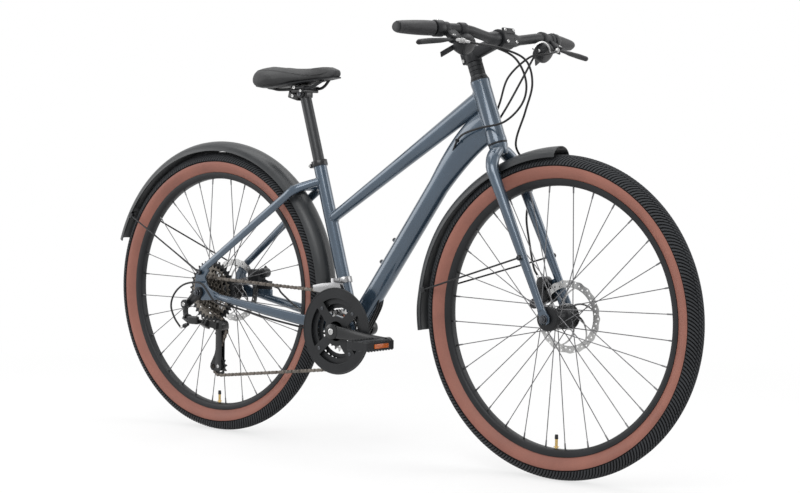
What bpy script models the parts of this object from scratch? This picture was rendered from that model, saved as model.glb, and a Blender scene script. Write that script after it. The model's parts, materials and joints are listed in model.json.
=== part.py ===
"""Commuter bike: aluminium frame, 650b wheels, disc brakes, triple crankset and full mudguards.

Metres, +X forward, +Y to the rider's left, +Z up. The ground is z = 0 and the drive side faces -Y.
Run with: blender --background --python part.py
"""

import math

import bmesh
import bpy
from mathutils import Matrix, Vector

# Wheels and frame geometry
BEAD_SEAT_RADIUS = 0.292
TYRE_WIDTH = 0.047
TYRE_HEIGHT = 0.058
RIM_WIDTH = 0.026
RIM_HOOK_RISE = 0.006
RIM_DEPTH = 0.015
WHEELBASE = 1.020
STAY_CLEARANCE = 0.095
BB_DROP = 0.0655
HEAD_ANGLE = math.radians(69.7)
SEAT_ANGLE = math.radians(73.5)
HEAD_TUBE_LENGTH = 0.145
HEAD_TUBE_RADIUS = 0.0215
SEAT_TUBE_LENGTH = 0.413
SEAT_TUBE_RADIUS = 0.0159
SEATPOST_RADIUS = 0.0136
SEATPOST_RISE = 0.160
SEATPOST_INSERTED = 0.150
TOP_TUBE_SEAT_DROP = 0.1455
TOP_TUBE_HEAD_DROP = 0.0360
STAY_DROP = 0.0510
BB_SHELL_RADIUS = 0.0210
BB_SHELL_WIDTH = 0.068
DOWN_TUBE_RADIUS = 0.0240
DOWN_TUBE_HEAD_RISE = 0.0470
DOWN_TUBE_ARCH = math.radians(3.264)
FRAME_WALL = 0.0022
FORK_CLEARANCE = 0.054
FORK_RAKE = 0.028
STEERER_RADIUS = 0.0143
HEADSET_STACK = 0.0046
FRONT_OLD = 0.100
REAR_OLD = 0.135
DROPOUT_THICKNESS = 0.0065
AXLE_RADIUS = 0.0048
HANGER_THICKNESS = 0.0050

# Cockpit
SPACER_STACK = 0.040
STEM_CLAMP_HEIGHT = 0.040
STEM_REACH = 0.088
STEM_RISE_ANGLE = math.radians(19.5)
BAR_WIDTH = 0.640
BAR_SWEPT_END = 0.190
LEVER_FROM_TIP = 0.122
POD_FROM_TIP = 0.172
BAR_RADIUS = 0.0111
BAR_CLAMP_RADIUS = 0.0159
BAR_RISE = 0.012
BAR_BACKSWEEP = 0.040

# Drivetrain
CRANK_LENGTH = 0.170
CRANK_ANGLE = math.radians(-4.5)
RING_TEETH = (44, 34, 24)
RING_OFFSETS = (-0.0585, -0.0505, -0.0425)
CHAINGUARD_CLEARANCE = 0.0125
CHAINGUARD_OFFSET = -0.0660
COG_TEETH = (38, 32, 26, 21, 18, 16, 14, 12)
FIRST_COG_OFFSET = -0.0285
COG_SPACING = 0.0048
CHAIN_COG = 4
PULLEY_TEETH = 11
CHAIN_PITCH = 0.0127
CHAIN_HALF_HEIGHT = 0.0036
CHAIN_GAP = 0.00145
CHAIN_HALF_WIDTH = 0.0030
TOOTH_THICKNESS = 0.0016

# Brakes and mudguards
ROTOR_RADIUS = 0.080
ROTOR_THICKNESS = 0.0018
FRONT_ROTOR_OFFSET = 0.0385
REAR_ROTOR_OFFSET = 0.0520
GUARD_CLEARANCE = 0.0265
GUARD_HALF_WIDTH = 0.031
GUARD_DEPTH = 0.024
GUARD_WALL = 0.0018
CABLE_RADIUS = 0.0024

# Fits
TOUCH = 0.0003
RUN = 0.0004

WHEEL_STEPS = 28
SPOKE_COUNT = 32
SPOKE_RADIUS = 0.0010

SIDE = Vector((0.0, 1.0, 0.0))
UP = Vector((0.0, 0.0, 1.0))

# Key points, worked out from the sizes above
TYRE_RADIUS = BEAD_SEAT_RADIUS + TYRE_HEIGHT
RIM_FLANGE_RADIUS = BEAD_SEAT_RADIUS + RIM_HOOK_RISE
RIM_BED_RADIUS = RIM_FLANGE_RADIUS - RIM_DEPTH
CHAINSTAY_REACH = TYRE_RADIUS + STAY_CLEARANCE
FORK_LENGTH = TYRE_RADIUS + FORK_CLEARANCE
REAR_GUARD_RADIUS = TYRE_RADIUS + GUARD_CLEARANCE
REAR_GUARD_END = math.radians(161.0)
REAR_OVERHANG = -REAR_GUARD_RADIUS * math.cos(REAR_GUARD_END) + 0.005
FRONT_X = (WHEELBASE + REAR_OVERHANG - TYRE_RADIUS) / 2.0
FRONT_AXLE = Vector((FRONT_X, 0.0, TYRE_RADIUS))
REAR_AXLE = Vector((FRONT_X - WHEELBASE, 0.0, TYRE_RADIUS))
BB = REAR_AXLE + Vector((CHAINSTAY_REACH, 0.0, -BB_DROP))
HEAD_AXIS = Vector((-math.cos(HEAD_ANGLE), 0.0, math.sin(HEAD_ANGLE)))
HEAD_FORWARD = Vector((math.sin(HEAD_ANGLE), 0.0, math.cos(HEAD_ANGLE)))
CROWN_SEAT = FRONT_AXLE - HEAD_FORWARD * FORK_RAKE + HEAD_AXIS * FORK_LENGTH
HEAD_LOW = CROWN_SEAT + HEAD_AXIS * HEADSET_STACK
HEAD_TOP = HEAD_LOW + HEAD_AXIS * HEAD_TUBE_LENGTH
SEAT_AXIS = Vector((-math.cos(SEAT_ANGLE), 0.0, math.sin(SEAT_ANGLE)))
SEAT_TOP = BB + SEAT_AXIS * SEAT_TUBE_LENGTH
POST_TOP = SEAT_TOP + SEAT_AXIS * SEATPOST_RISE
DOWN_TUBE_TOP = HEAD_LOW + HEAD_AXIS * DOWN_TUBE_HEAD_RISE
DOWN_REACH = (DOWN_TUBE_TOP - BB).length
DOWN_TUBE_ANGLE = math.atan2(DOWN_TUBE_TOP.z - BB.z, DOWN_TUBE_TOP.x - BB.x) + DOWN_TUBE_ARCH
DOWN_DIRECTION = Vector((math.cos(DOWN_TUBE_ANGLE), 0.0, math.sin(DOWN_TUBE_ANGLE)))
DOWN_NORMAL = Vector((-math.sin(DOWN_TUBE_ANGLE), 0.0, math.cos(DOWN_TUBE_ANGLE)))
BOTTLE_BOSSES = (0.1800, 0.2440)
BRIDGE_ANGLE = math.radians(43.418)
BRIDGE_CLEARANCE = 0.0076
BRIDGE = REAR_AXLE + Vector((math.cos(BRIDGE_ANGLE), 0.0, math.sin(BRIDGE_ANGLE))) * (REAR_GUARD_RADIUS
                                                                                  + BRIDGE_CLEARANCE)


def at_front(x, y, z):
    """A point given by its distances ahead of, left of and above the front axle's middle."""
    return FRONT_AXLE + Vector((x, y, z))


def at_rear(x, y, z):
    """A point given from the rear axle's middle."""
    return REAR_AXLE + Vector((x, y, z))


def at_head(x, y, z):
    """A point given from the lower end of the head tube."""
    return HEAD_LOW + Vector((x, y, z))


def at_post(x, y, z):
    """A point given from the top of the seatpost's tube."""
    return POST_TOP + Vector((x, y, z))


# Scene set-up and shared helpers
for old in list(bpy.data.objects):
    bpy.data.objects.remove(old, do_unlink=True)

PARTS = bpy.data.collections.new("commuter_bike")
bpy.context.scene.collection.children.link(PARTS)


def material(name, color, roughness, metallic=0.0):
    made = bpy.data.materials.new(name)
    made.use_nodes = True
    shader = made.node_tree.nodes["Principled BSDF"]
    shader.inputs["Base Color"].default_value = (*color, 1.0)
    shader.inputs["Roughness"].default_value = roughness
    shader.inputs["Metallic"].default_value = metallic
    made.diffuse_color = (*color, 1.0)
    return made


FRAME_PAINT = material("slate_blue_paint", (0.055, 0.105, 0.165), 0.32, 0.35)
BLACK_METAL = material("black_anodised", (0.018, 0.018, 0.020), 0.38, 0.55)
BLACK_PLASTIC = material("black_plastic", (0.022, 0.022, 0.024), 0.55)
GUARD_PLASTIC = material("charcoal_plastic", (0.045, 0.047, 0.050), 0.48)
STEEL = material("bright_steel", (0.58, 0.58, 0.57), 0.28, 1.0)
CHAIN_STEEL = material("brown_chain_steel", (0.23, 0.20, 0.17), 0.42, 1.0)
RUBBER = material("tyre_rubber", (0.030, 0.030, 0.032), 0.85)
GRIP_RUBBER = material("grip_rubber", (0.040, 0.042, 0.045), 0.78)
SADDLE_COVER = material("saddle_cover", (0.030, 0.031, 0.033), 0.62)
CABLE_JACKET = material("cable_jacket", (0.015, 0.015, 0.016), 0.45)


def bake(obj):
    """Replace an object by the plain mesh that its curve or modifiers make."""
    bpy.context.view_layer.update()
    graph = bpy.context.evaluated_depsgraph_get()
    mesh = bpy.data.meshes.new_from_object(obj.evaluated_get(graph))
    mesh.transform(obj.matrix_world)
    name = obj.name
    bpy.data.objects.remove(obj, do_unlink=True)
    work = bmesh.new()
    work.from_mesh(mesh)
    bmesh.ops.remove_doubles(work, verts=work.verts, dist=0.000005)
    bmesh.ops.dissolve_degenerate(work, edges=work.edges, dist=0.000002)
    bmesh.ops.dissolve_limit(work, angle_limit=math.radians(0.05), verts=work.verts, edges=work.edges)
    bmesh.ops.recalc_face_normals(work, faces=work.faces)
    work.to_mesh(mesh)
    work.free()
    made = bpy.data.objects.new(name, mesh)
    PARTS.objects.link(made)
    return made


def linked(name, data):
    obj = bpy.data.objects.new(name, data)
    PARTS.objects.link(obj)
    return obj


def facing(axis):
    """Rotation that turns +Z to the given axis."""
    return Vector(axis).to_track_quat("Z", "Y").to_matrix().to_4x4()


def turned(name, profile, centre, axis, steps, angle=math.tau, start=0.0):
    """Revolve (radius, height) points about an axis; a profile that starts off the axis is closed."""
    mesh = bpy.data.meshes.new(name)
    verts = [(radius, 0.0, height) for radius, height in profile]
    closed = profile[0][0] > 1e-6
    edges = [(i, i + 1) for i in range(len(verts) - 1)]
    if closed:
        edges.append((len(verts) - 1, 0))
    mesh.from_pydata(verts, edges, [])
    obj = linked(name, mesh)
    screw = obj.modifiers.new("turn", "SCREW")
    screw.axis = "Z"
    screw.angle = angle
    screw.steps = steps
    screw.render_steps = steps
    screw.use_merge_vertices = True
    screw.merge_threshold = 0.00001
    obj.matrix_world = Matrix.Translation(centre) @ facing(axis) @ Matrix.Rotation(start, 4, "Z")
    return bake(obj)


def cylinder(name, start, end, radius, sides, end_radius=None):
    """A rod or cone between two points."""
    start = Vector(start)
    end = Vector(end)
    work = bmesh.new()
    bmesh.ops.create_cone(work, cap_ends=True, segments=sides, radius1=radius,
                          radius2=radius if end_radius is None else end_radius,
                          depth=(end - start).length)
    mesh = bpy.data.meshes.new(name)
    work.to_mesh(mesh)
    work.free()
    mesh.transform(Matrix.Translation((start + end) / 2.0) @ facing(end - start))
    return linked(name, mesh)


def block(name, centre, size, forward=Vector((1.0, 0.0, 0.0)), side=SIDE, bevel=0.0):
    """A box whose X runs along forward and whose Y runs along side, with bevelled edges."""
    work = bmesh.new()
    bmesh.ops.create_cube(work, size=1.0)
    mesh = bpy.data.meshes.new(name)
    work.to_mesh(mesh)
    work.free()
    mesh.transform(Matrix.Diagonal((*size, 1.0)))
    obj = linked(name, mesh)
    x_axis = Vector(forward).normalized()
    z_axis = x_axis.cross(Vector(side)).normalized()
    y_axis = z_axis.cross(x_axis)
    turn = Matrix((x_axis, y_axis, z_axis)).transposed().to_4x4()
    if bevel:
        edge = obj.modifiers.new("edges", "BEVEL")
        edge.width = bevel
        edge.segments = 1
        edge.limit_method = "ANGLE"
    obj.matrix_world = Matrix.Translation(centre) @ turn
    return bake(obj)


def tube(name, points, radius, resolution=2, radii=None):
    """A round bar along a list of points; radii scale the radius at each point."""
    curve = bpy.data.curves.new(name, "CURVE")
    curve.dimensions = "3D"
    curve.bevel_depth = radius
    curve.bevel_resolution = resolution
    curve.use_fill_caps = True
    spline = curve.splines.new("POLY")
    spline.points.add(len(points) - 1)
    for index, point in enumerate(points):
        spline.points[index].co = (*point, 1.0)
        spline.points[index].radius = radii[index] if radii else 1.0
    return bake(linked(name, curve))


def smooth_path(points, count):
    """Evenly spread points on a Catmull-Rom curve through the given ones."""
    ends = [points[0] * 2.0 - points[1]] + list(points) + [points[-1] * 2.0 - points[-2]]
    fine = []
    for a, b, c, d in zip(ends, ends[1:], ends[2:], ends[3:]):
        for k in range(12):
            t = k / 12.0
            fine.append(0.5 * (2.0 * b + (c - a) * t + (2.0 * a - 5.0 * b + 4.0 * c - d) * t ** 2
                               + (3.0 * b - a - 3.0 * c + d) * t ** 3))
    fine.append(points[-1].copy())
    lengths = [0.0]
    for p, q in zip(fine, fine[1:]):
        lengths.append(lengths[-1] + (q - p).length)
    path = []
    at = 0
    for k in range(count):
        want = lengths[-1] * k / (count - 1)
        while at < len(fine) - 2 and lengths[at + 1] < want:
            at += 1
        span = lengths[at + 1] - lengths[at]
        path.append(fine[at].lerp(fine[at + 1], (want - lengths[at]) / span))
    return path


def plate(name, outline, holes, origin, normal, across, thickness):
    """A flat outline with holes, extruded about its mid plane; 2D x runs along across."""
    curve = bpy.data.curves.new(name, "CURVE")
    curve.dimensions = "2D"
    curve.fill_mode = "BOTH"
    curve.extrude = thickness / 2.0
    for ring in [outline] + list(holes):
        spline = curve.splines.new("POLY")
        spline.points.add(len(ring) - 1)
        for index, (u, v) in enumerate(ring):
            spline.points[index].co = (u, v, 0.0, 1.0)
        spline.use_cyclic_u = True
    obj = linked(name, curve)
    z_axis = Vector(normal).normalized()
    x_axis = Vector(across).normalized()
    y_axis = z_axis.cross(x_axis)
    obj.matrix_world = Matrix.Translation(origin) @ Matrix((x_axis, y_axis, z_axis)).transposed().to_4x4()
    return bake(obj)


def loft(name, sections, sides, power=2.0):
    """Skin rings of (centre, across, upright, half_across, half_upright) and cap both ends."""
    work = bmesh.new()
    rings = []
    for centre, across, upright, half_a, half_u in sections:
        ring = []
        for k in range(sides):
            angle = math.tau * (k + 0.5) / sides
            c = math.cos(angle)
            s = math.sin(angle)
            a = math.copysign(abs(c) ** (2.0 / power), c) * half_a
            u = math.copysign(abs(s) ** (2.0 / power), s) * half_u
            ring.append(work.verts.new(centre + across * a + upright * u))
        rings.append(ring)
    for low, high in zip(rings, rings[1:]):
        for k in range(sides):
            work.faces.new((low[k], low[(k + 1) % sides], high[(k + 1) % sides], high[k]))
    work.faces.new(rings[0])
    work.faces.new(rings[-1])
    bmesh.ops.recalc_face_normals(work, faces=work.faces)
    mesh = bpy.data.meshes.new(name)
    work.to_mesh(mesh)
    work.free()
    return linked(name, mesh)


def ring_loft(name, rings):
    work = bmesh.new()
    made = [[work.verts.new(point) for point in ring] for ring in rings]
    for low, high in zip(made, made[1:]):
        for k in range(len(low)):
            work.faces.new((low[k], low[(k + 1) % len(low)], high[(k + 1) % len(low)], high[k]))
    work.faces.new(made[0])
    work.faces.new(made[-1])
    bmesh.ops.recalc_face_normals(work, faces=work.faces)
    mesh = bpy.data.meshes.new(name)
    work.to_mesh(mesh)
    work.free()
    return linked(name, mesh)


def swept(name, path, sizes, sides, across=SIDE, power=2.0):
    """Loft an oval of (half_across, half_upright) sizes along a path that bends in a plane."""
    sections = []
    for index, point in enumerate(path):
        ahead = path[min(index + 1, len(path) - 1)]
        behind = path[max(index - 1, 0)]
        direction = (ahead - behind).normalized()
        upright = direction.cross(across).normalized()
        flat = upright.cross(direction).normalized()
        sections.append((point, flat, upright, sizes[index][0], sizes[index][1]))
    return loft(name, sections, sides, power)


def combine(base, others, operation):
    """Union or cut other solids with a base solid, and remove them."""
    for other in others:
        step = base.modifiers.new("solid", "BOOLEAN")
        step.operation = operation
        step.solver = "EXACT"
        step.object = other
        base = bake(base)
        bpy.data.objects.remove(other, do_unlink=True)
    return base


def joined(base, *others):
    return combine(base, others, "UNION")


def cut(base, *others):
    return combine(base, others, "DIFFERENCE")


def finish(obj, name, look, pivot=None):
    """Name a piece, give it its material, put its origin on its joint and shade it."""
    obj.name = name
    obj.data.name = name
    obj.data.materials.clear()
    obj.data.materials.append(look)
    obj.data.shade_smooth()
    obj.data.set_sharp_from_angle(angle=math.radians(35.0))
    if pivot is not None:
        obj.data.transform(Matrix.Translation(-pivot))
        obj.location = pivot
    return obj


def ring_points(radius, count, start=0.0):
    return [(radius * math.cos(start + math.tau * k / count), radius * math.sin(start + math.tau * k / count))
            for k in range(count)]


def arc_points(radius, first, last, count):
    return [(radius * math.cos(first + (last - first) * k / (count - 1)),
             radius * math.sin(first + (last - first) * k / (count - 1))) for k in range(count)]


def mirrored(points):
    return [Vector((p.x, -p.y, p.z)) for p in points]


# Frame: welded tubes, stays and dropouts, hollow where the post, steerer and cables go
def down_tube_path(margin):
    """Rings from the bottom bracket to the head tube, drawn in by a margin for the hollow core."""
    bend_start = BB + DOWN_DIRECTION * (DOWN_REACH * 0.68)
    run = bend_start - DOWN_TUBE_TOP
    corner_along = (run.x * HEAD_FORWARD.z - run.z * HEAD_FORWARD.x)
    corner_along /= (HEAD_FORWARD.x * DOWN_DIRECTION.z - HEAD_FORWARD.z * DOWN_DIRECTION.x)
    corner = bend_start + DOWN_DIRECTION * corner_along
    path = [BB.copy(), BB + DOWN_DIRECTION * (DOWN_REACH * 0.34), bend_start]
    sizes = [(0.0235, DOWN_TUBE_RADIUS), (0.0225, 0.0245), (0.0215, 0.0255)]
    heights = (0.0275, 0.0310, 0.0355, 0.0385)
    widths = (0.0210, 0.0203, 0.0196, 0.0190)
    for k in range(4):
        t = (k + 1) / 4.0
        path.append(bend_start.lerp(corner, t).lerp(corner.lerp(DOWN_TUBE_TOP, t), t))
        sizes.append((widths[k], heights[k]))
    return path, [(a - margin, b - margin) for a, b in sizes]


def top_tube_ends():
    return SEAT_TOP - SEAT_AXIS * TOP_TUBE_SEAT_DROP, HEAD_TOP - HEAD_AXIS * TOP_TUBE_HEAD_DROP


def stay_paths():
    """Chainstay and seatstay centre lines on the right side, front to back."""
    y_end = -(REAR_OLD + DROPOUT_THICKNESS) / 2.0
    chain = [BB + Vector((-0.012, -0.0180, 0.0005)), BB + Vector((-0.060, -0.0310, 0.0075)),
             BB + Vector((-0.120, -0.0450, 0.0165)), BB + Vector((-0.220, -0.0580, 0.0320)),
             BB + Vector((-0.330, y_end + 0.005, 0.0490)), REAR_AXLE + Vector((0.0520, y_end, -0.0065))]
    seat_joint = SEAT_TOP - SEAT_AXIS * STAY_DROP
    seat = [seat_joint + Vector((0.004, -0.0050, 0.0020)), seat_joint + Vector((-0.022, -0.0200, -0.0060)),
            BRIDGE + Vector((0.0070, -0.0455, -0.0050)), BRIDGE + Vector((-0.0390, -0.0490, -0.0370)),
            REAR_AXLE + Vector((0.0080, y_end, 0.0575))]
    return chain, seat


def dropout_outline():
    """Hooked plate that ties the stay ends to the axle, seen from the drive side."""
    return [(0.0200, 0.0700), (0.0000, 0.0610), (-0.0140, 0.0400), (-0.0165, 0.0150), (-0.0150, -0.0080),
            (-0.0080, -0.0190), (0.0080, -0.0190), (0.0300, -0.0175), (0.0620, -0.0150), (0.0620, 0.0010),
            (0.0440, 0.0070), (0.0310, 0.0130), (0.0225, 0.0230), (0.0180, 0.0390), (0.0300, 0.0560)]


def build_frame():
    """Welded tubes and plates, then the bores for the steerer, post, bottom bracket and cables."""
    head = cylinder("head", HEAD_LOW, HEAD_TOP, HEAD_TUBE_RADIUS, 14)
    seat = cylinder("seat", BB, SEAT_TOP, SEAT_TUBE_RADIUS, 12)
    shell = cylinder("shell", BB - SIDE * BB_SHELL_WIDTH / 2, BB + SIDE * BB_SHELL_WIDTH / 2, BB_SHELL_RADIUS, 14)
    path, sizes = down_tube_path(0.0)
    down = swept("down", path, sizes, 12)
    seat_end, head_end = top_tube_ends()
    top = swept("top", [seat_end, seat_end.lerp(head_end, 0.5), head_end],
                [(0.0140, 0.0122), (0.0155, 0.0170), (0.0172, 0.0235)], 10)
    body = joined(shell, seat, down, head, top)
    chain_path, seat_path = stay_paths()
    chain_sizes = [(0.0080, 0.0125), (0.0080, 0.0135), (0.0085, 0.0135), (0.0090, 0.0120), (0.0085, 0.0092),
                   (0.0050, 0.0078)]
    seat_sizes = [(0.0070, 0.0090), (0.0075, 0.0100), (0.0075, 0.0105), (0.0075, 0.0105), (0.0048, 0.0095)]
    for flip in (False, True):
        side_path = mirrored if flip else list
        body = joined(body, swept("chainstay", side_path(chain_path), chain_sizes, 8),
                      swept("seatstay", side_path(seat_path), seat_sizes, 8))
    plate_y = (REAR_OLD + DROPOUT_THICKNESS) / 2.0
    slot = [(-0.0051, 0.0000), (-0.0044, 0.0026), (-0.0026, 0.0044), (0.0, 0.0051), (0.0026, 0.0044),
            (0.0044, 0.0026), (0.0051, 0.0), (0.0051, -0.0250), (-0.0051, -0.0250)]
    for side in (-1.0, 1.0):
        centre = REAR_AXLE + SIDE * plate_y * side
        hook = plate("dropout", dropout_outline(), [], centre, -SIDE, (1.0, 0.0, 0.0), DROPOUT_THICKNESS)
        notch = plate("slot", slot, [], centre, -SIDE, (1.0, 0.0, 0.0), DROPOUT_THICKNESS * 2)
        body = joined(body, cut(hook, notch))
    low_bridge = BB + Vector((-0.0640, 0.0, 0.0095))
    body = joined(body, cylinder("bridge", BRIDGE - SIDE * 0.043, BRIDGE + SIDE * 0.043, 0.0065, 6),
                  cylinder("low_bridge", low_bridge - SIDE * 0.031, low_bridge + SIDE * 0.031, 0.0065, 6))
    for along in BOTTLE_BOSSES:
        foot = BB + DOWN_DIRECTION * along + DOWN_NORMAL * (DOWN_TUBE_RADIUS - 0.003)
        body = joined(body, cylinder("boss", foot, foot + DOWN_NORMAL * 0.0070, 0.0055, 8))
    body = joined(body, block("brake_tab", at_rear(0.0900, 0.0660, -0.0010), (0.0500, 0.0090, 0.0160)))
    bores = [cylinder("bore", HEAD_LOW - HEAD_AXIS * 0.01, HEAD_TOP + HEAD_AXIS * 0.01, 0.0172, 14),
             cylinder("bore", BB + SEAT_AXIS * 0.008, SEAT_TOP + SEAT_AXIS * 0.02, SEATPOST_RADIUS + RUN + 0.0003, 12),
             cylinder("bore", BB - SIDE * 0.05, BB + SIDE * 0.05, 0.0176, 14)]
    core_path, core_sizes = down_tube_path(FRAME_WALL)
    bores.append(swept("core", core_path, core_sizes, 8))
    seat_core, head_core = top_tube_ends()
    bores.append(swept("core", [seat_core, head_core], [(0.0115, 0.0098), (0.0140, 0.0190)], 8))
    for name, gates in CABLE_GATES.items():
        path = cable_path(name)
        for gate in gates:
            nearest = min(range(len(path)), key=lambda k: (path[k] - gate).length)
            bores.append(tube("port", path[nearest - 1:nearest + 3], CABLE_RADIUS + 0.0016, 1))
    return finish(cut(body, *bores), "frame", FRAME_PAINT)


# Steering: headset, fork, stem and handlebar
STEM_FOOT = HEAD_TOP + HEAD_AXIS * (HEADSET_STACK + SPACER_STACK)
STEM_MIDDLE = STEM_FOOT + HEAD_AXIS * (TOUCH + STEM_CLAMP_HEIGHT / 2.0)
STEM_DIRECTION = Vector((math.cos(STEM_RISE_ANGLE), 0.0, math.sin(STEM_RISE_ANGLE)))
BAR_CENTRE = STEM_MIDDLE + STEM_DIRECTION * STEM_REACH
BAR_BEND = BAR_WIDTH / 2.0 - BAR_SWEPT_END
BAR_SHOULDER = BAR_CENTRE + Vector((0.004, BAR_BEND, BAR_RISE))
BAR_TIP = BAR_CENTRE + Vector((0.004 - BAR_BACKSWEEP, BAR_WIDTH / 2.0, BAR_RISE - 0.004))
BAR_DIRECTION = (BAR_TIP - BAR_SHOULDER).normalized()


def on_side(point, side):
    """Mirror a left-side point to the drive side when side is -1."""
    return Vector((point.x, point.y * side, point.z))


def build_headset():
    bore = (STEERER_RADIUS + RUN) / math.cos(math.pi / 12.0)
    for name, seat, out in (("headset_lower_cup", HEAD_LOW, -1.0), ("headset_upper_cup", HEAD_TOP, 1.0)):
        profile = [(bore, HEADSET_STACK - TOUCH), (HEAD_TUBE_RADIUS - 0.0005, HEADSET_STACK - TOUCH),
                   (HEAD_TUBE_RADIUS - 0.0005, TOUCH), (0.0172 - TOUCH * 2, TOUCH), (0.0172 - TOUCH * 2, -0.012),
                   (bore, -0.012)]
        cup = turned(name, profile, seat, HEAD_AXIS * out, 12)
        finish(cup, name, BLACK_METAL)
    spacers = turned("spacers", [(STEERER_RADIUS + RUN, 0.0), (0.0175, 0.0), (0.0175, SPACER_STACK - TOUCH),
                                 (STEERER_RADIUS + RUN, SPACER_STACK - TOUCH)],
                     HEAD_TOP + HEAD_AXIS * HEADSET_STACK, HEAD_AXIS, 12)
    finish(spacers, "headset_spacers", BLACK_METAL, HEAD_TOP)


FORK_SHOULDER = CROWN_SEAT - HEAD_AXIS * 0.058
FORK_TAB_THICKNESS = 0.0070
FORK_TAB_OFFSET = (FRONT_OLD + FORK_TAB_THICKNESS) / 2.0
FORK_LEG_DIRECTION = (FORK_SHOULDER - FRONT_AXLE).normalized()
FORK_LEG_BACK = FORK_LEG_DIRECTION.cross(SIDE).normalized()
FORK_DISC_TAB = FRONT_AXLE + FORK_LEG_DIRECTION * 0.062 + FORK_LEG_BACK * 0.012 + SIDE * 0.0530
FRONT_STAY_EYE = at_front(-0.0600, 0.0661, 0.1285)


def fork_leg_path(side):
    crown = CROWN_SEAT
    path = [crown - HEAD_AXIS * 0.0140 + SIDE * 0.002, crown - HEAD_AXIS * 0.0190 + SIDE * 0.020,
            crown - HEAD_AXIS * 0.0330 + SIDE * 0.0395, FORK_SHOULDER + SIDE * 0.0475,
            FRONT_AXLE + FORK_LEG_DIRECTION * 0.0200 + SIDE * FORK_TAB_OFFSET]
    return [on_side(point, side) for point in path]


def build_fork():
    steerer_top = STEM_MIDDLE + HEAD_AXIS * (STEM_CLAMP_HEIGHT / 2.0 - 0.003)
    body = cylinder("steerer", CROWN_SEAT - HEAD_AXIS * 0.010, steerer_top, STEERER_RADIUS, 12)
    collar = cylinder("collar", CROWN_SEAT - HEAD_AXIS * 0.022, CROWN_SEAT, 0.0180, 14, HEAD_TUBE_RADIUS)
    body = joined(body, collar)
    sizes = [(0.0165, 0.0130), (0.0160, 0.0130), (0.0145, 0.0125), (0.0135, 0.0120), (0.0085, 0.0070)]
    lean = FORK_LEG_DIRECTION * 0.0230
    for side in (-1.0, 1.0):
        body = joined(body, swept("leg", fork_leg_path(side), sizes, 8, across=HEAD_FORWARD))
        centre = FRONT_AXLE + SIDE * FORK_TAB_OFFSET * side
        outline = [(lean.x - 0.0085, lean.z - 0.002), (-0.0125, 0.004), (-0.0118, -0.0060), (-0.0070, -0.0110),
                   (0.0, -0.0130), (0.0070, -0.0110), (0.0118, -0.0060), (0.0125, 0.0040),
                   (lean.x + 0.0085, lean.z + 0.002)]
        notch_outline = [(-0.0051, 0.0), (-0.0036, 0.0036), (0.0, 0.0051), (0.0036, 0.0036), (0.0051, 0.0),
                         (0.0051, -0.020), (-0.0051, -0.020)]
        tab = plate("tab", outline, [], centre, -SIDE, (1.0, 0.0, 0.0), FORK_TAB_THICKNESS)
        notch = plate("notch", notch_outline, [], centre, -SIDE, (1.0, 0.0, 0.0), 0.020)
        boss = Vector((FRONT_STAY_EYE.x, 0.0555 * side, FRONT_STAY_EYE.z))
        body = joined(body, cut(tab, notch), cylinder("boss", boss, boss + SIDE * 0.0080 * side, 0.0050, 6))
    disc_tab = block("disc_tab", FORK_DISC_TAB, (0.016, 0.0090, 0.060), forward=FORK_LEG_BACK)
    body = joined(body, disc_tab)
    return finish(body, "fork", FRAME_PAINT, HEAD_LOW)


BAR_BORE_RADIUS = (BAR_CLAMP_RADIUS + TOUCH * 2.0) / math.cos(math.pi / 14.0)


def build_stem():
    clamp = cylinder("clamp", STEM_MIDDLE - HEAD_AXIS * STEM_CLAMP_HEIGHT / 2, STEM_MIDDLE + HEAD_AXIS
                     * STEM_CLAMP_HEIGHT / 2, 0.0180, 14)
    arm = swept("arm", [STEM_MIDDLE, STEM_MIDDLE.lerp(BAR_CENTRE, 0.55), BAR_CENTRE],
                [(0.0150, 0.0165), (0.0140, 0.0130), (0.0160, 0.0130)], 10)
    barrel = cylinder("barrel", BAR_CENTRE - SIDE * 0.022, BAR_CENTRE + SIDE * 0.022, 0.0215, 14)
    ears = block("ears", STEM_MIDDLE - HEAD_FORWARD * 0.0200, (0.0120, 0.0200, 0.0340), forward=HEAD_FORWARD,
                 bevel=0.002)
    cap = cylinder("cap", STEM_MIDDLE + HEAD_AXIS * (STEM_CLAMP_HEIGHT / 2 - 0.0005),
                   STEM_MIDDLE + HEAD_AXIS * (STEM_CLAMP_HEIGHT / 2 + 0.0035), 0.0165, 14)
    body = joined(clamp, arm, barrel, ears, cap)
    bore = cylinder("bore", STEM_MIDDLE - HEAD_AXIS * 0.030, STEM_MIDDLE + HEAD_AXIS
                    * (STEM_CLAMP_HEIGHT / 2.0 - 0.0026), STEERER_RADIUS + TOUCH, 12)
    grip = cylinder("grip", BAR_CENTRE - SIDE * 0.03, BAR_CENTRE + SIDE * 0.03, BAR_BORE_RADIUS, 14)
    front = block("front", BAR_CENTRE + STEM_DIRECTION * 0.0303, (0.060, 0.060, 0.070), forward=STEM_DIRECTION)
    slot = block("slot", STEM_MIDDLE - HEAD_FORWARD * 0.0250, (0.0240, 0.0020, 0.060), forward=HEAD_FORWARD)
    finish(cut(body, bore, grip, front, slot), "stem", BLACK_METAL, BAR_CENTRE)
    face = cylinder("face", BAR_CENTRE - SIDE * 0.022, BAR_CENTRE + SIDE * 0.022, 0.0215, 14)
    grip = cylinder("grip", BAR_CENTRE - SIDE * 0.03, BAR_CENTRE + SIDE * 0.03, BAR_BORE_RADIUS, 14)
    back = block("back", BAR_CENTRE - STEM_DIRECTION * 0.0290, (0.060, 0.060, 0.070), forward=STEM_DIRECTION)
    window = block("window", BAR_CENTRE + STEM_DIRECTION * 0.020, (0.020, 0.0220, 0.0180), forward=STEM_DIRECTION)
    finish(cut(face, grip, back, window), "stem_faceplate", BLACK_METAL, BAR_CENTRE)


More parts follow.
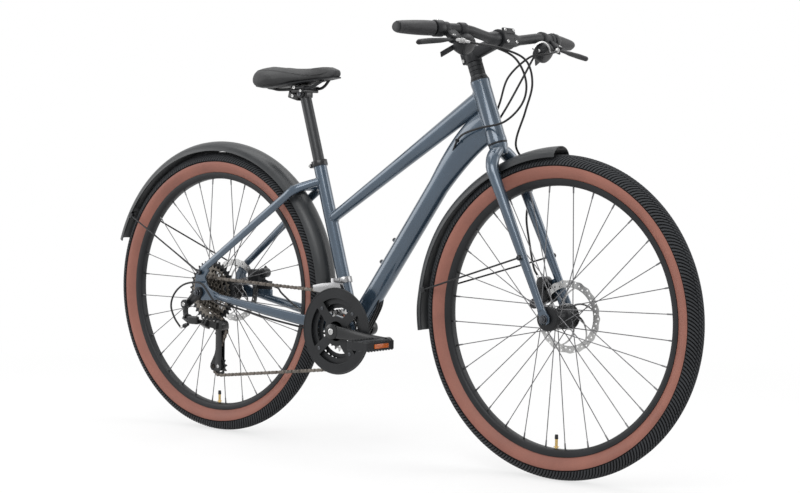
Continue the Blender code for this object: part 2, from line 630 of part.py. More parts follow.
def build_bar():
    inner = BAR_CENTRE + SIDE * 0.034
    rise_start = BAR_CENTRE + Vector((0.0008, 0.056, 0.0012))
    half = [inner, rise_start, BAR_SHOULDER - Vector((0.0008, 0.012, 0.0024)),
            BAR_SHOULDER + BAR_DIRECTION * 0.012, BAR_TIP - BAR_DIRECTION * 0.004]
    curve_points = smooth_path([BAR_CENTRE, inner, rise_start, half[2], half[3]], 9)
    left = curve_points[1:] + [half[4]]
    path = [on_side(p, -1.0) for p in reversed(left)] + [BAR_CENTRE.copy()] + left
    radii = []
    for point in path:
        off = abs(point.y)
        blend = min(max((off - 0.032) / 0.030, 0.0), 1.0)
        radii.append(BAR_CLAMP_RADIUS * (1.0 - blend) + BAR_RADIUS * blend)
    finish(tube("bar", path, 1.0, 2, radii), "handlebar", BLACK_METAL, BAR_CENTRE)


def bar_point(off, side):
    """The bar's centre line at a distance from the centre plane, beyond the bend."""
    along = (off - BAR_SHOULDER.y) / BAR_DIRECTION.y
    return on_side(BAR_SHOULDER + BAR_DIRECTION * along, side)


def build_grips():
    for side, name in ((-1.0, "grip_right"), (1.0, "grip_left")):
        direction = on_side(BAR_DIRECTION, side)
        back = Vector((-1.0, 0.0, 0.0)) - direction * -direction.x
        back = back.normalized()
        lift = back.cross(direction).normalized() * side
        tip = on_side(BAR_TIP, side)
        stations = ((0.1170, 0.0, 0.0178, 0.0178), (0.0960, 0.0, 0.0178, 0.0178), (0.0930, 0.0, 0.0158, 0.0158),
                    (0.070, 0.0020, 0.0180, 0.0160), (0.040, 0.0050, 0.0220, 0.0150), (0.014, 0.0060, 0.0225, 0.0135),
                    (0.0, 0.0040, 0.0165, 0.0110))
        sections = []
        for inset, shift, half_back, half_up in stations:
            centre = tip - direction * inset + back * shift
            sections.append((centre, back, lift, half_back, half_up))
        body = loft(name, sections, 10)
        bore = cylinder("bore", tip - direction * 0.150, tip - direction * 0.0036, BAR_RADIUS + TOUCH * 2, 10)
        finish(cut(body, bore), name, GRIP_RUBBER, tip)


# Controls on the bar
LEVER_OFFSET = BAR_WIDTH / 2.0 - LEVER_FROM_TIP
POD_OFFSET = BAR_WIDTH / 2.0 - POD_FROM_TIP
PULL = Vector((math.cos(math.radians(25.0)), 0.0, -math.sin(math.radians(25.0))))
POD_AXIS = Vector((math.cos(math.radians(30.5)), 0.0, -math.sin(math.radians(30.5))))
POD_UP = Vector((math.sin(math.radians(30.5)), 0.0, math.cos(math.radians(30.5))))


def lever_pivot(side):
    return bar_point(LEVER_OFFSET, side) + Vector((0.0240, 0.0, -0.0220))


def pod_centre(side):
    return bar_point(POD_OFFSET, side) + Vector((0.0070, 0.0, -0.0315))


def thumb_pivot(side):
    return pod_centre(side) - POD_AXIS * 0.0133 - POD_UP * 0.0092


def lever_barrel(side):
    """Ends of the threaded barrel that the brake cable comes out of."""
    pivot = lever_pivot(side)
    direction = on_side(BAR_DIRECTION, side)
    return pivot - direction * 0.0040, pivot - direction * 0.0260 + POD_AXIS * 0.0085


def build_control(side, tag):
    direction = on_side(BAR_DIRECTION, side)
    clamp_at = bar_point(LEVER_OFFSET, side)
    pivot = lever_pivot(side)
    axis = direction.cross(PULL).normalized()
    drop = (pivot - clamp_at).normalized()
    pod = pod_centre(side)
    neck_top = bar_point(POD_OFFSET + 0.006, side)
    neck_axis = (pod - neck_top).normalized()
    solids = [block("perch", clamp_at.lerp(pivot, 0.54) - direction * 0.0085, (0.0350, 0.0280, 0.0160), forward=drop,
                    side=direction),
              cylinder("ears", pivot - axis * 0.0085, pivot + axis * 0.0085, 0.0078, 10),
              cylinder("collar", bar_point(POD_OFFSET - 0.006, side), bar_point(LEVER_OFFSET + 0.0055, side),
                       0.0150, 10),
              cylinder("pod", pod - POD_AXIS * 0.0130, pod + POD_AXIS * 0.0130, 0.0240, 10, 0.0205),
              block("neck", neck_top.lerp(pod, 0.50), (0.0300, 0.0230, 0.0170), forward=neck_axis, side=direction),
              cylinder("barrel", *lever_barrel(side), 0.0042, 8)]
    body = joined(*solids)
    room = block("room", pivot + direction * 0.0100 + PULL * 0.0060, (0.0280, 0.0380, 0.0088), forward=PULL,
                 side=direction)
    body = cut(body, cylinder("bore", bar_point(0.100, side), bar_point(0.240, side),
                              (BAR_RADIUS + TOUCH) / math.cos(math.pi / 10.0), 10),
               room, cylinder("pin_hole", pivot - axis * 0.02, pivot + axis * 0.02, 0.0029, 8))
    finish(body, "control_" + tag, BLACK_PLASTIC, clamp_at)
    build_brake_lever(tag, pivot, direction, axis)
    build_thumb_lever(side, tag, direction)


def build_brake_lever(tag, pivot, direction, axis):
    """Bent blade that swings about a pin between the two ears."""
    path = [pivot + direction * 0.002, pivot + direction * 0.020 + PULL * 0.0060, pivot + direction * 0.050
            + PULL * 0.0130, pivot + direction * 0.085 + PULL * 0.0190, pivot + direction * 0.124 + PULL * 0.0280]
    sizes = [(0.0034, 0.0045), (0.0036, 0.0046), (0.0055, 0.0036), (0.0062, 0.0036), (0.0058, 0.0042)]
    blade = swept("blade", path, sizes, 6, across=axis, power=2.6)
    hub = cylinder("hub", pivot - axis * 0.0040, pivot + axis * 0.0040, 0.0062, 10)
    pin = cylinder("pin", pivot - axis * 0.0083, pivot + axis * 0.0083, 0.0025, 8)
    finish(joined(hub, blade, pin), "brake_lever_" + tag, BLACK_METAL, pivot)


def build_thumb_lever(side, tag, direction):
    """Paddle behind and below the pod, on a disc that turns about the pod's axis."""
    centre = thumb_pivot(side)
    hub = cylinder("hub", centre - POD_AXIS * TOUCH, centre - POD_AXIS * 0.0043, 0.0090, 10)
    reach = (direction * 0.80 - POD_UP * 0.60).normalized()
    paddle = block("paddle", centre - POD_AXIS * 0.0030 + reach * 0.0250, (0.0400, 0.0150, 0.0030), forward=reach,
                   side=POD_AXIS.cross(reach), bevel=0.0012)
    finish(joined(hub, paddle), "thumb_lever_" + tag, BLACK_PLASTIC, centre)


# Wheels: laced hubs, rims with their valves, tyres and disc rotors
RIM_HALF = RIM_WIDTH / 2.0
RIM_CHANNEL_RADIUS = BEAD_SEAT_RADIUS - 0.0045
RIM_CHANNEL_HALF = RIM_HALF - 0.0032
RIM_BED_HALF = RIM_HALF - 0.0020
RIM_SECTION = [(RIM_FLANGE_RADIUS, RIM_HALF), (RIM_CHANNEL_RADIUS, RIM_CHANNEL_HALF),
               (RIM_CHANNEL_RADIUS, -RIM_CHANNEL_HALF), (RIM_FLANGE_RADIUS, -RIM_HALF),
               (RIM_BED_RADIUS, -RIM_BED_HALF), (RIM_BED_RADIUS, RIM_BED_HALF)]
TYRE_FOOT_RADIUS = BEAD_SEAT_RADIUS - 0.0030
TYRE_BELLY_RADIUS = TYRE_RADIUS - 0.0245
TYRE_WALL = 0.0065
TYRE_OUTSIDE = [(TYRE_FOOT_RADIUS, RIM_HALF - 0.0040), (RIM_FLANGE_RADIUS + 0.0015, RIM_HALF - 0.0022),
                (TYRE_BELLY_RADIUS, TYRE_WIDTH / 2.0), (TYRE_RADIUS - 0.0085, TYRE_WIDTH * 0.35), (TYRE_RADIUS, 0.0)]
TYRE_INSIDE = [(TYRE_FOOT_RADIUS, RIM_HALF - TYRE_WALL), (TYRE_BELLY_RADIUS, TYRE_WIDTH / 2.0 - TYRE_WALL)]
SPOKE_HOLE_RADIUS = 0.0225
SPOKE_HOLE_SHIFT = math.radians(5.2)
FLANGE_HALF = 0.0012
SPOKE_END_RADIUS = RIM_BED_RADIUS * math.cos(math.pi / WHEEL_STEPS) - 2.0 * TOUCH
SPOKE_SWEEP = math.radians(67.5)
VALVE_ANGLE = math.radians(270.0)
VALVE_LENGTH = 0.0280


def both_sides(half):
    """A half outline and its mirror image, without doubling a point on the centre line."""
    return half + [(radius, -offset) for radius, offset in reversed(half) if offset > 1e-6]


def wheel_point(axle, radius, angle, offset):
    return axle + Vector((radius * math.cos(angle), offset, radius * math.sin(angle)))


def spoke_set(axle, flanges):
    """Thirty-two spokes, three-cross, sixteen to a flange; neighbours lie on opposite faces of the flange."""
    work = bmesh.new()
    per_flange = SPOKE_COUNT // 2
    for flange, offset in enumerate(flanges):
        for k in range(per_flange):
            lean = 1.0 if k % 2 == 0 else -1.0
            hole = math.tau * (k + 0.5 * flange) / per_flange + SPOKE_HOLE_SHIFT
            start = wheel_point(axle, SPOKE_HOLE_RADIUS, hole, offset + lean * FLANGE_HALF)
            end_side = math.copysign(0.0025, offset) + lean * 0.0013
            end = wheel_point(axle, SPOKE_END_RADIUS, hole + lean * SPOKE_SWEEP, end_side)
            made = bmesh.ops.create_cone(work, cap_ends=True, segments=3, radius1=SPOKE_RADIUS, radius2=SPOKE_RADIUS,
                                         depth=(end - start).length)
            place = Matrix.Translation((start + end) / 2.0) @ facing(end - start)
            bmesh.ops.transform(work, matrix=place, verts=made["verts"])
    mesh = bpy.data.meshes.new("spokes")
    work.to_mesh(mesh)
    work.free()
    return linked("spokes", mesh)


def rotor_plate(axle, offset, name, pilot_radius):
    windows = []
    for k in range(6):
        start = math.tau * k / 6.0
        outer = arc_points(0.0655, start + 0.12, start + 0.90, 4)
        inner = arc_points(0.0300, start + 0.62, start + 0.02, 2)
        windows.append(outer + inner)
    hole = ring_points(pilot_radius + 0.0004, 12)
    disc = plate(name, ring_points(ROTOR_RADIUS, 28), [hole] + windows, axle + SIDE * offset, SIDE,
                 (1.0, 0.0, 0.0), ROTOR_THICKNESS)
    finish(disc, name, STEEL, axle)


def build_wheel(end, axle, hub_profile, flanges, rotor_offset):
    turn = dict(centre=axle, axis=SIDE)
    rim = turned("rim", RIM_SECTION, steps=WHEEL_STEPS, **turn)
    stem = cylinder("stem", wheel_point(axle, RIM_BED_RADIUS + 0.003, VALVE_ANGLE, 0.0),
                    wheel_point(axle, RIM_BED_RADIUS - VALVE_LENGTH, VALVE_ANGLE, 0.0), 0.0030, 6)
    finish(joined(rim, stem), end + "_rim", BLACK_METAL, axle)
    tyre_section = both_sides(TYRE_OUTSIDE) + list(reversed(both_sides(TYRE_INSIDE)))
    tyre = turned("tyre", tyre_section, steps=WHEEL_STEPS, **turn)
    finish(tyre, end + "_tyre", RUBBER, axle)
    hub = turned("hub", hub_profile, steps=12, **turn)
    finish(joined(hub, spoke_set(axle, flanges)), end + "_hub", BLACK_METAL, axle)
    rotor_plate(axle, rotor_offset, end + "_rotor", 0.0176)


FRONT_HUB_PROFILE = [(0.0056, -0.0470), (0.0110, -0.0470), (0.0115, -0.0355), (0.0255, -0.0355), (0.0255, -0.0305),
                     (0.0165, -0.0275), (0.0165, 0.0145), (0.0255, 0.0175), (0.0255, 0.0225), (0.0222, 0.0373),
                     (0.0172, 0.0373), (0.0172, 0.0405), (0.0100, 0.0470), (0.0056, 0.0470)]
REAR_HUB_PROFILE = [(0.0056, -0.0235), (0.0255, -0.0235), (0.0255, -0.0185), (0.0175, -0.0155), (0.0175, 0.0275),
                    (0.0255, 0.0305), (0.0255, 0.0355), (0.0222, 0.0370), (0.0222, 0.0508), (0.0172, 0.0508),
                    (0.0172, 0.0540), (0.0100, 0.0635), (0.0056, 0.0635)]


def build_axle(name, axle, inner, outer, nut):
    """Threaded rod with a locknut inside each dropout and a nut outside it."""
    right_outer, left_outer = outer
    rod = cylinder("rod", axle + SIDE * (right_outer - nut), axle + SIDE * (left_outer + nut), AXLE_RADIUS, 8)
    solids = []
    for side, inside, outside in ((-1.0, inner[0], right_outer), (1.0, inner[1], left_outer)):
        solids.append(cylinder("locknut", axle + SIDE * inside[0], axle + SIDE * inside[1], 0.0085, 6))
        solids.append(cylinder("nut", axle + SIDE * (outside + side * TOUCH), axle + SIDE * (outside + side * 0.0085),
                               0.0086, 6))
    return finish(joined(rod, *solids), name, STEEL, axle)


def build_wheels():
    build_wheel("front", FRONT_AXLE, FRONT_HUB_PROFILE, (-0.0330, 0.0200), FRONT_ROTOR_OFFSET)
    build_wheel("rear", REAR_AXLE, REAR_HUB_PROFILE, (-0.0210, 0.0330), REAR_ROTOR_OFFSET)
    front_face = FRONT_OLD / 2.0 + 0.0070
    build_axle("front_axle", FRONT_AXLE, ((-0.0474, -FRONT_OLD / 2.0 + TOUCH), (0.0474, FRONT_OLD / 2.0 - TOUCH)),
               (-front_face, front_face), 0.0110)
    rear_face = REAR_OLD / 2.0 + DROPOUT_THICKNESS
    build_axle("rear_axle", REAR_AXLE, ((-0.0648, -REAR_OLD / 2.0 + TOUCH), (0.0639, REAR_OLD / 2.0 - TOUCH)),
               (-rear_face - HANGER_THICKNESS - TOUCH, rear_face), 0.0110)


# Drivetrain: sprockets, chainset, chain and pedals
def pitch_radius(teeth):
    return CHAIN_PITCH / (2.0 * math.sin(math.pi / teeth))


def sprocket_outline(teeth, phase, engaged):
    """Tooth outline whose gaps hold the rollers at phase, phase + one tooth, and so on."""
    root = pitch_radius(teeth) - (0.0062 if engaged else 0.0042)
    tip = pitch_radius(teeth) + (0.0016 if engaged else 0.0030)
    outline = []
    for k in range(teeth):
        gap = phase + math.tau * k / teeth
        outline.append((root, gap))
        outline.append((tip, gap + math.pi / teeth))
    return [(radius * math.cos(angle), radius * math.sin(angle)) for radius, angle in outline]


def sprocket(name, centre, offset, teeth, phase=0.0, engaged=False):
    """Toothed disc in a plane of constant y."""
    outline = sprocket_outline(teeth, phase, engaged)
    rings = [[centre + Vector((u, offset + shift, v)) for u, v in outline]
             for shift in (-TOOTH_THICKNESS / 2.0, TOOTH_THICKNESS / 2.0)]
    return ring_loft(name, rings)


COG_OFFSETS = [FIRST_COG_OFFSET - COG_SPACING * k for k in range(len(COG_TEETH))]
CHAIN_LINE = COG_OFFSETS[CHAIN_COG]
B_BOLT = at_rear(-0.0365, 0.0, -0.0305)
CAGE_PIVOT = at_rear(0.0720, 0.0, -0.0780)
GUIDE_REACH = 0.0246
GUIDE_ANGLE = math.radians(197.0)
PULLEY_SPACING = 0.0955
TENSION_GUESS = math.radians(265.0)


def flat(point):
    return Vector((point.x, point.z))


def chain_circles(swing):
    """Pitch circles that the chain wraps, in its running order; -1 turns clockwise seen from the drive side."""
    guide = flat(CAGE_PIVOT) + Vector((math.cos(GUIDE_ANGLE + swing), math.sin(GUIDE_ANGLE + swing))) * GUIDE_REACH
    lower = guide + Vector((math.cos(TENSION_GUESS + swing), math.sin(TENSION_GUESS + swing))) * PULLEY_SPACING
    return [(flat(REAR_AXLE), pitch_radius(COG_TEETH[CHAIN_COG]), -1.0, CHAIN_LINE),
            (flat(BB), pitch_radius(RING_TEETH[0]), -1.0, RING_OFFSETS[0]),
            (lower, pitch_radius(PULLEY_TEETH), -1.0, CHAIN_LINE),
            (guide, pitch_radius(PULLEY_TEETH), 1.0, CHAIN_LINE)]


def tangent(first, second):
    """Where a belt leaves one circle and meets the next."""
    (c1, r1, s1, y1), (c2, r2, s2, y2) = first, second
    gap = c2 - c1
    turn = math.asin((s2 * r2 - s1 * r1) / gap.length)
    heading = math.atan2(gap.y, gap.x) - turn
    right = Vector((math.sin(heading), -math.cos(heading)))
    return c1 + right * (s1 * r1), c2 + right * (s2 * r2)


def chain_pieces(swing):
    """Straight and wrapped parts of the loop in order, each with its length."""
    circles = chain_circles(swing)
    spans = [tangent(circles[k], circles[(k + 1) % 4]) for k in range(4)]
    pieces = []
    for k in range(4):
        leave, meet = spans[k]
        pieces.append(("line", leave, meet, circles[k][3], circles[(k + 1) % 4][3], (meet - leave).length))
        centre, radius, sense, offset = circles[(k + 1) % 4]
        away = spans[(k + 1) % 4][0]
        first = math.atan2(meet.y - centre.y, meet.x - centre.x)
        last = math.atan2(away.y - centre.y, away.x - centre.x)
        wrap = (last - first) * sense % math.tau
        pieces.append(("arc", centre, radius, sense, first, offset, wrap * radius))
    return pieces


def loop_length(swing):
    return sum(piece[-1] for piece in chain_pieces(swing))


CHAIN_LINKS = 2 * round(loop_length(0.0) / (2.0 * CHAIN_PITCH))


def taut_swing():
    """Turn the sprung cage until the loop is exactly as long as the links."""
    low = math.radians(-40.0)
    high = math.radians(40.0)
    want = CHAIN_LINKS * CHAIN_PITCH
    rising = loop_length(high) > loop_length(low)
    for _ in range(50):
        middle = (low + high) / 2.0
        if (loop_length(middle) > want) == rising:
            high = middle
        else:
            low = middle
    return (low + high) / 2.0


CAGE_SWING = taut_swing()
CHAIN_LOOP = chain_pieces(CAGE_SWING)
LOWER_CIRCLE, GUIDE_CIRCLE = chain_circles(CAGE_SWING)[2:]
GUIDE_PULLEY = Vector((GUIDE_CIRCLE[0].x, CHAIN_LINE, GUIDE_CIRCLE[0].y))
TENSION_PULLEY = Vector((LOWER_CIRCLE[0].x, CHAIN_LINE, LOWER_CIRCLE[0].y))


def chain_at(distance):
    """Centre point and travel direction at a distance along the loop."""
    rest = distance % sum(piece[-1] for piece in CHAIN_LOOP)
    for piece in CHAIN_LOOP:
        if rest <= piece[-1]:
            break
        rest -= piece[-1]
    if piece[0] == "line":
        _, start, end, y1, y2, length = piece
        part = rest / length
        point = start.lerp(end, part)
        return Vector((point.x, y1 + (y2 - y1) * part, point.y)), (end - start).normalized()
    _, centre, radius, sense, first, offset, _ = piece
    angle = first + sense * rest / radius
    out = Vector((math.cos(angle), math.sin(angle)))
    point = centre + out * radius
    return Vector((point.x, offset, point.y)), Vector((-out.y, out.x)) * sense


def sprocket_phase(index, centre):
    """Angle of the roller nearest the middle of one wrapped part of the loop."""
    middle = sum(piece[-1] for piece in CHAIN_LOOP[:index]) + CHAIN_LOOP[index][-1] / 2.0
    roller = round(middle / CHAIN_PITCH) * CHAIN_PITCH
    point, _ = chain_at(roller)
    return math.atan2(point.z - centre.z, point.x - centre.x)


def build_chain():
    """One closed loop: open links with rollers around each sprocket, closed bars between them."""
    open_links = set()
    along = 0.0
    for piece in CHAIN_LOOP:
        if piece[0] == "arc":
            lead = 1.6 if piece[2] > 0.05 else 0.8
            first = math.floor(along / CHAIN_PITCH - lead)
            last = math.ceil((along + piece[-1]) / CHAIN_PITCH + lead)
            open_links.update(k % CHAIN_LINKS for k in range(first, last))
        along += piece[-1]
    half_roller = 0.0015
    open_pairs = {k - k % 2 for k in open_links}
    stations = []
    for k in range(0, CHAIN_LINKS, 2):
        if k in open_pairs or (k - 2) % CHAIN_LINKS in open_pairs:
            stations.append((k * CHAIN_PITCH - half_roller, True))
            stations.append((k * CHAIN_PITCH + half_roller, k not in open_pairs))
            if k in open_pairs:
                stations.append(((k + 1) * CHAIN_PITCH, False))
    work = bmesh.new()
    rings = []
    for distance, _ in stations:
        point, heading = chain_at(distance)
        up = Vector((-heading.y, 0.0, heading.x)) * CHAIN_HALF_HEIGHT
        ring = []
        for y in (-CHAIN_HALF_WIDTH, -CHAIN_GAP, CHAIN_GAP, CHAIN_HALF_WIDTH):
            ring.append((work.verts.new(point + SIDE * y + up), work.verts.new(point + SIDE * y - up)))
        rings.append(ring)
    count = len(rings)
    for k in range(count):
        a = rings[k]
        b = rings[(k + 1) % count]
        solid = stations[k][1]
        before = stations[k - 1][1]
        for strip in (0, 1, 2):
            if strip == 1 and not solid:
                continue
            work.faces.new((a[strip][0], a[strip + 1][0], b[strip + 1][0], b[strip][0]))
            work.faces.new((a[strip][1], b[strip][1], b[strip + 1][1], a[strip + 1][1]))
        work.faces.new((a[0][0], b[0][0], b[0][1], a[0][1]))
        work.faces.new((a[3][0], a[3][1], b[3][1], b[3][0]))
        if not solid:
            work.faces.new((a[1][0], a[1][1], b[1][1], b[1][0]))
            work.faces.new((a[2][0], b[2][0], b[2][1], a[2][1]))
        if solid != before:
            work.faces.new((a[1][0], a[2][0], a[2][1], a[1][1]))
    bmesh.ops.recalc_face_normals(work, faces=work.faces)
    mesh = bpy.data.meshes.new("chain")
    work.to_mesh(mesh)
    work.free()
    finish(linked("chain", mesh), "chain", CHAIN_STEEL)


def build_cassette():
    core = cylinder("core", REAR_AXLE - SIDE * 0.0240, REAR_AXLE - SIDE * 0.0645, 0.0165, 10)
    for offset, teeth in zip(COG_OFFSETS, COG_TEETH):
        engaged = offset == CHAIN_LINE
        phase = sprocket_phase(7, REAR_AXLE) if engaged else 0.0
        core = joined(core, sprocket("cog", REAR_AXLE, offset, teeth, phase, engaged))
    bore = cylinder("bore", REAR_AXLE, REAR_AXLE - SIDE * 0.0700, 0.0056, 8)
    finish(cut(core, bore), "cassette", CHAIN_STEEL, REAR_AXLE)


SPINDLE_RADIUS = 0.0085
GUARD_THICKNESS = 0.0024
GUARD_INNER = CHAINGUARD_OFFSET + GUARD_THICKNESS / 2.0
CHAINGUARD_RADIUS = pitch_radius(RING_TEETH[0]) + CHAINGUARD_CLEARANCE


def build_chainset():
    cartridge = turned("cartridge", [(0.0100, -0.0365), (0.0203, -0.0365), (0.0203, -BB_SHELL_WIDTH / 2 - TOUCH),
                                     (0.0170, -BB_SHELL_WIDTH / 2 - TOUCH), (0.0170, BB_SHELL_WIDTH / 2 + TOUCH),
                                     (0.0203, BB_SHELL_WIDTH / 2 + TOUCH), (0.0203, 0.0365), (0.0100, 0.0365)],
                       BB, SIDE, 12)
    finish(cartridge, "bottom_bracket", BLACK_METAL, BB)
    rings = cylinder("core", BB - SIDE * 0.0405, BB + SIDE * (GUARD_INNER - 0.0004), 0.0230, 12)
    phase = sprocket_phase(1, BB)
    rings = joined(rings, sprocket("ring", BB, RING_OFFSETS[0], RING_TEETH[0], phase, True),
                   sprocket("ring", BB, RING_OFFSETS[1], RING_TEETH[1]),
                   sprocket("ring", BB, RING_OFFSETS[2], RING_TEETH[2]))
    windows = []
    for k in range(4):
        start = CRANK_ANGLE + math.radians(90.0 * k)
        outer = arc_points(0.0800, start + math.radians(-34.0), start + math.radians(34.0), 6)
        inner = arc_points(0.0360, start + math.radians(18.0), start + math.radians(-18.0), 3)
        windows.append(outer + inner)
    guard = plate("guard", ring_points(CHAINGUARD_RADIUS, 32), windows, BB + SIDE * CHAINGUARD_OFFSET, -SIDE,
                  (1.0, 0.0, 0.0), GUARD_THICKNESS)
    rings = cut(joined(rings, guard), cylinder("bore", BB - SIDE * 0.03, BB - SIDE * 0.08, SPINDLE_RADIUS + TOUCH, 12))
    finish(rings, "chainrings", BLACK_METAL, BB)


def crank_end(side):
    return BB + Vector((math.cos(CRANK_ANGLE), 0.0, math.sin(CRANK_ANGLE))) * (CRANK_LENGTH * side * -1.0)


RIGHT_CRANK_FACES = (-0.0685, -0.0840)
LEFT_CRANK_FACES = (0.0480, 0.0660)
RIGHT_CRANK_FLARE = 0.0080
LEFT_CRANK_FLARE = 0.0265


def build_crank(side, name, faces, flare):
    """Forged arm with a round boss on the spindle and a threaded eye for the pedal."""
    inner, outer = faces
    tip = crank_end(side)
    along = (tip - BB).normalized()
    middle = (inner + outer) / 2.0
    path = [BB + SIDE * middle + along * 0.004, BB + SIDE * (middle + side * flare * 0.12) + along * 0.060,
            BB + SIDE * (middle + side * flare * 0.70) + along * 0.120,
            tip + SIDE * (middle + side * flare) - along * 0.004]
    arm = swept("arm", path, [(0.0065, 0.0150), (0.0062, 0.0128), (0.0060, 0.0112), (0.0060, 0.0118)], 8, across=SIDE,
                power=3.0)
    boss = cylinder("boss", BB + SIDE * inner, BB + SIDE * outer, 0.0180, 14)
    eye_middle = tip + SIDE * (middle + side * flare)
    eye = cylinder("eye", eye_middle - SIDE * side * 0.0070, eye_middle + SIDE * side * 0.0070, 0.0135, 12)
    body = joined(boss, arm, eye)
    body = cut(body, cylinder("eye_bore", eye_middle - SIDE * 0.020, eye_middle + SIDE * 0.020, 0.0072, 10))
    if side < 0.0:
        body = joined(body, cylinder("spindle", BB + SIDE * 0.0640, BB + SIDE * (inner - 0.004), SPINDLE_RADIUS, 12))
    else:
        body = cut(body, cylinder("bore", BB + SIDE * (inner - 0.005), BB + SIDE * 0.0645, SPINDLE_RADIUS + TOUCH, 12))
    return finish(body, name, BLACK_METAL, BB)


PEDAL_INNER = 0.0960
PEDAL_OUTER = 0.1900
PEDAL_HALF_LENGTH = 0.0310
PEDAL_THICKNESS = 0.0200
RIGHT_PEDAL_INNER = -0.0790
LEFT_PEDAL_INNER = 0.0780


def build_pedal(side, name, inner):
    """Caged platform with a bar across the axle; the axle screws into the crank's eye."""
    tip = crank_end(side)
    centre = tip + SIDE * (side * (PEDAL_INNER + PEDAL_OUTER) / 2.0)
    half_x = PEDAL_HALF_LENGTH
    half_y = (PEDAL_OUTER - PEDAL_INNER) / 2.0
    outline = [(-half_x, -half_y), (-0.020, -half_y - 0.0001), (0.020, -half_y - 0.0001), (half_x, -half_y),
               (half_x, half_y), (0.020, half_y + 0.0001), (-0.020, half_y + 0.0001), (-half_x, half_y)]
    windows = [[(sign * u, v) for u, v in ((0.0125, -0.0380), (0.0250, -0.0380), (0.0250, 0.0380), (0.0125, 0.0380))]
               for sign in (-1.0, 1.0)]
    body = plate("frame", outline, windows, centre, UP, (1.0, 0.0, 0.0), PEDAL_THICKNESS)
    core_half = SIDE * side * (half_y - 0.001)
    core = cylinder("core", centre - core_half, centre + core_half, 0.0115, 12)
    axle = cylinder("axle", tip + SIDE * inner, centre, 0.0068, 10)
    reflectors = [block("reflector", centre + Vector((sign * (half_x + 0.0015), 0.0, 0.0)), (0.0050, 0.0620, 0.0150))
                  for sign in (-1.0, 1.0)]
    finish(joined(body, core, axle, *reflectors), name, BLACK_PLASTIC, tip)


def build_drivetrain():
    build_cassette()
    build_chainset()
    build_crank(-1.0, "right_crank", RIGHT_CRANK_FACES, RIGHT_CRANK_FLARE)
    build_crank(1.0, "left_crank", LEFT_CRANK_FACES, LEFT_CRANK_FLARE)
    build_pedal(-1.0, "right_pedal", RIGHT_PEDAL_INNER)
    build_pedal(1.0, "left_pedal", LEFT_PEDAL_INNER)
    build_chain()


# Rear derailleur: a slanted parallelogram carries a sprung cage with two pulleys
HANGER_FACE = -(REAR_OLD / 2.0 + DROPOUT_THICKNESS + TOUCH)
LINK_LENGTH = 0.0520
LINK_DIRECTION = Vector((math.cos(math.radians(-8.0)), 0.0, math.sin(math.radians(-8.0))))
SLANT = math.radians(34.0)
LINK_START = at_rear(-0.0220, -0.0850, -0.0670)
SHIFT_RAW = Vector((0.0, math.cos(SLANT), -math.sin(SLANT)))
SHIFT_DIRECTION = (SHIFT_RAW - LINK_DIRECTION * SHIFT_RAW.dot(LINK_DIRECTION)).normalized()
LINK_AXIS = LINK_DIRECTION.cross(SHIFT_DIRECTION)
BARREL_START = at_rear(-0.0300, -0.0830, -0.0810)
BARREL_END = at_rear(-0.0460, -0.0830, -0.0870)
BARREL_OUT = (BARREL_END - BARREL_START).normalized()
LINK_SPREAD = 0.0060
LINK_BARREL = 0.0042
LINK_PIN = 0.0022
OPENED_PIVOT_ROOM = 0.0009


def link_points(inner):
    start = LINK_START + SHIFT_DIRECTION * (LINK_SPREAD if inner else -LINK_SPREAD)
    return start, start + LINK_DIRECTION * LINK_LENGTH


def build_link(name, inner):
    start, end = link_points(inner)
    half = 0.0050
    bar = block("bar", (start + end) / 2.0, (LINK_LENGTH, 0.0030, half * 1.7), forward=LINK_DIRECTION,
                side=SHIFT_DIRECTION)
    ends = [cylinder("end", point - LINK_AXIS * half, point + LINK_AXIS * half, LINK_BARREL, 8)
            for point in (start, end)]
    bores = [cylinder("bore", start - LINK_AXIS * 0.02, start + LINK_AXIS * 0.02, LINK_PIN + RUN, 8),
             cylinder("bore", end - LINK_AXIS * 0.02, end + LINK_AXIS * 0.02,
                      LINK_PIN + (OPENED_PIVOT_ROOM if inner else RUN), 8)]
    finish(cut(joined(bar, *ends), *bores), name, BLACK_METAL, start)


def jaws(points, reach):
    """Two cheeks and the pins between them that hold one end of both links."""
    middle = (points[0] + points[1]) / 2.0
    solids = []
    for sign in (-1.0, 1.0):
        solids.append(block("cheek", middle + LINK_AXIS * sign * 0.0066 + LINK_DIRECTION * reach,
                            (0.0120 + abs(reach) * 2.0, 0.0220, 0.0026), forward=LINK_DIRECTION, side=SHIFT_DIRECTION))
    for point in points:
        solids.append(cylinder("pin", point - LINK_AXIS * 0.0070, point + LINK_AXIS * 0.0070, LINK_PIN, 8))
    web = middle + LINK_DIRECTION * (reach * 2.0 + math.copysign(0.0045, reach))
    solids.append(block("web", web, (0.0060, 0.0220, 0.0158), forward=LINK_DIRECTION, side=SHIFT_DIRECTION))
    return solids


CAGE_OUTER = CHAIN_LINE - 0.0052
CAGE_INNER = CHAIN_LINE + 0.0052
CAGE_PLATE = 0.0016
KNUCKLE_INNER = CAGE_OUTER - CAGE_PLATE - TOUCH


def hull_outline(circles, steps):
    """Outline round a chain of circles, counter-clockwise, as a convex shape."""
    points = []
    for centre, radius in circles:
        points += [(centre[0] + u, centre[1] + v) for u, v in ring_points(radius, steps)]
    points.sort()
    outline = []
    for direction in (points, list(reversed(points))):
        chain = []
        for point in direction:
            while len(chain) > 1 and ((chain[-1][0] - chain[-2][0]) * (point[1] - chain[-2][1])
                                      - (chain[-1][1] - chain[-2][1]) * (point[0] - chain[-2][0])) <= 1e-12:
                chain.pop()
            chain.append(point)
        outline += chain[:-1]
    return outline


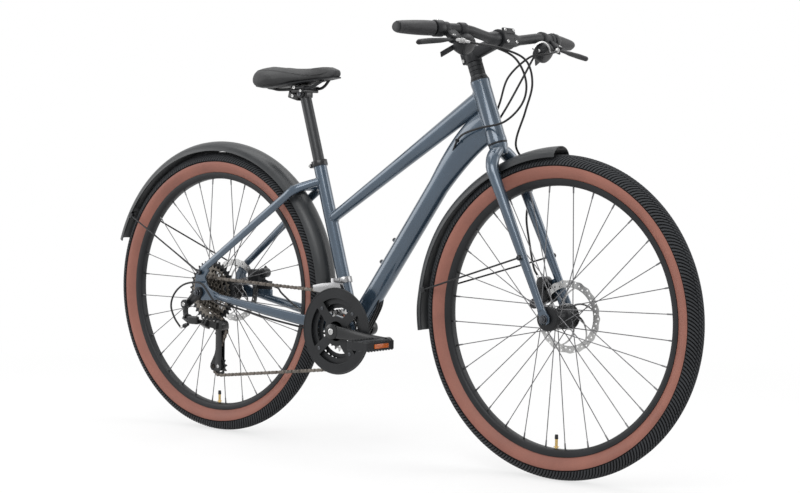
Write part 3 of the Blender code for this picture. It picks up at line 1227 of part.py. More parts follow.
def side_plate(name, circles, offset, thickness, steps=10):
    """Flat plate in a plane of constant y round a set of (point, radius) pairs."""
    outline = hull_outline([((point.x, point.z), radius) for point, radius in circles], steps)
    return plate(name, outline, [], Vector((0.0, offset, 0.0)), -SIDE, (1.0, 0.0, 0.0), thickness)


def build_rear_derailleur():
    hanger = side_plate("hanger", [(REAR_AXLE, 0.0135), (B_BOLT, 0.0095)], HANGER_FACE - HANGER_THICKNESS / 2.0,
                        HANGER_THICKNESS)
    hanger = cut(hanger, cylinder("hole", REAR_AXLE - SIDE * 0.06, REAR_AXLE - SIDE * 0.09, AXLE_RADIUS + TOUCH, 12),
                 cylinder("hole", B_BOLT - SIDE * 0.06, B_BOLT - SIDE * 0.09, 0.0042, 10))
    finish(hanger, "derailleur_hanger", BLACK_METAL, B_BOLT)
    outer = HANGER_FACE - HANGER_THICKNESS - TOUCH
    body = cylinder("knuckle", B_BOLT + SIDE * outer, B_BOLT + SIDE * (outer - 0.0120), 0.0115, 14)
    stub = cylinder("stub", B_BOLT + SIDE * (HANGER_FACE - 0.0005), B_BOLT + SIDE * (outer - 0.002), 0.0038, 10)
    points = [link_points(False)[0], link_points(True)[0]]
    middle = (points[0] + points[1]) / 2.0
    arm_top = B_BOLT + SIDE * (outer - 0.0060)
    arm_low = middle - LINK_DIRECTION * 0.0125
    arm = swept("arm", [arm_top, arm_top.lerp(arm_low, 0.55) - Vector((0.002, 0.0, 0.0)), arm_low],
                [(0.0060, 0.0090), (0.0058, 0.0080), (0.0065, 0.0080)], 8, across=SIDE)
    barrel = cylinder("barrel", BARREL_START, BARREL_END - BARREL_OUT * TOUCH, 0.0045, 8)
    body = joined(body, stub, arm, barrel, *jaws(points, -0.0035))
    finish(body, "derailleur_body", BLACK_METAL, B_BOLT)
    build_link("derailleur_outer_link", False)
    build_link("derailleur_inner_link", True)
    points = [link_points(False)[1], link_points(True)[1]]
    middle = (points[0] + points[1]) / 2.0
    pivot = Vector((CAGE_PIVOT.x, 0.0, CAGE_PIVOT.z))
    barrel = cylinder("barrel", pivot + SIDE * KNUCKLE_INNER, pivot + SIDE * (KNUCKLE_INNER - 0.0240), 0.0130, 14)
    knuckle = joined(barrel, block("arm", middle.lerp(pivot + SIDE * (KNUCKLE_INNER - 0.0170), 0.52) + LINK_DIRECTION
                                   * 0.002, (0.0340, 0.0130, 0.0150), forward=LINK_DIRECTION), *jaws(points, 0.0035))
    knuckle = cut(knuckle, cylinder("bore", pivot + SIDE * (KNUCKLE_INNER + 0.005), pivot + SIDE
                                    * (KNUCKLE_INNER - 0.0180), 0.0054, 12))
    finish(knuckle, "derailleur_knuckle", BLACK_METAL, link_points(False)[1])
    outer_plate = side_plate("outer", [(GUIDE_PULLEY, 0.0100), (TENSION_PULLEY, 0.0100)], CAGE_OUTER - CAGE_PLATE / 2,
                             CAGE_PLATE, 10)
    lobe = side_plate("lobe", [(GUIDE_PULLEY, 0.0098), (pivot, 0.0100)], CAGE_OUTER - CAGE_PLATE / 2,
                      CAGE_PLATE * 0.98, 10)
    inner_plate = side_plate("inner", [(GUIDE_PULLEY, 0.0085), (TENSION_PULLEY, 0.0095)], CAGE_INNER + CAGE_PLATE / 2,
                             CAGE_PLATE, 10)
    axle = cylinder("axle", pivot + SIDE * (CAGE_OUTER - 0.0005), pivot + SIDE * (KNUCKLE_INNER - 0.0160), 0.0050, 12)
    cage = joined(outer_plate, lobe, axle)
    bolts = [cylinder("bolt", Vector((point.x, CAGE_OUTER - 0.001, point.z)),
                      Vector((point.x, CAGE_INNER + 0.001, point.z)), 0.0026, 8)
             for point in (GUIDE_PULLEY, TENSION_PULLEY)]
    cage = joined(cage, *bolts)
    finish(joined(cage, inner_plate), "derailleur_cage", BLACK_METAL, pivot)
    for name, centre, wrap in (("guide_pulley", GUIDE_PULLEY, 5), ("tension_pulley", TENSION_PULLEY, 3)):
        wheel = sprocket("wheel", Vector((centre.x, 0.0, centre.z)), CHAIN_LINE, PULLEY_TEETH,
                         sprocket_phase(wrap, centre), True)
        hub = cylinder("hub", centre - SIDE * 0.0048, centre + SIDE * 0.0048, 0.0065, 8)
        wheel = cut(joined(wheel, hub), cylinder("bore", centre - SIDE * 0.01, centre + SIDE * 0.01, 0.0026 + RUN, 8))
        finish(wheel, name, BLACK_PLASTIC, centre)


# Front derailleur: band on the seat tube and a swinging cage round the chain
FD_HINGE = BB + Vector((-0.0340, -0.0310, 0.0620))
FD_OUTER = RING_OFFSETS[0] - 0.0048
FD_INNER = RING_OFFSETS[0] + 0.0072
FD_PLATE = 0.0012


def build_front_derailleur():
    band_at = BB + SEAT_AXIS * 0.1180
    band = turned("band", [(SEAT_TUBE_RADIUS + TOUCH, -0.0070), (0.0195, -0.0070), (0.0195, 0.0070),
                           (SEAT_TUBE_RADIUS + TOUCH, 0.0070)], band_at, SEAT_AXIS, 12)
    bracket = block("bracket", BB + Vector((-0.0490, -0.0215, 0.0870)), (0.0100, 0.0050, 0.0640))
    lug = block("lug", band_at + Vector((-0.0090, -0.0195, 0.0)), (0.0220, 0.0070, 0.0120))
    yoke = block("yoke", FD_HINGE + Vector((0.0, 0.0035, -0.0090)), (0.0240, 0.0150, 0.0050))
    hinge_ears = [block("ear", FD_HINGE + Vector((sign * 0.0100, 0.0030, -0.0035)), (0.0040, 0.0150, 0.0160))
                  for sign in (-1.0, 1.0)]
    pin = cylinder("pin", FD_HINGE - Vector((0.0115, 0.0, 0.0)), FD_HINGE + Vector((0.0115, 0.0, 0.0)), 0.0022, 8)
    body = joined(band, lug, bracket, yoke, *hinge_ears, pin)
    finish(body, "front_derailleur_body", STEEL, band_at)
    bottom = arc_points(0.0958, math.radians(82.0), math.radians(116.0), 5)
    outline = bottom + [(-0.0740, 0.0900), (-0.0760, 0.1030), (-0.0480, 0.1090), (-0.0200, 0.1120), (0.0060, 0.1110)]
    outer = plate("outer", outline, [], BB + SIDE * FD_OUTER, -SIDE, (1.0, 0.0, 0.0), FD_PLATE)
    inner = plate("inner", outline, [], BB + SIDE * FD_INNER, -SIDE, (1.0, 0.0, 0.0), FD_PLATE)
    middle = (FD_OUTER + FD_INNER) / 2.0
    top = block("top", BB + Vector((-0.0200, middle, 0.1090)), (0.0160, FD_INNER - FD_OUTER, 0.0024))
    tail = block("tail", BB + Vector((-0.0700, middle, 0.1000)), (0.0060, FD_INNER - FD_OUTER, 0.0024))
    arm = block("arm", FD_HINGE + Vector((0.0, -0.0065, 0.0185)), (0.0130, 0.0060, 0.0410))
    web = block("web", FD_HINGE + Vector((0.0, -0.0140, 0.0350)), (0.0130, 0.0120, 0.0080))
    half_barrel = Vector((0.0076, 0.0, 0.0))
    barrel = cylinder("barrel", FD_HINGE - half_barrel, FD_HINGE + half_barrel, 0.0048, 10)
    cage = joined(outer, top, tail, inner, web, arm, barrel)
    cage = cut(cage, cylinder("bore", FD_HINGE - Vector((0.02, 0.0, 0.0)), FD_HINGE + Vector((0.02, 0.0, 0.0)),
                              0.0022 + RUN, 8))
    finish(cage, "front_derailleur_cage", STEEL, FD_HINGE)


# Disc brake calipers with their cable arms
SLOT_HALF = 0.0021
SLOT_RADIUS = ROTOR_RADIUS + 0.0030
CALIPER_FRONT = FRONT_AXLE + FORK_LEG_DIRECTION * 0.0704 + FORK_LEG_BACK * 0.0459
CALIPER_REAR = at_rear(0.0750, 0.0, 0.0390)
FRONT_ARM_FACE = 0.0555
REAR_ARM_FACE = 0.0660


def caliper_stop(end):
    if end == "front":
        start = CALIPER_FRONT + FORK_LEG_DIRECTION * 0.0160 + SIDE * 0.0490
        return start, start + FORK_LEG_DIRECTION * 0.0180
    return at_rear(0.0920, 0.0590, 0.0300), at_rear(0.1250, 0.0590, 0.0180)


def build_calipers():
    body = block("body", CALIPER_FRONT + SIDE * 0.0405, (0.0300, 0.0300, 0.0440), forward=FORK_LEG_BACK, bevel=0.004)
    ear = block("ear", FRONT_AXLE + FORK_LEG_DIRECTION * 0.0704 + FORK_LEG_BACK * 0.0268 + SIDE * 0.0530,
                (0.0130, 0.0080, 0.0500), forward=FORK_LEG_BACK)
    slot = cylinder("slot", FRONT_AXLE + SIDE * (FRONT_ROTOR_OFFSET - SLOT_HALF),
                    FRONT_AXLE + SIDE * (FRONT_ROTOR_OFFSET + SLOT_HALF), SLOT_RADIUS, 28)
    stop = cylinder("stop", *caliper_stop("front"), 0.0046, 8)
    finish(cut(joined(body, ear, stop), slot), "front_brake_caliper", BLACK_METAL, FRONT_AXLE)
    body = block("body", CALIPER_REAR + SIDE * 0.0528, (0.0440, 0.0264, 0.0340), bevel=0.004)
    ear = block("ear", at_rear(0.0850, 0.0640, 0.0175), (0.0600, 0.0080, 0.0204))
    slot = cylinder("slot", REAR_AXLE + SIDE * (REAR_ROTOR_OFFSET - SLOT_HALF),
                    REAR_AXLE + SIDE * (REAR_ROTOR_OFFSET + SLOT_HALF), SLOT_RADIUS, 28)
    stop = cylinder("stop", *caliper_stop("rear"), 0.0046, 8)
    finish(cut(joined(body, ear, stop), slot), "rear_brake_caliper", BLACK_METAL, REAR_AXLE)
    for name, centre, face, reach in (("front_brake_arm", CALIPER_FRONT, FRONT_ARM_FACE,
                                       FORK_LEG_BACK * 0.0250 + FORK_LEG_DIRECTION * 0.0160),
                                      ("rear_brake_arm", CALIPER_REAR, REAR_ARM_FACE, Vector((0.0180, 0.0, 0.0230)))):
        pivot = centre + SIDE * (face + TOUCH)
        hub = cylinder("hub", pivot, pivot + SIDE * 0.0050, 0.0090, 12)
        arm = block("arm", pivot + SIDE * 0.0028 + reach * 0.55, (reach.length * 0.95, 0.0036, 0.0100), forward=reach)
        finish(joined(hub, arm), name, BLACK_METAL, pivot)


# Mudguards and their wire stays
FRONT_GUARD_GAPS = ((90.0, 0.0182), (101.0, 0.0158), (113.0, 0.0140), (123.0, 0.0150), (133.0, 0.0169),
                    (147.0, 0.0213), (161.0, 0.0244), (173.0, 0.0260), (180.0, 0.0287), (188.0, 0.0283))
REAR_GUARD_STEPS = 18
REAR_GUARD_START = math.radians(-2.0)


def guard_shell(name, axle, stations):
    """Curved channel over a tyre; stations are (angle, crown radius)."""
    work = bmesh.new()
    rings = []
    for angle, crown in stations:
        ring = []
        for inset in (0.0, GUARD_WALL):
            row = []
            for degrees in (-90.0, -52.0, 0.0, 52.0, 90.0):
                phi = math.radians(degrees)
                drop = (GUARD_DEPTH - inset) * (1.0 - math.cos(phi)) + inset
                row.append(work.verts.new(wheel_point(axle, crown - drop, angle, (GUARD_HALF_WIDTH - inset)
                                                      * math.sin(phi))))
            ring += row if inset == 0.0 else list(reversed(row))
        rings.append(ring)
    for low, high in zip(rings, rings[1:]):
        for k in range(len(low)):
            work.faces.new((low[k], low[(k + 1) % len(low)], high[(k + 1) % len(low)], high[k]))
    for ring in (rings[0], rings[-1]):
        for k in range(4):
            work.faces.new((ring[k], ring[k + 1], ring[8 - k], ring[9 - k]))
    bmesh.ops.recalc_face_normals(work, faces=work.faces)
    mesh = bpy.data.meshes.new(name)
    work.to_mesh(mesh)
    work.free()
    return linked(name, mesh)


def wire_stay(name, axle, eye, meet_angle, crown):
    """Bent wire from one side's eyelet, under the mudguard's crown and down to the other side's eyelet."""
    side_y = GUARD_HALF_WIDTH + 0.0030
    half = [eye, wheel_point(axle, crown - GUARD_DEPTH - 0.0050, meet_angle, side_y),
            wheel_point(axle, crown - GUARD_DEPTH - 0.0040, meet_angle, side_y * 0.68),
            wheel_point(axle, crown - 0.0130, meet_angle, side_y * 0.48)]
    path = half + [on_side(point, -1.0) for point in reversed(half)]
    wire = tube("wire", path, 0.0020, 0)
    rings = [cylinder("eye", on_side(eye, side) - SIDE * 0.0022, on_side(eye, side) + SIDE * 0.0022, 0.0060, 8)
             for side in (-1.0, 1.0)]
    return finish(joined(wire, *rings), name, BLACK_METAL)


def build_mudguards():
    span = REAR_GUARD_END - REAR_GUARD_START
    stations = [(REAR_GUARD_START + span * k / REAR_GUARD_STEPS, REAR_GUARD_RADIUS)
                for k in range(REAR_GUARD_STEPS + 1)]
    rear = guard_shell("rear_mudguard", REAR_AXLE, stations)
    out = (BRIDGE - REAR_AXLE).normalized()
    pad = cylinder("pad", REAR_AXLE + out * (REAR_GUARD_RADIUS - 0.0020), BRIDGE - out * (0.0065 + TOUCH), 0.0050, 8)
    finish(joined(rear, pad), "rear_mudguard", GUARD_PLASTIC)
    front = guard_shell("front_mudguard", FRONT_AXLE, [(math.radians(degrees), TYRE_RADIUS + gap)
                                                       for degrees, gap in FRONT_GUARD_GAPS])
    finish(front, "front_mudguard", GUARD_PLASTIC)
    wire_stay("rear_mudguard_stay", REAR_AXLE, REAR_AXLE + Vector((0.0040, 0.0786, 0.0500)), math.radians(148.4),
              REAR_GUARD_RADIUS)
    wire_stay("front_mudguard_stay", FRONT_AXLE, FRONT_STAY_EYE, math.radians(173.0),
              TYRE_RADIUS + 0.0260)


# Seat: post, collar, rails and cushion
RAIL_HALF_GAP = 0.0220
RAIL_RADIUS = 0.0035
SADDLE_NOSE = 0.1077
SADDLE_LENGTH = 0.2360
SADDLE_STATIONS = tuple((SADDLE_NOSE - SADDLE_LENGTH * part, top, low, half) for part, top, low, half in (
    (1.000, 0.0561, 0.0431, 0.0300), (0.982, 0.0611, 0.0341, 0.0520), (0.924, 0.0656, 0.0271, 0.0720),
    (0.815, 0.0681, 0.0236, 0.0825), (0.670, 0.0681, 0.0262, 0.0800), (0.525, 0.0661, 0.0318, 0.0600),
    (0.380, 0.0641, 0.0371, 0.0380), (0.235, 0.0626, 0.0411, 0.0260), (0.109, 0.0611, 0.0441, 0.0210),
    (0.036, 0.0581, 0.0461, 0.0165), (0.000, 0.0541, 0.0476, 0.0090)))
CUSHION_HALF = ((0.0, 0.10), (0.50, 0.05), (0.88, 0.0), (1.0, 0.24), (0.965, 0.55), (0.78, 0.84), (0.42, 0.98),
                (0.0, 0.95))


def rail_path(side):
    points = [(-0.0943, 0.0300, 0.0219), (-0.0803, 0.0285, 0.0199), (-0.0603, RAIL_HALF_GAP, 0.0166),
              (0.0177, RAIL_HALF_GAP, 0.0186), (0.0427, 0.0185, 0.0241), (0.0657, 0.0100, 0.0381)]
    return [at_post(x, y * side, z) for x, y, z in points]


def build_seat():
    post = cylinder("post", SEAT_TOP - SEAT_AXIS * SEATPOST_INSERTED, POST_TOP, SEATPOST_RADIUS, 12)
    head_at = at_post(-0.0023, 0.0, 0.0171)
    head = block("head", head_at, (0.0440, 0.0580, 0.0160), bevel=0.003)
    yoke = block("yoke", head_at - Vector((-0.001, 0.0, 0.0115)), (0.0300, 0.0260, 0.0180), bevel=0.003)
    bores = [tube("rail", rail_path(side), RAIL_RADIUS + 0.0008, 1) for side in (-1.0, 1.0)]
    finish(cut(joined(post, yoke, head), *bores), "seatpost", BLACK_METAL, SEAT_TOP)
    collar = turned("collar", [(SEAT_TUBE_RADIUS + TOUCH, -0.0140), (0.0196, -0.0140), (0.0196, -0.0005),
                               (SEAT_TUBE_RADIUS + TOUCH, -0.0005)], SEAT_TOP, SEAT_AXIS, 12)
    bolt_at = SEAT_TOP - SEAT_AXIS * 0.0072 + Vector((-0.0215, 0.0, -0.0060))
    lug = block("lug", bolt_at, (0.0100, 0.0160, 0.0110), bevel=0.0015)
    bolt = cylinder("bolt", bolt_at - SIDE * 0.0110 - Vector((0.0015, 0.0, 0.0)), bolt_at + SIDE * 0.0110
                    - Vector((0.0015, 0.0, 0.0)), 0.0028, 6)
    finish(joined(collar, lug, bolt), "seat_collar", BLACK_METAL, SEAT_TOP)
    slab = [(x, low - TOUCH * 2, half * 0.82) for x, _, low, half in SADDLE_STATIONS[1:-1]]
    rings = [[at_post(x, -half, top), at_post(x, half, top), at_post(x, half * 0.96, top - 0.0035),
              at_post(x, -half * 0.96, top - 0.0035)] for x, top, half in slab]
    base = ring_loft("base", rings)
    rails = [tube("rail", rail_path(side), RAIL_RADIUS, 1) for side in (-1.0, 1.0)]
    finish(joined(base, *rails), "saddle_rails", BLACK_METAL, POST_TOP)
    rings = []
    for x, top, low, half in SADDLE_STATIONS:
        left = [at_post(x, half * u, low + (top - low) * v) for u, v in CUSHION_HALF]
        right = [at_post(x, -half * u, low + (top - low) * v) for u, v in reversed(CUSHION_HALF[1:-1])]
        rings.append(left + right)
    finish(ring_loft("saddle", rings), "saddle", SADDLE_COVER, POST_TOP)


# Cables: each housing is one cord along its whole route
def control_stub(side):
    start, end = lever_barrel(side)
    heading = (end - start).normalized()
    return end + heading * TOUCH * 2.0, heading


def shift_stub(side):
    heading = -on_side(BAR_DIRECTION, side)
    start = pod_centre(side) + heading * 0.0248 + POD_UP * 0.002
    return start, start + heading * 0.0120


def down_tube_point(part, side_shift, lift):
    """A point near the down tube's axis, part of the way from the bottom bracket to the head tube."""
    return BB + DOWN_DIRECTION * (DOWN_REACH * part) + SIDE * side_shift + DOWN_NORMAL * lift


def inside_run(side_shift):
    return [down_tube_point(0.7082, side_shift, -0.002), down_tube_point(0.4829, side_shift, 0.0),
            down_tube_point(0.2897, side_shift, -0.004), down_tube_point(0.1899, side_shift, -0.0170),
            down_tube_point(0.1320, side_shift, -0.0290)]


RIGHT_PORT = at_head(-0.0910, -0.0270, 0.0047)
LEFT_PORT = at_head(-0.0880, 0.0270, 0.0065)
LOWER_LEFT_PORT = at_head(-0.1080, 0.0275, -0.0215)
CABLE_GATES = {"rear_shift_cable": (RIGHT_PORT, down_tube_point(0.1674, -0.0080, -0.0215)),
               "rear_brake_cable": (LEFT_PORT, down_tube_point(0.1674, 0.0080, -0.0215)),
               "front_shift_cable": (LOWER_LEFT_PORT, down_tube_point(0.1674, 0.0, -0.0215))}
CABLE_COUNTS = {"front_brake_cable": 22, "rear_brake_cable": 34, "rear_shift_cable": 40, "front_shift_cable": 32}


def cable_route(name):
    if name == "front_brake_cable":
        start, heading = control_stub(-1.0)
        stop_start, stop_end = caliper_stop("front")
        out = (stop_end - stop_start).normalized()
        return [start, start + heading * 0.012, start + heading * 0.026, at_head(0.0660, -0.0840, 0.2005),
                at_head(0.0960, -0.0360, 0.1775), at_head(0.1050, -0.0220, 0.1275),
                at_head(0.0850, -0.0180, 0.0675), at_head(0.0530, -0.0060, -0.0025),
                at_head(0.0530, 0.0380, -0.0475), at_head(0.0500, 0.0665, -0.0845),
                at_front(-0.1290, 0.0665, 0.2460), at_front(-0.1300, 0.0610, 0.2060),
                at_front(-0.1170, 0.0550, 0.1560), stop_end + out * 0.030 + Vector((-0.003, 0.0010, 0.0)),
                stop_end + out * 0.010, stop_end + out * TOUCH * 2.0]
    if name == "rear_shift_cable":
        return [*shift_stub(-1.0), at_head(0.0430, -0.0950, 0.2065), at_head(0.0830, -0.0600, 0.1825),
                at_head(0.0940, -0.0310, 0.1355), at_head(0.0860, -0.0290, 0.0875),
                at_head(0.0430, -0.0340, 0.0465), at_head(-0.0220, -0.0370, 0.0325),
                at_head(-0.0670, -0.0330, 0.0205), RIGHT_PORT, at_head(-0.1170, -0.0140, -0.0295),
                *inside_run(-0.0080), BB + Vector((0.0210, -0.0090, -0.0270)), BB + Vector((-0.0080, -0.0150, -0.0300)),
                BB + Vector((-0.0600, -0.0320, -0.0130)), BB + Vector((-0.1200, -0.0450, -0.0020)),
                BB + Vector((-0.2200, -0.0580, 0.0140)), BB + Vector((-0.3300, -0.0650, 0.0340)),
                at_rear(0.0900, -0.0750, -0.0280), at_rear(0.0580, -0.0815, -0.0160), at_rear(0.0250, -0.0870, 0.0210),
                at_rear(-0.0100, -0.0860, 0.0250), at_rear(-0.0500, -0.0850, 0.0150),
                at_rear(-0.0800, -0.0840, -0.0090), at_rear(-0.0910, -0.0835, -0.0390),
                at_rear(-0.0780, -0.0830, -0.0690), BARREL_END + BARREL_OUT * 0.0110, BARREL_END + BARREL_OUT * TOUCH]
    if name == "rear_brake_cable":
        start, heading = control_stub(1.0)
        stop_start, stop_end = caliper_stop("rear")
        out = (stop_end - stop_start).normalized()
        return [start, start + heading * 0.012, start + heading * 0.028, at_head(0.0450, 0.1180, 0.1995),
                at_head(0.0180, 0.0920, 0.1925), at_head(-0.0150, 0.0580, 0.1475),
                at_head(-0.0240, 0.0380, 0.0875), at_head(-0.0470, 0.0360, 0.0375), LEFT_PORT,
                down_tube_point(0.8128, 0.0135, 0.0060), *inside_run(0.0080), BB + Vector((0.0210, 0.0090, -0.0270)),
                BB + Vector((-0.0080, 0.0150, -0.0300)), BB + Vector((-0.0600, 0.0300, -0.0120)),
                BB + Vector((-0.1080, 0.0325, -0.0030)), BB + Vector((-0.1520, 0.0355, 0.0150)),
                BB + Vector((-0.2080, 0.0405, 0.0290)), at_rear(0.1700, 0.0470, -0.0010),
                stop_end + out * 0.022, stop_end + out * 0.010, stop_end + out * TOUCH * 2.0]
    return [*shift_stub(1.0), at_head(0.0200, 0.1000, 0.1875), at_head(0.0180, 0.0700, 0.1495),
            at_head(-0.0060, 0.0330, 0.0725), at_head(-0.0570, 0.0345, 0.0125), LOWER_LEFT_PORT,
            down_tube_point(0.7806, 0.0140, -0.0070), down_tube_point(0.6921, 0.0040, -0.0120),
            *inside_run(0.0)[1:], BB + Vector((0.0210, 0.0, -0.0270)),
            BB + Vector((-0.0060, -0.0020, -0.0300)), BB + Vector((-0.0330, -0.0060, -0.0120)),
            BB + Vector((-0.0430, -0.0100, 0.0180)), BB + Vector((-0.0440, -0.0260, 0.0330)),
            FD_HINGE + Vector((0.0, -0.0075, -0.0140)), FD_HINGE + Vector((0.0, -0.0075, -0.0024))]


def cable_path(name):
    """Straight stubs at both ends, where the housing enters its stops, and one smooth bend between them."""
    route = cable_route(name)
    return [route[0], *smooth_path(route[1:-1], CABLE_COUNTS[name]), route[-1]]


def build_cables():
    for name in CABLE_COUNTS:
        finish(tube(name, cable_path(name), CABLE_RADIUS, 0), name, CABLE_JACKET)


build_frame()
build_headset()
build_fork()
build_stem()
build_bar()
build_grips()
build_control(-1.0, "right")
build_control(1.0, "left")
build_wheels()
build_drivetrain()
build_rear_derailleur()
build_front_derailleur()
build_calipers()
build_mudguards()
build_seat()
build_cables()
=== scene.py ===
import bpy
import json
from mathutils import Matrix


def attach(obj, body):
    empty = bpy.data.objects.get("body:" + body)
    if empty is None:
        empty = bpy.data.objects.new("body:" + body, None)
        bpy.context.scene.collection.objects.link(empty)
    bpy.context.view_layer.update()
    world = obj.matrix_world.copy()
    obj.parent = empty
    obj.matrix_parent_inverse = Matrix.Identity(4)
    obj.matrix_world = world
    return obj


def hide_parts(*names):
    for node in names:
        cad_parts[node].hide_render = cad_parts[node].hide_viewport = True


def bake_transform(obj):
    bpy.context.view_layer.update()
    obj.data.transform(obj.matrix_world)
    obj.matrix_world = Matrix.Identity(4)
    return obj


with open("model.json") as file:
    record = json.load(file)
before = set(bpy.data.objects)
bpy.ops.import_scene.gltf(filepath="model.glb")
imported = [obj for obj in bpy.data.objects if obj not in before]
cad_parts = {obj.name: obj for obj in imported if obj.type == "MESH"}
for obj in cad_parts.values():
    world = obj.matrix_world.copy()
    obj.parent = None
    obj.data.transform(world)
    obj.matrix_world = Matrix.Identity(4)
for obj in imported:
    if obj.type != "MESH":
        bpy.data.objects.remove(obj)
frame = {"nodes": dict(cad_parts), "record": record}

"""Looks of the commuter bike, in metres: +X forward, +Y to the rider's left, +Z up, drive side towards -Y."""

import json
import math
from itertools import accumulate

import bmesh
import bpy
from mathutils import Matrix, Vector
from mathutils.bvhtree import BVHTree

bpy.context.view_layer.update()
NODES = frame["nodes"]
BODY_OF = {node: body for body, nodes in frame["record"]["behaviour"]["bodies"].items() for node in nodes}


def vec(x, y, z):
    return Vector((x, y, z))


# Sizes repeated from the part's source
BEAD_SEAT_RADIUS = 0.292
TYRE_HEIGHT = 0.058
TYRE_RADIUS = BEAD_SEAT_RADIUS + TYRE_HEIGHT
RIM_WIDTH = 0.026
RIM_BED_RADIUS = 0.283
WHEELBASE = 1.02
HEAD_ANGLE = math.radians(69.7)
SEAT_ANGLE = math.radians(73.5)
HEAD_TUBE_LENGTH = 0.145
HEAD_TUBE_RADIUS = 0.0215
SEAT_TUBE_LENGTH = 0.413
SEAT_TUBE_RADIUS = 0.0159
SEATPOST_RADIUS = 0.0136
SEATPOST_RISE = 0.16
BB_SHELL_RADIUS = 0.021
BB_SHELL_WIDTH = 0.068
DOWN_TUBE_RADIUS = 0.024
FORK_LENGTH = 0.404
FORK_RAKE = 0.028
HEADSET_STACK = 0.0046
SPACER_STACK = 0.04
STEM_CLAMP_HEIGHT = 0.04
STEM_REACH = 0.088
STEM_RISE_ANGLE = math.radians(19.5)
BAR_WIDTH = 0.64
BAR_RADIUS = 0.0111
BAR_CLAMP_RADIUS = 0.0159
BAR_RISE = 0.012
BAR_BACKSWEEP = 0.04
LEVER_OFFSET = 0.198
POD_OFFSET = 0.148
REAR_GUARD_RADIUS = TYRE_RADIUS + 0.0265
REAR_GUARD_END = math.radians(161)
GUARD_HALF_WIDTH = 0.031
GUARD_DEPTH = 0.024
GUARD_WALL = 0.0018
CRANK_LENGTH = 0.17
CRANK_ANGLE = math.radians(-4.5)
RING_TEETH = (44, 34, 24)
RING_OFFSETS = (-0.0585, -0.0505, -0.0425)
CHAINGUARD_RADIUS = 0.1015
CHAINGUARD_OFFSET = -0.066
COG_TEETH = (38, 32, 26, 21, 18, 16, 14, 12)
COG_OFFSETS = [-0.0285 - 0.0048 * k for k in range(8)]
CHAIN_LINE = COG_OFFSETS[4]
CHAIN_PITCH = 0.0127
CHAIN_LINKS = 116
PULLEY_TEETH = 11
ROTOR_RADIUS = 0.08
ROTOR_THICKNESS = 0.0018
ROTOR_OFFSETS = {"front": 0.0385, "rear": 0.052}
REAR_OLD = 0.135
FRONT_OLD = 0.1
DROPOUT_THICKNESS = 0.0065
FORK_TIP_THICKNESS = 0.007
CABLE_RADIUS = 0.0024

SIDE = vec(0, 1, 0)
UP = vec(0, 0, 1)
AHEAD = vec(1, 0, 0)
FRONT_X = (WHEELBASE - REAR_GUARD_RADIUS * math.cos(REAR_GUARD_END) + 0.005 - TYRE_RADIUS) / 2
FRONT_AXLE = vec(FRONT_X, 0, TYRE_RADIUS)
REAR_AXLE = FRONT_AXLE - AHEAD * WHEELBASE
AXLES = {"front": FRONT_AXLE, "rear": REAR_AXLE}
BB = REAR_AXLE + vec(TYRE_RADIUS + 0.095, 0, -0.0655)
HEAD_AXIS = vec(-math.cos(HEAD_ANGLE), 0, math.sin(HEAD_ANGLE))
HEAD_FORWARD = vec(math.sin(HEAD_ANGLE), 0, math.cos(HEAD_ANGLE))
CROWN_SEAT = FRONT_AXLE - HEAD_FORWARD * FORK_RAKE + HEAD_AXIS * FORK_LENGTH
HEAD_LOW = CROWN_SEAT + HEAD_AXIS * HEADSET_STACK
HEAD_TOP = HEAD_LOW + HEAD_AXIS * HEAD_TUBE_LENGTH
SEAT_AXIS = vec(-math.cos(SEAT_ANGLE), 0, math.sin(SEAT_ANGLE))
SEAT_TOP = BB + SEAT_AXIS * SEAT_TUBE_LENGTH
POST_TOP = SEAT_TOP + SEAT_AXIS * SEATPOST_RISE
DOWN_TUBE_TOP = HEAD_LOW + HEAD_AXIS * 0.047
DOWN_REACH = (DOWN_TUBE_TOP - BB).length
DOWN_ANGLE = math.atan2(DOWN_TUBE_TOP.z - BB.z, DOWN_TUBE_TOP.x - BB.x) + math.radians(3.264)
DOWN_DIRECTION = vec(math.cos(DOWN_ANGLE), 0, math.sin(DOWN_ANGLE))
DOWN_NORMAL = vec(-math.sin(DOWN_ANGLE), 0, math.cos(DOWN_ANGLE))
BRIDGE_ANGLE = math.radians(43.418)
BRIDGE = REAR_AXLE + vec(math.cos(BRIDGE_ANGLE), 0, math.sin(BRIDGE_ANGLE)) * (REAR_GUARD_RADIUS + 0.0076)
STEM_MIDDLE = HEAD_TOP + HEAD_AXIS * (HEADSET_STACK + SPACER_STACK + 0.0003 + STEM_CLAMP_HEIGHT / 2)
STEM_DIRECTION = vec(math.cos(STEM_RISE_ANGLE), 0, math.sin(STEM_RISE_ANGLE))
BAR_CENTRE = STEM_MIDDLE + STEM_DIRECTION * STEM_REACH
BAR_SHOULDER = BAR_CENTRE + vec(0.004, 0.13, BAR_RISE)
BAR_TIP = BAR_CENTRE + vec(0.004 - BAR_BACKSWEEP, BAR_WIDTH / 2, BAR_RISE - 0.004)
BAR_DIRECTION = (BAR_TIP - BAR_SHOULDER).normalized()
PULL = vec(math.cos(math.radians(25)), 0, -math.sin(math.radians(25)))
POD_AXIS = vec(math.cos(math.radians(30.5)), 0, -math.sin(math.radians(30.5)))
POD_UP = vec(math.sin(math.radians(30.5)), 0, math.cos(math.radians(30.5)))


# Camera at the photograph's viewing angle
CAMERA_AT = vec(2.546, -3.0567, 0.6753)
CAMERA_YAW = math.radians(38.946)
CAMERA_PITCH = math.radians(-2.767)
CAMERA_ROLL = math.radians(0.726)
CAMERA_LENS = 76.86


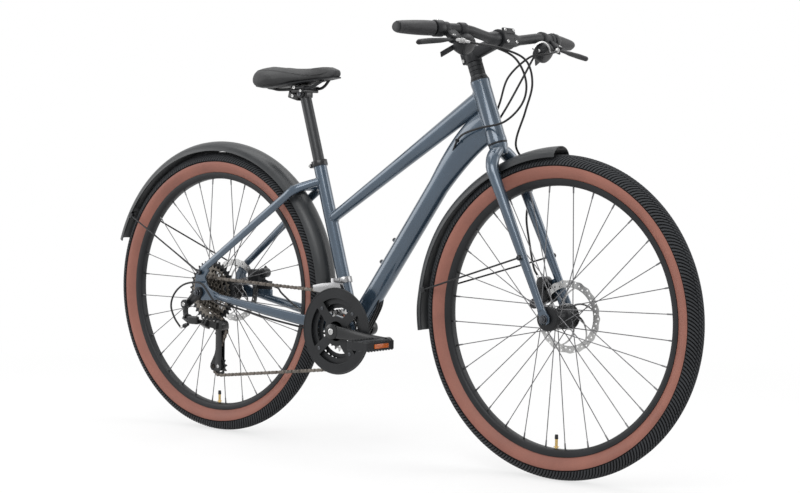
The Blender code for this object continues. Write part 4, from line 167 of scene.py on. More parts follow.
def make_camera():
    ahead = vec(-math.sin(CAMERA_YAW) * math.cos(CAMERA_PITCH), math.cos(CAMERA_YAW) * math.cos(CAMERA_PITCH),
        math.sin(CAMERA_PITCH))
    right = vec(math.cos(CAMERA_YAW), math.sin(CAMERA_YAW), 0)
    upward = right.cross(ahead)
    rolled_right = right * math.cos(CAMERA_ROLL) + upward * math.sin(CAMERA_ROLL)
    rolled_up = upward * math.cos(CAMERA_ROLL) - right * math.sin(CAMERA_ROLL)
    data = bpy.data.cameras.new("camera")
    data.lens = CAMERA_LENS
    data.sensor_width = 36
    data.clip_end = 50
    camera = bpy.data.objects.new("camera", data)
    bpy.context.scene.collection.objects.link(camera)
    camera.matrix_world = (Matrix.Translation(CAMERA_AT)
        @ Matrix((rolled_right, rolled_up, -ahead)).transposed().to_4x4())
    bpy.context.scene.camera = camera


# Materials
def add_node(tree, kind, **values):
    """A new shader node; values are given by its inputs' names."""
    made = tree.nodes.new("ShaderNode" + kind)
    for name, value in values.items():
        made.inputs[name.replace("_", " ")].default_value = value
    return made


def new_material(name, color, metallic=0, roughness=0.5, coat=0, coat_roughness=0.1, specular=0.5):
    material = bpy.data.materials.new(name)
    material.use_nodes = True
    shader = material.node_tree.nodes["Principled BSDF"]
    for socket, value in (("Base Color", (*color, 1)), ("Metallic", metallic), ("Roughness", roughness),
            ("Coat Weight", coat), ("Coat Roughness", coat_roughness), ("Specular IOR Level", specular)):
        shader.inputs[socket].default_value = value
    return material, material.node_tree, shader


def texture(tree, kind, stretch=(1, 1, 1), **values):
    """A texture that sits on the object's own coordinates."""
    made = add_node(tree, kind, **values)
    mapping = add_node(tree, "Mapping", Scale=stretch)
    tree.links.new(add_node(tree, "TexCoord").outputs["Object"], mapping.inputs["Vector"])
    tree.links.new(mapping.outputs["Vector"], made.inputs["Vector"])
    return made


def grain(tree, scale, detail=3, stretch=(1, 1, 1)):
    return texture(tree, "TexNoise", stretch, Scale=scale, Detail=detail).outputs["Fac"]


def arithmetic(tree, operation, *sources):
    """A math node fed by sockets or plain numbers."""
    made = add_node(tree, "Math")
    made.operation = operation
    for socket, source in zip(made.inputs, sources):
        if isinstance(source, (int, float)):
            socket.default_value = source
        else:
            tree.links.new(source, socket)
    return made.outputs[0]


def remapped(tree, source, first, last, low, high):
    spread = add_node(tree, "MapRange", From_Min=first, From_Max=last, To_Min=low, To_Max=high)
    tree.links.new(source, spread.inputs["Value"])
    return spread.outputs["Result"]


def tint(tree, shader, source, stops):
    """Colour that follows a value through (position, colour) stops."""
    ramp = add_node(tree, "ValToRGB")
    tree.links.new(source, ramp.inputs["Fac"])
    for element, (at, color) in zip(ramp.color_ramp.elements, stops):
        element.position = at
        element.color = (*color, 1)
    tree.links.new(ramp.outputs["Color"], shader.inputs["Base Color"])


def roughen(tree, shader, source, low, high):
    tree.links.new(remapped(tree, source, 0.3, 0.7, low, high), shader.inputs["Roughness"])


def bump(tree, shader, source, strength, distance, below=None):
    made = add_node(tree, "Bump", Strength=strength, Distance=distance)
    tree.links.new(source, made.inputs["Height"])
    if below is not None:
        tree.links.new(below, made.inputs["Normal"])
    tree.links.new(made.outputs["Normal"], shader.inputs["Normal"])
    return made.outputs["Normal"]


def speckled(name, dark, light, scale, metallic, rough, relief=0, depth=0.0002, stretch=(1, 1, 1), **more):
    """A finish whose colour, gloss and surface all vary with one fine grain and one broad cloud."""
    material, tree, shader = new_material(name, light, metallic, rough[0], **more)
    fine = grain(tree, scale, 4, stretch)
    broad = grain(tree, 14)
    mixed = arithmetic(tree, "MULTIPLY_ADD", broad, 0.45, arithmetic(tree, "MULTIPLY", fine, 0.55))
    tint(tree, shader, mixed, [(0.36, dark), (0.64, light)])
    roughen(tree, shader, broad, *rough)
    if relief:
        bump(tree, shader, fine, relief, depth)
    return material


def cellular(name, color, roughness, scale, **more):
    """A material with a cell pattern; returns also the output that gives the distance within a cell."""
    made = new_material(name, color, 0, roughness, **more)
    return made, texture(made[1], "TexVoronoi", Scale=scale)


def grip_material():
    """Soft rubber with a fine raised lattice."""
    (material, tree, shader), cells = cellular("grip_rubber", (0.02, 0.02, 0.022), 0.6, 330)
    cells.feature = "DISTANCE_TO_EDGE"
    fine = grain(tree, 1500)
    # Darker towards the cell edges, where the bump sinks the surface: painted shade in these grooves.
    tint(tree, shader, cells.outputs["Distance"], [(0, (0.01, 0.01, 0.011)), (0.3, (0.026, 0.026, 0.029))])
    roughen(tree, shader, fine, 0.52, 0.7)
    below = bump(tree, shader, fine, 0.15, 0.0001)
    bump(tree, shader, cells.outputs["Distance"], 0.5, 0.0012, below)
    return material


def saddle_material():
    """Matte cover with a close leather grain."""
    (material, tree, shader), cells = cellular("saddle_cover", (0.02, 0.02, 0.022), 0.55, 620)
    broad = grain(tree, 22)
    tint(tree, shader, broad, [(0.35, (0.007, 0.0074, 0.0081)), (0.65, (0.0135, 0.0142, 0.0153))])
    roughen(tree, shader, broad, 0.46, 0.6)
    below = bump(tree, shader, grain(tree, 1900), 0.12, 0.0001)
    bump(tree, shader, cells.outputs["Distance"], 0.35, 0.0006, below)
    return material


def reflector_material():
    """Clear orange plastic over a bed of small prisms."""
    color = (0.62, 0.13, 0.012)
    (material, tree, shader), cells = cellular("orange_reflector", color, 0.18, 420, coat=0.6, coat_roughness=0.06)
    # Full orange at the prism edges, darker in their middles: painted light and shade across the prisms.
    tint(tree, shader, cells.outputs["Distance"], [(0, color), (0.8, tuple(part * 0.55 for part in color))])
    bump(tree, shader, cells.outputs["Distance"], 0.4, 0.0008)
    return material


make_camera()
MATERIALS = {
    "paint": speckled("slate_blue_paint", (0.029, 0.051, 0.079), (0.043, 0.072, 0.107), 2600, 0.42, (0.23, 0.3), 0.05,
        0.00005, coat=1, coat_roughness=0.05, specular=0.45),
    "black": speckled("black_anodised", (0.006, 0.0065, 0.0075), (0.014, 0.015, 0.017), 1500, 0.1, (0.36, 0.48), 0.08,
        0.00004, specular=0.3),
    "post": speckled("black_alloy_tube", (0.014, 0.015, 0.0165), (0.028, 0.0295, 0.032), 1100, 0.3, (0.28, 0.38),
        0.06, 0.00004, specular=0.45),
    "gloss_black": speckled("gloss_black", (0.004, 0.0045, 0.005), (0.009, 0.0095, 0.011), 900, 0, (0.2, 0.3), 0.04,
        0.00004, coat=0.15, specular=0.35),
    "gunmetal": speckled("gunmetal", (0.055, 0.058, 0.065), (0.12, 0.125, 0.135), 800, 0.9, (0.26, 0.38), 0.08,
        0.00004),
    # The groove rubber is painted far darker than the tread ribs: painted shade in the grooves between them.
    "groove": speckled("tread_groove_painted_shade", (0.0025, 0.0025, 0.003), (0.006, 0.006, 0.0065), 700, 0, (0.75, 0.88), 0.2,
        0.0001, specular=0.12),
    "steel": speckled("bright_steel", (0.4, 0.4, 0.4), (0.62, 0.62, 0.61), 700, 1, (0.22, 0.36), 0.1, 0.00004,
        (1, 0.15, 1)),
    "worn_steel": speckled("worn_steel", (0.2, 0.2, 0.205), (0.4, 0.4, 0.405), 500, 1, (0.2, 0.34), 0.12, 0.00006),
    "rotor": speckled("brushed_rotor", (0.34, 0.34, 0.34), (0.58, 0.58, 0.57), 420, 1, (0.24, 0.4), 0.15, 0.00005),
    "spoke": speckled("spoke_wire", (0.1, 0.1, 0.105), (0.2, 0.2, 0.205), 500, 0.9, (0.28, 0.4), 0.03),
    "chain": speckled("brown_chain_steel", (0.08, 0.07, 0.061), (0.19, 0.17, 0.15), 900, 0.9, (0.3, 0.46), 0.15,
        0.00005),
    "cog": speckled("cog_steel", (0.105, 0.094, 0.082), (0.2, 0.182, 0.16), 800, 0.9, (0.28, 0.42), 0.12, 0.00005),
    "plastic": speckled("black_plastic", (0.006, 0.0065, 0.0075), (0.014, 0.015, 0.017), 2200, 0, (0.42, 0.56), 0.22,
        0.00008, specular=0.3),
    "guard": speckled("charcoal_plastic", (0.015, 0.0168, 0.0185), (0.028, 0.0304, 0.0328), 1800, 0, (0.3, 0.42), 0.1,
        0.00005, specular=0.4),
    "cable": speckled("cable_jacket", (0.006, 0.006, 0.007), (0.012, 0.012, 0.013), 1200, 0, (0.34, 0.48), 0.1,
        0.00005, specular=0.3),
    "tread": speckled("tread_rubber", (0.016, 0.0172, 0.0196), (0.035, 0.0376, 0.0415), 700, 0, (0.6, 0.76), 0.35,
        0.00015, specular=0.3),
    "wall": speckled("terracotta_sidewall", (0.205, 0.078, 0.057), (0.285, 0.115, 0.084), 900, 0, (0.5, 0.64), 0.25,
        0.0001, specular=0.4),
    "brass": speckled("brass", (0.42, 0.29, 0.1), (0.62, 0.45, 0.19), 600, 1, (0.22, 0.34), 0.08, 0.00004),
    "grip": grip_material(),
    "saddle": saddle_material(),
    "orange": reflector_material(),
}
SLOT_OF = {
    "paint": "slate_blue_paint",
    "guard": "charcoal_plastic",
    "cable": "cable_jacket",
    "grip": "grip_rubber",
    "saddle": "saddle_cover",
    **dict.fromkeys(("black", "post", "gloss_black"), "black_anodised"),
    **dict.fromkeys(("plastic", "orange"), "black_plastic"),
    **dict.fromkeys(("tread", "groove", "wall"), "tyre_rubber"),
    **dict.fromkeys(("chain", "cog"), "brown_chain_steel"),
    **dict.fromkeys(("steel", "worn_steel", "gunmetal", "rotor", "spoke", "brass"), "bright_steel"),
}


# Mesh helpers: each adds one shell to the working mesh, which piece then makes an object of
work = bmesh.new()


def cross_axes(axis):
    flat = axis.orthogonal().normalized()
    return flat, axis.cross(flat)


def oval(centre, across, upright, half_a, half_u, sides, power=2):
    ring = []
    for k in range(sides):
        c = math.cos(math.tau * (k + 0.5) / sides)
        s = math.sin(math.tau * (k + 0.5) / sides)
        ring.append(centre + across * (math.copysign(abs(c) ** (2 / power), c) * half_a)
            + upright * (math.copysign(abs(s) ** (2 / power), s) * half_u))
    return ring


def skin(rings, closed=False):
    """Join rings of points into a skin, with its ends capped or, when closed, joined to each other."""
    made = [[work.verts.new(point) for point in ring] for ring in rings]
    faces = []
    pairs = list(zip(made, made[1:])) + ([(made[-1], made[0])] if closed else [])
    for low, high in pairs:
        for k in range(len(low)):
            faces.append(work.faces.new((low[k], low[(k + 1) % len(low)], high[(k + 1) % len(low)], high[k])))
    if not closed:
        faces.append(work.faces.new(made[0]))
        faces.append(work.faces.new(made[-1]))
    bmesh.ops.recalc_face_normals(work, faces=faces)
    return faces


def path_frames(path, across=None):
    """A direction and two cross axes at each point, turned as little as possible along the way."""
    frames = []
    last = None
    for index, point in enumerate(path):
        direction = (path[min(index + 1, len(path) - 1)] - path[max(index - 1, 0)]).normalized()
        if across is not None:
            upright = direction.cross(across).normalized()
            flat = upright.cross(direction).normalized()
        else:
            if last is None:
                last = direction.orthogonal().normalized()
            flat = (last - direction * last.dot(direction)).normalized()
            upright = direction.cross(flat).normalized()
            last = flat
        frames.append((point, direction, flat, upright))
    return frames


def sweep(path, sizes, sides=24, across=SIDE, power=2):
    """An oval bar along a path, with (half across, half upright) at each point."""
    rings = []
    for (point, _, flat, upright), (half_a, half_u) in zip(path_frames(path, across), sizes):
        rings.append(oval(point, flat, upright, half_a, half_u, sides, power))
    return skin(rings)


def pipe(path, radius, sides=16):
    """A round bar along a path; radius is one number or one per point."""
    radii = radius if isinstance(radius, (list, tuple)) else [radius] * len(path)
    rings = []
    for (point, _, flat, upright), r in zip(path_frames(path), radii):
        rings.append(oval(point, flat, upright, r, r, sides))
    return skin(rings)


def stack(start, axis, stations, sides):
    """Round sections strung on an axis, each given as (distance, radius)."""
    flat, upright = cross_axes(axis)
    return skin([oval(start + axis * along, flat, upright, radius, radius, sides) for along, radius in stations])


def rod(start, end, radius, sides=24, end_radius=None, edge=0):
    """A straight round bar with softened ends."""
    start, end = Vector(start), Vector(end)
    last = radius if end_radius is None else end_radius
    length = (end - start).length
    edge = min(edge, length * 0.4, radius * 0.6, last * 0.6)
    stations = [(0, radius), (length, last)]
    if edge:
        stations = [(0, radius - edge), (edge * 0.3, radius - edge * 0.3), (edge, radius), (length - edge, last),
            (length - edge * 0.3, last - edge * 0.3), (length, last - edge)]
    return stack(start, (end - start).normalized(), stations, sides)


def turn(profile, centre, axis=SIDE, steps=48, closed=True):
    """Revolve (radius, height) points about an axis."""
    axis = Vector(axis).normalized()
    flat, upright = cross_axes(axis)
    rings = []
    for k in range(steps):
        angle = math.tau * k / steps
        out = flat * math.cos(angle) + upright * math.sin(angle)
        rings.append([centre + out * radius + axis * height for radius, height in profile])
    made = [[work.verts.new(point) for point in ring] for ring in rings]
    count = len(profile)
    faces = []
    for k in range(steps):
        low, high = made[k], made[(k + 1) % steps]
        for i in range(count if closed else count - 1):
            faces.append(work.faces.new((low[i], low[(i + 1) % count], high[(i + 1) % count], high[i])))
    bmesh.ops.recalc_face_normals(work, faces=faces)
    return faces


def brick(centre, size, forward=AHEAD, side=SIDE, edge=0.001, segments=2):
    """A box whose X runs along forward, with rounded edges."""
    made = bmesh.ops.create_cube(work, size=1)["verts"]
    x_axis = Vector(forward).normalized()
    z_axis = x_axis.cross(Vector(side)).normalized()
    y_axis = z_axis.cross(x_axis)
    place = Matrix.Translation(centre) @ Matrix((x_axis, y_axis, z_axis)).transposed().to_4x4()
    bmesh.ops.transform(work, matrix=place @ Matrix.Diagonal((*size, 1)), verts=made)
    if edge:
        edges = list({e for v in made for e in v.link_edges})
        bmesh.ops.bevel(work, geom=edges, offset=min(edge, min(size) * 0.45), segments=segments, affect="EDGES",
            profile=0.6)


def bolt(centre, axis, radius=0.0032, height=0.003):
    """A round screw head with a round socket in its top."""
    axis = Vector(axis).normalized()
    turn([(radius * 0.52, height), (radius * 0.86, height), (radius, height * 0.75), (radius, 0), (0.0001, 0),
        (0.0001, height * 0.35), (radius * 0.5, height * 0.35)], centre, axis, 18)


def hex_nut(start, end, radius):
    length = (end - start).length
    stack(start, (end - start).normalized(), [(length * part, radius * scale)
        for part, scale in ((0, 0.93), (0.12, 1), (0.86, 1), (1, 0.9))], 6)


WELD_RIPPLE = 0.0035


def weld(loop, radius=0.0022):
    """A rippled bead along a closed loop of points."""
    lengths = [(q - p).length for p, q in zip(loop, loop[1:] + loop[:1])]
    total = sum(lengths)
    count = max(int(total / WELD_RIPPLE) * 4, 24)
    marks = [0] + list(accumulate(lengths))
    closed = loop + [loop[0]]
    path = []
    at = 0
    for k in range(count):
        want = total * k / count
        while marks[at + 1] < want:
            at += 1
        path.append(closed[at].lerp(closed[at + 1], (want - marks[at]) / max(lengths[at], 1e-9)))
    radii = [radius * (0.86 + 0.2 * (1, 0.55, 0, 0.55)[k % 4]) for k in range(count)]
    rings = []
    last = None
    for k in range(count):
        direction = (path[(k + 1) % count] - path[k - 1]).normalized()
        if last is None:
            last = direction.orthogonal().normalized()
        flat = (last - direction * last.dot(direction)).normalized()
        last = flat
        rings.append(oval(path[k], flat, direction.cross(flat), radii[k], radii[k], 8))
    skin(rings, closed=True)


def meets(path_start, direction, offset, axis_point, axis, radius):
    """Where a line beside a tube's axis meets the outside of another round tube."""
    start = path_start + offset - axis_point
    start -= axis * start.dot(axis)
    step = direction - axis * direction.dot(axis)
    a = step.dot(step)
    b = 2 * start.dot(step)
    c = start.dot(start) - radius * radius
    along = (-b - math.sqrt(max(b * b - 4 * a * c, 0))) / (2 * a)
    return path_start + offset + direction * along


SEAM_POINTS = 48


def joint_loop(start, direction, half_a, half_u, axis_point, axis, radius):
    """The seam between an oval tube running along direction and a round tube."""
    direction = direction.normalized()
    upright = direction.cross(SIDE).normalized()
    flat = upright.cross(direction).normalized()
    loop = []
    for k in range(SEAM_POINTS):
        angle = math.tau * k / SEAM_POINTS
        offset = flat * math.cos(angle) * half_a + upright * math.sin(angle) * half_u
        loop.append(meets(start, direction, offset, axis_point, axis, radius))
    return loop


def smooth_path(points, count):
    """Evenly spread points on a Catmull-Rom curve through the given ones."""
    ends = [points[0] * 2 - points[1]] + list(points) + [points[-1] * 2 - points[-2]]
    fine = []
    for a, b, c, d in zip(ends, ends[1:], ends[2:], ends[3:]):
        for k in range(12):
            t = k / 12
            fine.append(0.5 * (2 * b + (c - a) * t + (2 * a - 5 * b + 4 * c - d) * t ** 2
                + (3 * b - a - 3 * c + d) * t ** 3))
    fine.append(points[-1].copy())
    lengths = [0] + list(accumulate((q - p).length for p, q in zip(fine, fine[1:])))
    path = []
    at = 0
    for k in range(count):
        want = lengths[-1] * k / (count - 1)
        while at < len(fine) - 2 and lengths[at + 1] < want:
            at += 1
        path.append(fine[at].lerp(fine[at + 1], (want - lengths[at]) / (lengths[at + 1] - lengths[at])))
    return path


def smooth_sweep(points, sizes, count):
    """A denser path through the points, with sizes eased between them."""
    path = smooth_path(points, count)
    marks = [0] + list(accumulate((q - p).length for p, q in zip(points, points[1:])))
    made = []
    for k in range(count):
        want = marks[-1] * k / (count - 1)
        at = 0
        while at < len(marks) - 2 and marks[at + 1] < want:
            at += 1
        part = (want - marks[at]) / (marks[at + 1] - marks[at])
        part = part * part * (3 - 2 * part)
        made.append(tuple(a + (b - a) * part for a, b in zip(sizes[at], sizes[at + 1])))
    return path, made


def on_side(point, side):
    return vec(point.x, point.y * side, point.z)


def taken(name):
    """The shells added so far, as one mesh; the next shell starts a new one."""
    global work
    mesh = bpy.data.meshes.new(name)
    work.to_mesh(mesh)
    work.free()
    work = bmesh.new()
    return mesh


def piece(name, material, body, nodes=(), angle=38):
    """Turn the shells added so far into a named, smooth-shaded object that rides on a body."""
    return dressed(name, taken(name), material, body, nodes, angle)


def finished(node, material, angle=38):
    """The dressed form of one CAD solid, which it replaces on that solid's body."""
    return piece(node + "_finished", material, BODY_OF[node], (node,), angle)


def dressed(name, mesh, material, body, nodes=(), angle=38, bevel=0):
    obj = bpy.data.objects.new(name, mesh)
    bpy.context.scene.collection.objects.link(obj)
    mesh.materials.append(MATERIALS[material])
    if bevel:
        edge = obj.modifiers.new("edges", "BEVEL")
        edge.width = bevel
        edge.segments = 2
        edge.limit_method = "ANGLE"
        edge.angle_limit = math.radians(32)
        baked(obj)
    obj.data.polygons.foreach_set("use_smooth", [True] * len(obj.data.polygons))
    obj.data.set_sharp_from_angle(angle=math.radians(angle))
    if body:
        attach(obj, body)
    if nodes:
        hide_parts(*nodes)
    return obj


def baked(obj):
    """Replace an object's mesh by its evaluated mesh and drop its modifiers."""
    bpy.context.view_layer.update()
    graph = bpy.context.evaluated_depsgraph_get()
    mesh = bpy.data.meshes.new_from_object(obj.evaluated_get(graph))
    obj.modifiers.clear()
    obj.data = mesh
    return obj


def sheet_metal(outline, holes, origin, normal, across, thickness, edge=0, resolution=0):
    """A flat outline with holes, given thickness about its mid plane; returned as a mesh in place."""
    curve = bpy.data.curves.new("plate", "CURVE")
    curve.dimensions = "2D"
    curve.fill_mode = "BOTH"
    curve.extrude = thickness / 2 - edge
    curve.bevel_depth = edge
    curve.bevel_resolution = resolution
    curve.offset = -edge
    for ring in [outline] + list(holes):
        spline = curve.splines.new("POLY")
        spline.points.add(len(ring) - 1)
        for index, (u, v) in enumerate(ring):
            spline.points[index].co = (u, v, 0, 1)
        spline.use_cyclic_u = True
    obj = bpy.data.objects.new("plate", curve)
    bpy.context.scene.collection.objects.link(obj)
    bpy.context.view_layer.update()
    mesh = bpy.data.meshes.new_from_object(obj.evaluated_get(bpy.context.evaluated_depsgraph_get()))
    bpy.data.objects.remove(obj)
    bpy.data.curves.remove(curve)
    z_axis = Vector(normal).normalized()
    x_axis = Vector(across).normalized()
    y_axis = z_axis.cross(x_axis)
    mesh.transform(Matrix.Translation(origin) @ Matrix((x_axis, y_axis, z_axis)).transposed().to_4x4())
    return mesh


def add_mesh(mesh):
    work.from_mesh(mesh)
    bpy.data.meshes.remove(mesh)


def ring_points(radius, count, start=0, centre=(0, 0)):
    return [(centre[0] + radius * math.cos(start + math.tau * k / count),
        centre[1] + radius * math.sin(start + math.tau * k / count)) for k in range(count)]


def arc_points(radius, first, last, count):
    return [(radius * math.cos(first + (last - first) * k / (count - 1)),
        radius * math.sin(first + (last - first) * k / (count - 1))) for k in range(count)]


def wheel_point(axle, radius, angle, offset):
    return axle + vec(radius * math.cos(angle), offset, radius * math.sin(angle))


def refined(node, material, bevel):
    """A copy of a plain CAD solid with its flat faces merged and its edges rounded."""
    solid = bmesh.new()
    solid.from_mesh(NODES[node].data)
    bmesh.ops.remove_doubles(solid, verts=solid.verts, dist=0.00002)
    bmesh.ops.dissolve_limit(solid, angle_limit=math.radians(1), verts=solid.verts, edges=solid.edges)
    mesh = bpy.data.meshes.new(node)
    solid.to_mesh(mesh)
    solid.free()
    mesh.materials.clear()
    return dressed(node + "_finished", mesh, material, BODY_OF[node], (node,), 46, bevel=bevel)


# Frame
BOTTLE_BOSSES = (0.18, 0.244)
SLOT_ARC = [(0.0051 * math.cos(math.pi * k / 8), 0.0051 * math.sin(math.pi * k / 8)) for k in range(9)]
TOP_SEAT_END = SEAT_TOP - SEAT_AXIS * 0.1455
TOP_HEAD_END = HEAD_TOP - HEAD_AXIS * 0.036
DROPOUT_MIDDLE = (REAR_OLD + DROPOUT_THICKNESS) / 2


def down_tube_rings():
    """Straight from the bottom bracket, then deepening as it curls up under the head tube."""
    bend = BB + DOWN_DIRECTION * (DOWN_REACH * 0.68)
    run = bend - DOWN_TUBE_TOP
    along = (run.x * HEAD_FORWARD.z - run.z * HEAD_FORWARD.x)
    along /= (HEAD_FORWARD.x * DOWN_DIRECTION.z - HEAD_FORWARD.z * DOWN_DIRECTION.x)
    corner = bend + DOWN_DIRECTION * along
    path, sizes = [], []
    for k in range(9):
        part = k / 9
        path.append(BB.lerp(bend, part))
        sizes.append((0.0235 - 0.002 * part, DOWN_TUBE_RADIUS + 0.0015 * part))
    for k in range(21):
        part = k / 20
        path.append(bend.lerp(corner, part).lerp(corner.lerp(DOWN_TUBE_TOP, part), part))
        swell = min(part * 1.15, 1)
        sizes.append((0.0215 - 0.0025 * part, 0.0255 + 0.013 * (swell * (2 - swell))))
    return path, sizes


def stay_rings():
    """Right-hand chainstay and seatstay, with their sizes."""
    end = -DROPOUT_MIDDLE
    chain = [BB + vec(-0.012, -0.018, 0.0005), BB + vec(-0.06, -0.031, 0.0075), BB + vec(-0.12, -0.045, 0.0165),
        BB + vec(-0.22, -0.058, 0.032), BB + vec(-0.33, end + 0.005, 0.049), REAR_AXLE + vec(0.052, end, -0.0065)]
    chain_sizes = [(0.008, 0.0125), (0.008, 0.0135), (0.0085, 0.0135), (0.009, 0.012), (0.0085, 0.0092),
        (0.005, 0.0078)]
    joint = SEAT_TOP - SEAT_AXIS * 0.051
    seat = [joint + vec(0.004, -0.005, 0.002), joint + vec(-0.022, -0.02, -0.006), BRIDGE + vec(0.007, -0.0455, -0.005),
        BRIDGE + vec(-0.039, -0.049, -0.037), REAR_AXLE + vec(0.008, end, 0.0575)]
    seat_sizes = [(0.007, 0.009), (0.0075, 0.01), (0.0075, 0.0105), (0.0075, 0.0105), (0.0048, 0.0095)]
    return smooth_sweep(chain, chain_sizes, 44), smooth_sweep(seat, seat_sizes, 44)


def build_frame():
    turn([(0.0172, 0), (0.0222, 0), (0.0222, 0.0085), (HEAD_TUBE_RADIUS, 0.014),
        (HEAD_TUBE_RADIUS, HEAD_TUBE_LENGTH - 0.014), (0.0222, HEAD_TUBE_LENGTH - 0.0085), (0.0222, HEAD_TUBE_LENGTH),
        (0.0172, HEAD_TUBE_LENGTH)], HEAD_LOW, HEAD_AXIS, 72)
    rod(BB, SEAT_TOP, SEAT_TUBE_RADIUS, 48)
    turn([(0.0176, -BB_SHELL_WIDTH / 2), (BB_SHELL_RADIUS, -BB_SHELL_WIDTH / 2), (BB_SHELL_RADIUS, BB_SHELL_WIDTH / 2),
        (0.0176, BB_SHELL_WIDTH / 2)], BB, SIDE, 64)
    down, down_sizes = down_tube_rings()
    sweep(down, down_sizes, 48)
    top = [TOP_SEAT_END.lerp(TOP_HEAD_END, k / 16) for k in range(17)]
    top_sizes = []
    for k in range(17):
        part = k / 8 if k <= 8 else (k - 8) / 8
        first, last = ((0.014, 0.0122), (0.0155, 0.017)) if k <= 8 else ((0.0155, 0.017), (0.0172, 0.0235))
        top_sizes.append(tuple(a + (b - a) * part for a, b in zip(first, last)))
    sweep(top, top_sizes, 40)
    (chain, chain_sizes), (seat, seat_sizes) = stay_rings()
    for side in (1, -1):
        sweep([on_side(p, side) for p in chain], chain_sizes, 24)
        sweep([on_side(p, side) for p in seat], seat_sizes, 24)
        outline = [(0.02, 0.07), (0, 0.061), (-0.014, 0.04), (-0.0165, 0.015), (-0.015, -0.008), (-0.008, -0.019),
            *[(-u, v) for u, v in [(0.0051, -0.019), *SLOT_ARC, (-0.0051, -0.019)]], (0.008, -0.019), (0.03, -0.0175),
            (0.062, -0.015), (0.062, 0.001), (0.044, 0.007), (0.031, 0.013), (0.0225, 0.023), (0.018, 0.039),
            (0.03, 0.056)]
        add_mesh(sheet_metal(outline, [], REAR_AXLE + SIDE * DROPOUT_MIDDLE * side, -SIDE, AHEAD, DROPOUT_THICKNESS,
            0.0006))
        direction = (seat[0] - seat[4]).normalized()
        weld(joint_loop(on_side(seat[4], side), on_side(direction, side), 0.0073, 0.0095, SEAT_TOP, SEAT_AXIS,
            SEAT_TUBE_RADIUS + 0.0004), 0.0016)
    low_bridge = BB + vec(-0.064, 0, 0.0095)
    rod(BRIDGE - SIDE * 0.043, BRIDGE + SIDE * 0.043, 0.0065, 24)
    rod(low_bridge - SIDE * 0.031, low_bridge + SIDE * 0.031, 0.0065, 24)
    for along in BOTTLE_BOSSES:
        foot = BB + DOWN_DIRECTION * along + DOWN_NORMAL * (DOWN_TUBE_RADIUS - 0.003)
        rod(foot, foot + DOWN_NORMAL * 0.007, 0.0055, 24, edge=0.0008)
    brick(REAR_AXLE + vec(0.09, 0.066, -0.001), (0.05, 0.009, 0.016), edge=0.002)
    head_run = (down[-1] - down[-3]).normalized()
    weld(joint_loop(down[-3], head_run, 0.0192, 0.0385, HEAD_LOW, HEAD_AXIS, HEAD_TUBE_RADIUS + 0.0003))
    weld(joint_loop(top[-3], TOP_HEAD_END - TOP_SEAT_END, 0.0171, 0.023, HEAD_LOW, HEAD_AXIS,
        HEAD_TUBE_RADIUS + 0.0003))
    weld(joint_loop(top[2], TOP_SEAT_END - TOP_HEAD_END, 0.0142, 0.0127, BB, SEAT_AXIS, SEAT_TUBE_RADIUS + 0.0003),
        0.0019)
    weld(joint_loop(BB + SEAT_AXIS * 0.06, -SEAT_AXIS, SEAT_TUBE_RADIUS, SEAT_TUBE_RADIUS, BB, SIDE,
        BB_SHELL_RADIUS + 0.0003), 0.0019)
    weld(joint_loop(BB + DOWN_DIRECTION * 0.06, -DOWN_DIRECTION, 0.0234, 0.02, BB, SIDE, BB_SHELL_RADIUS + 0.0003),
        0.0021)
    finished("frame", "paint", 50)
    for along in BOTTLE_BOSSES:
        bolt(BB + DOWN_DIRECTION * along + DOWN_NORMAL * (DOWN_TUBE_RADIUS + 0.004), DOWN_NORMAL, 0.005, 0.0046)
    piece("bottle_bolts", "gloss_black", "frame")


def fork_leg(side):
    shoulder = CROWN_SEAT - HEAD_AXIS * 0.058
    leg_direction = (shoulder - FRONT_AXLE).normalized()
    points = [CROWN_SEAT - HEAD_AXIS * 0.0105 + SIDE * 0.002, CROWN_SEAT - HEAD_AXIS * 0.017 + SIDE * 0.017,
        CROWN_SEAT - HEAD_AXIS * 0.0295 + SIDE * 0.0325, CROWN_SEAT - HEAD_AXIS * 0.045 + SIDE * 0.0428,
        shoulder + SIDE * 0.0475, shoulder - leg_direction * 0.025 + SIDE * 0.0484,
        shoulder - leg_direction * 0.08 + SIDE * 0.0494, FRONT_AXLE + leg_direction * 0.02
        + SIDE * (FRONT_OLD + FORK_TIP_THICKNESS) / 2]
    sizes = [(0.0165, 0.0135), (0.0168, 0.014), (0.016, 0.014), (0.015, 0.0134), (0.014, 0.0126), (0.0135, 0.012),
        (0.0126, 0.0111), (0.0085, 0.007)]
    return smooth_sweep([on_side(p, side) for p in points], sizes, 60), leg_direction


def build_fork():
    turn([(0.0001, -0.024), (0.015, -0.024), (0.0178, -0.02), (0.0195, -0.01), (HEAD_TUBE_RADIUS, -0.003),
        (HEAD_TUBE_RADIUS, 0), (0.0001, 0)], CROWN_SEAT, HEAD_AXIS, 56)
    for side in (-1, 1):
        (path, sizes), direction = fork_leg(side)
        sweep(path, sizes, 32, HEAD_FORWARD)
        lean = direction * 0.023
        outline = [(lean.x - 0.0085, lean.z - 0.002), (-0.0125, 0.004), (-0.0118, -0.006), (-0.007, -0.011),
            *[(-u, v) for u, v in [(0.0051, -0.0122), *SLOT_ARC, (-0.0051, -0.0122)]], (0.007, -0.011),
            (0.0118, -0.006), (0.0125, 0.004), (lean.x + 0.0085, lean.z + 0.002)]
        add_mesh(sheet_metal(outline, [], FRONT_AXLE + SIDE * (FRONT_OLD + FORK_TIP_THICKNESS) / 2 * side, -SIDE, AHEAD,
            FORK_TIP_THICKNESS, 0.0008))
        boss = FRONT_AXLE + vec(-0.06, 0.0555 * side, 0.1285)
        rod(boss, boss + SIDE * 0.008 * side, 0.005, 20, edge=0.0006)
    back = direction.cross(SIDE).normalized()
    tab = FRONT_AXLE + direction * 0.062 + back * 0.012 + SIDE * 0.053
    brick(tab, (0.016, 0.009, 0.06), back, SIDE, 0.0022)
    finished("fork", "paint", 50)


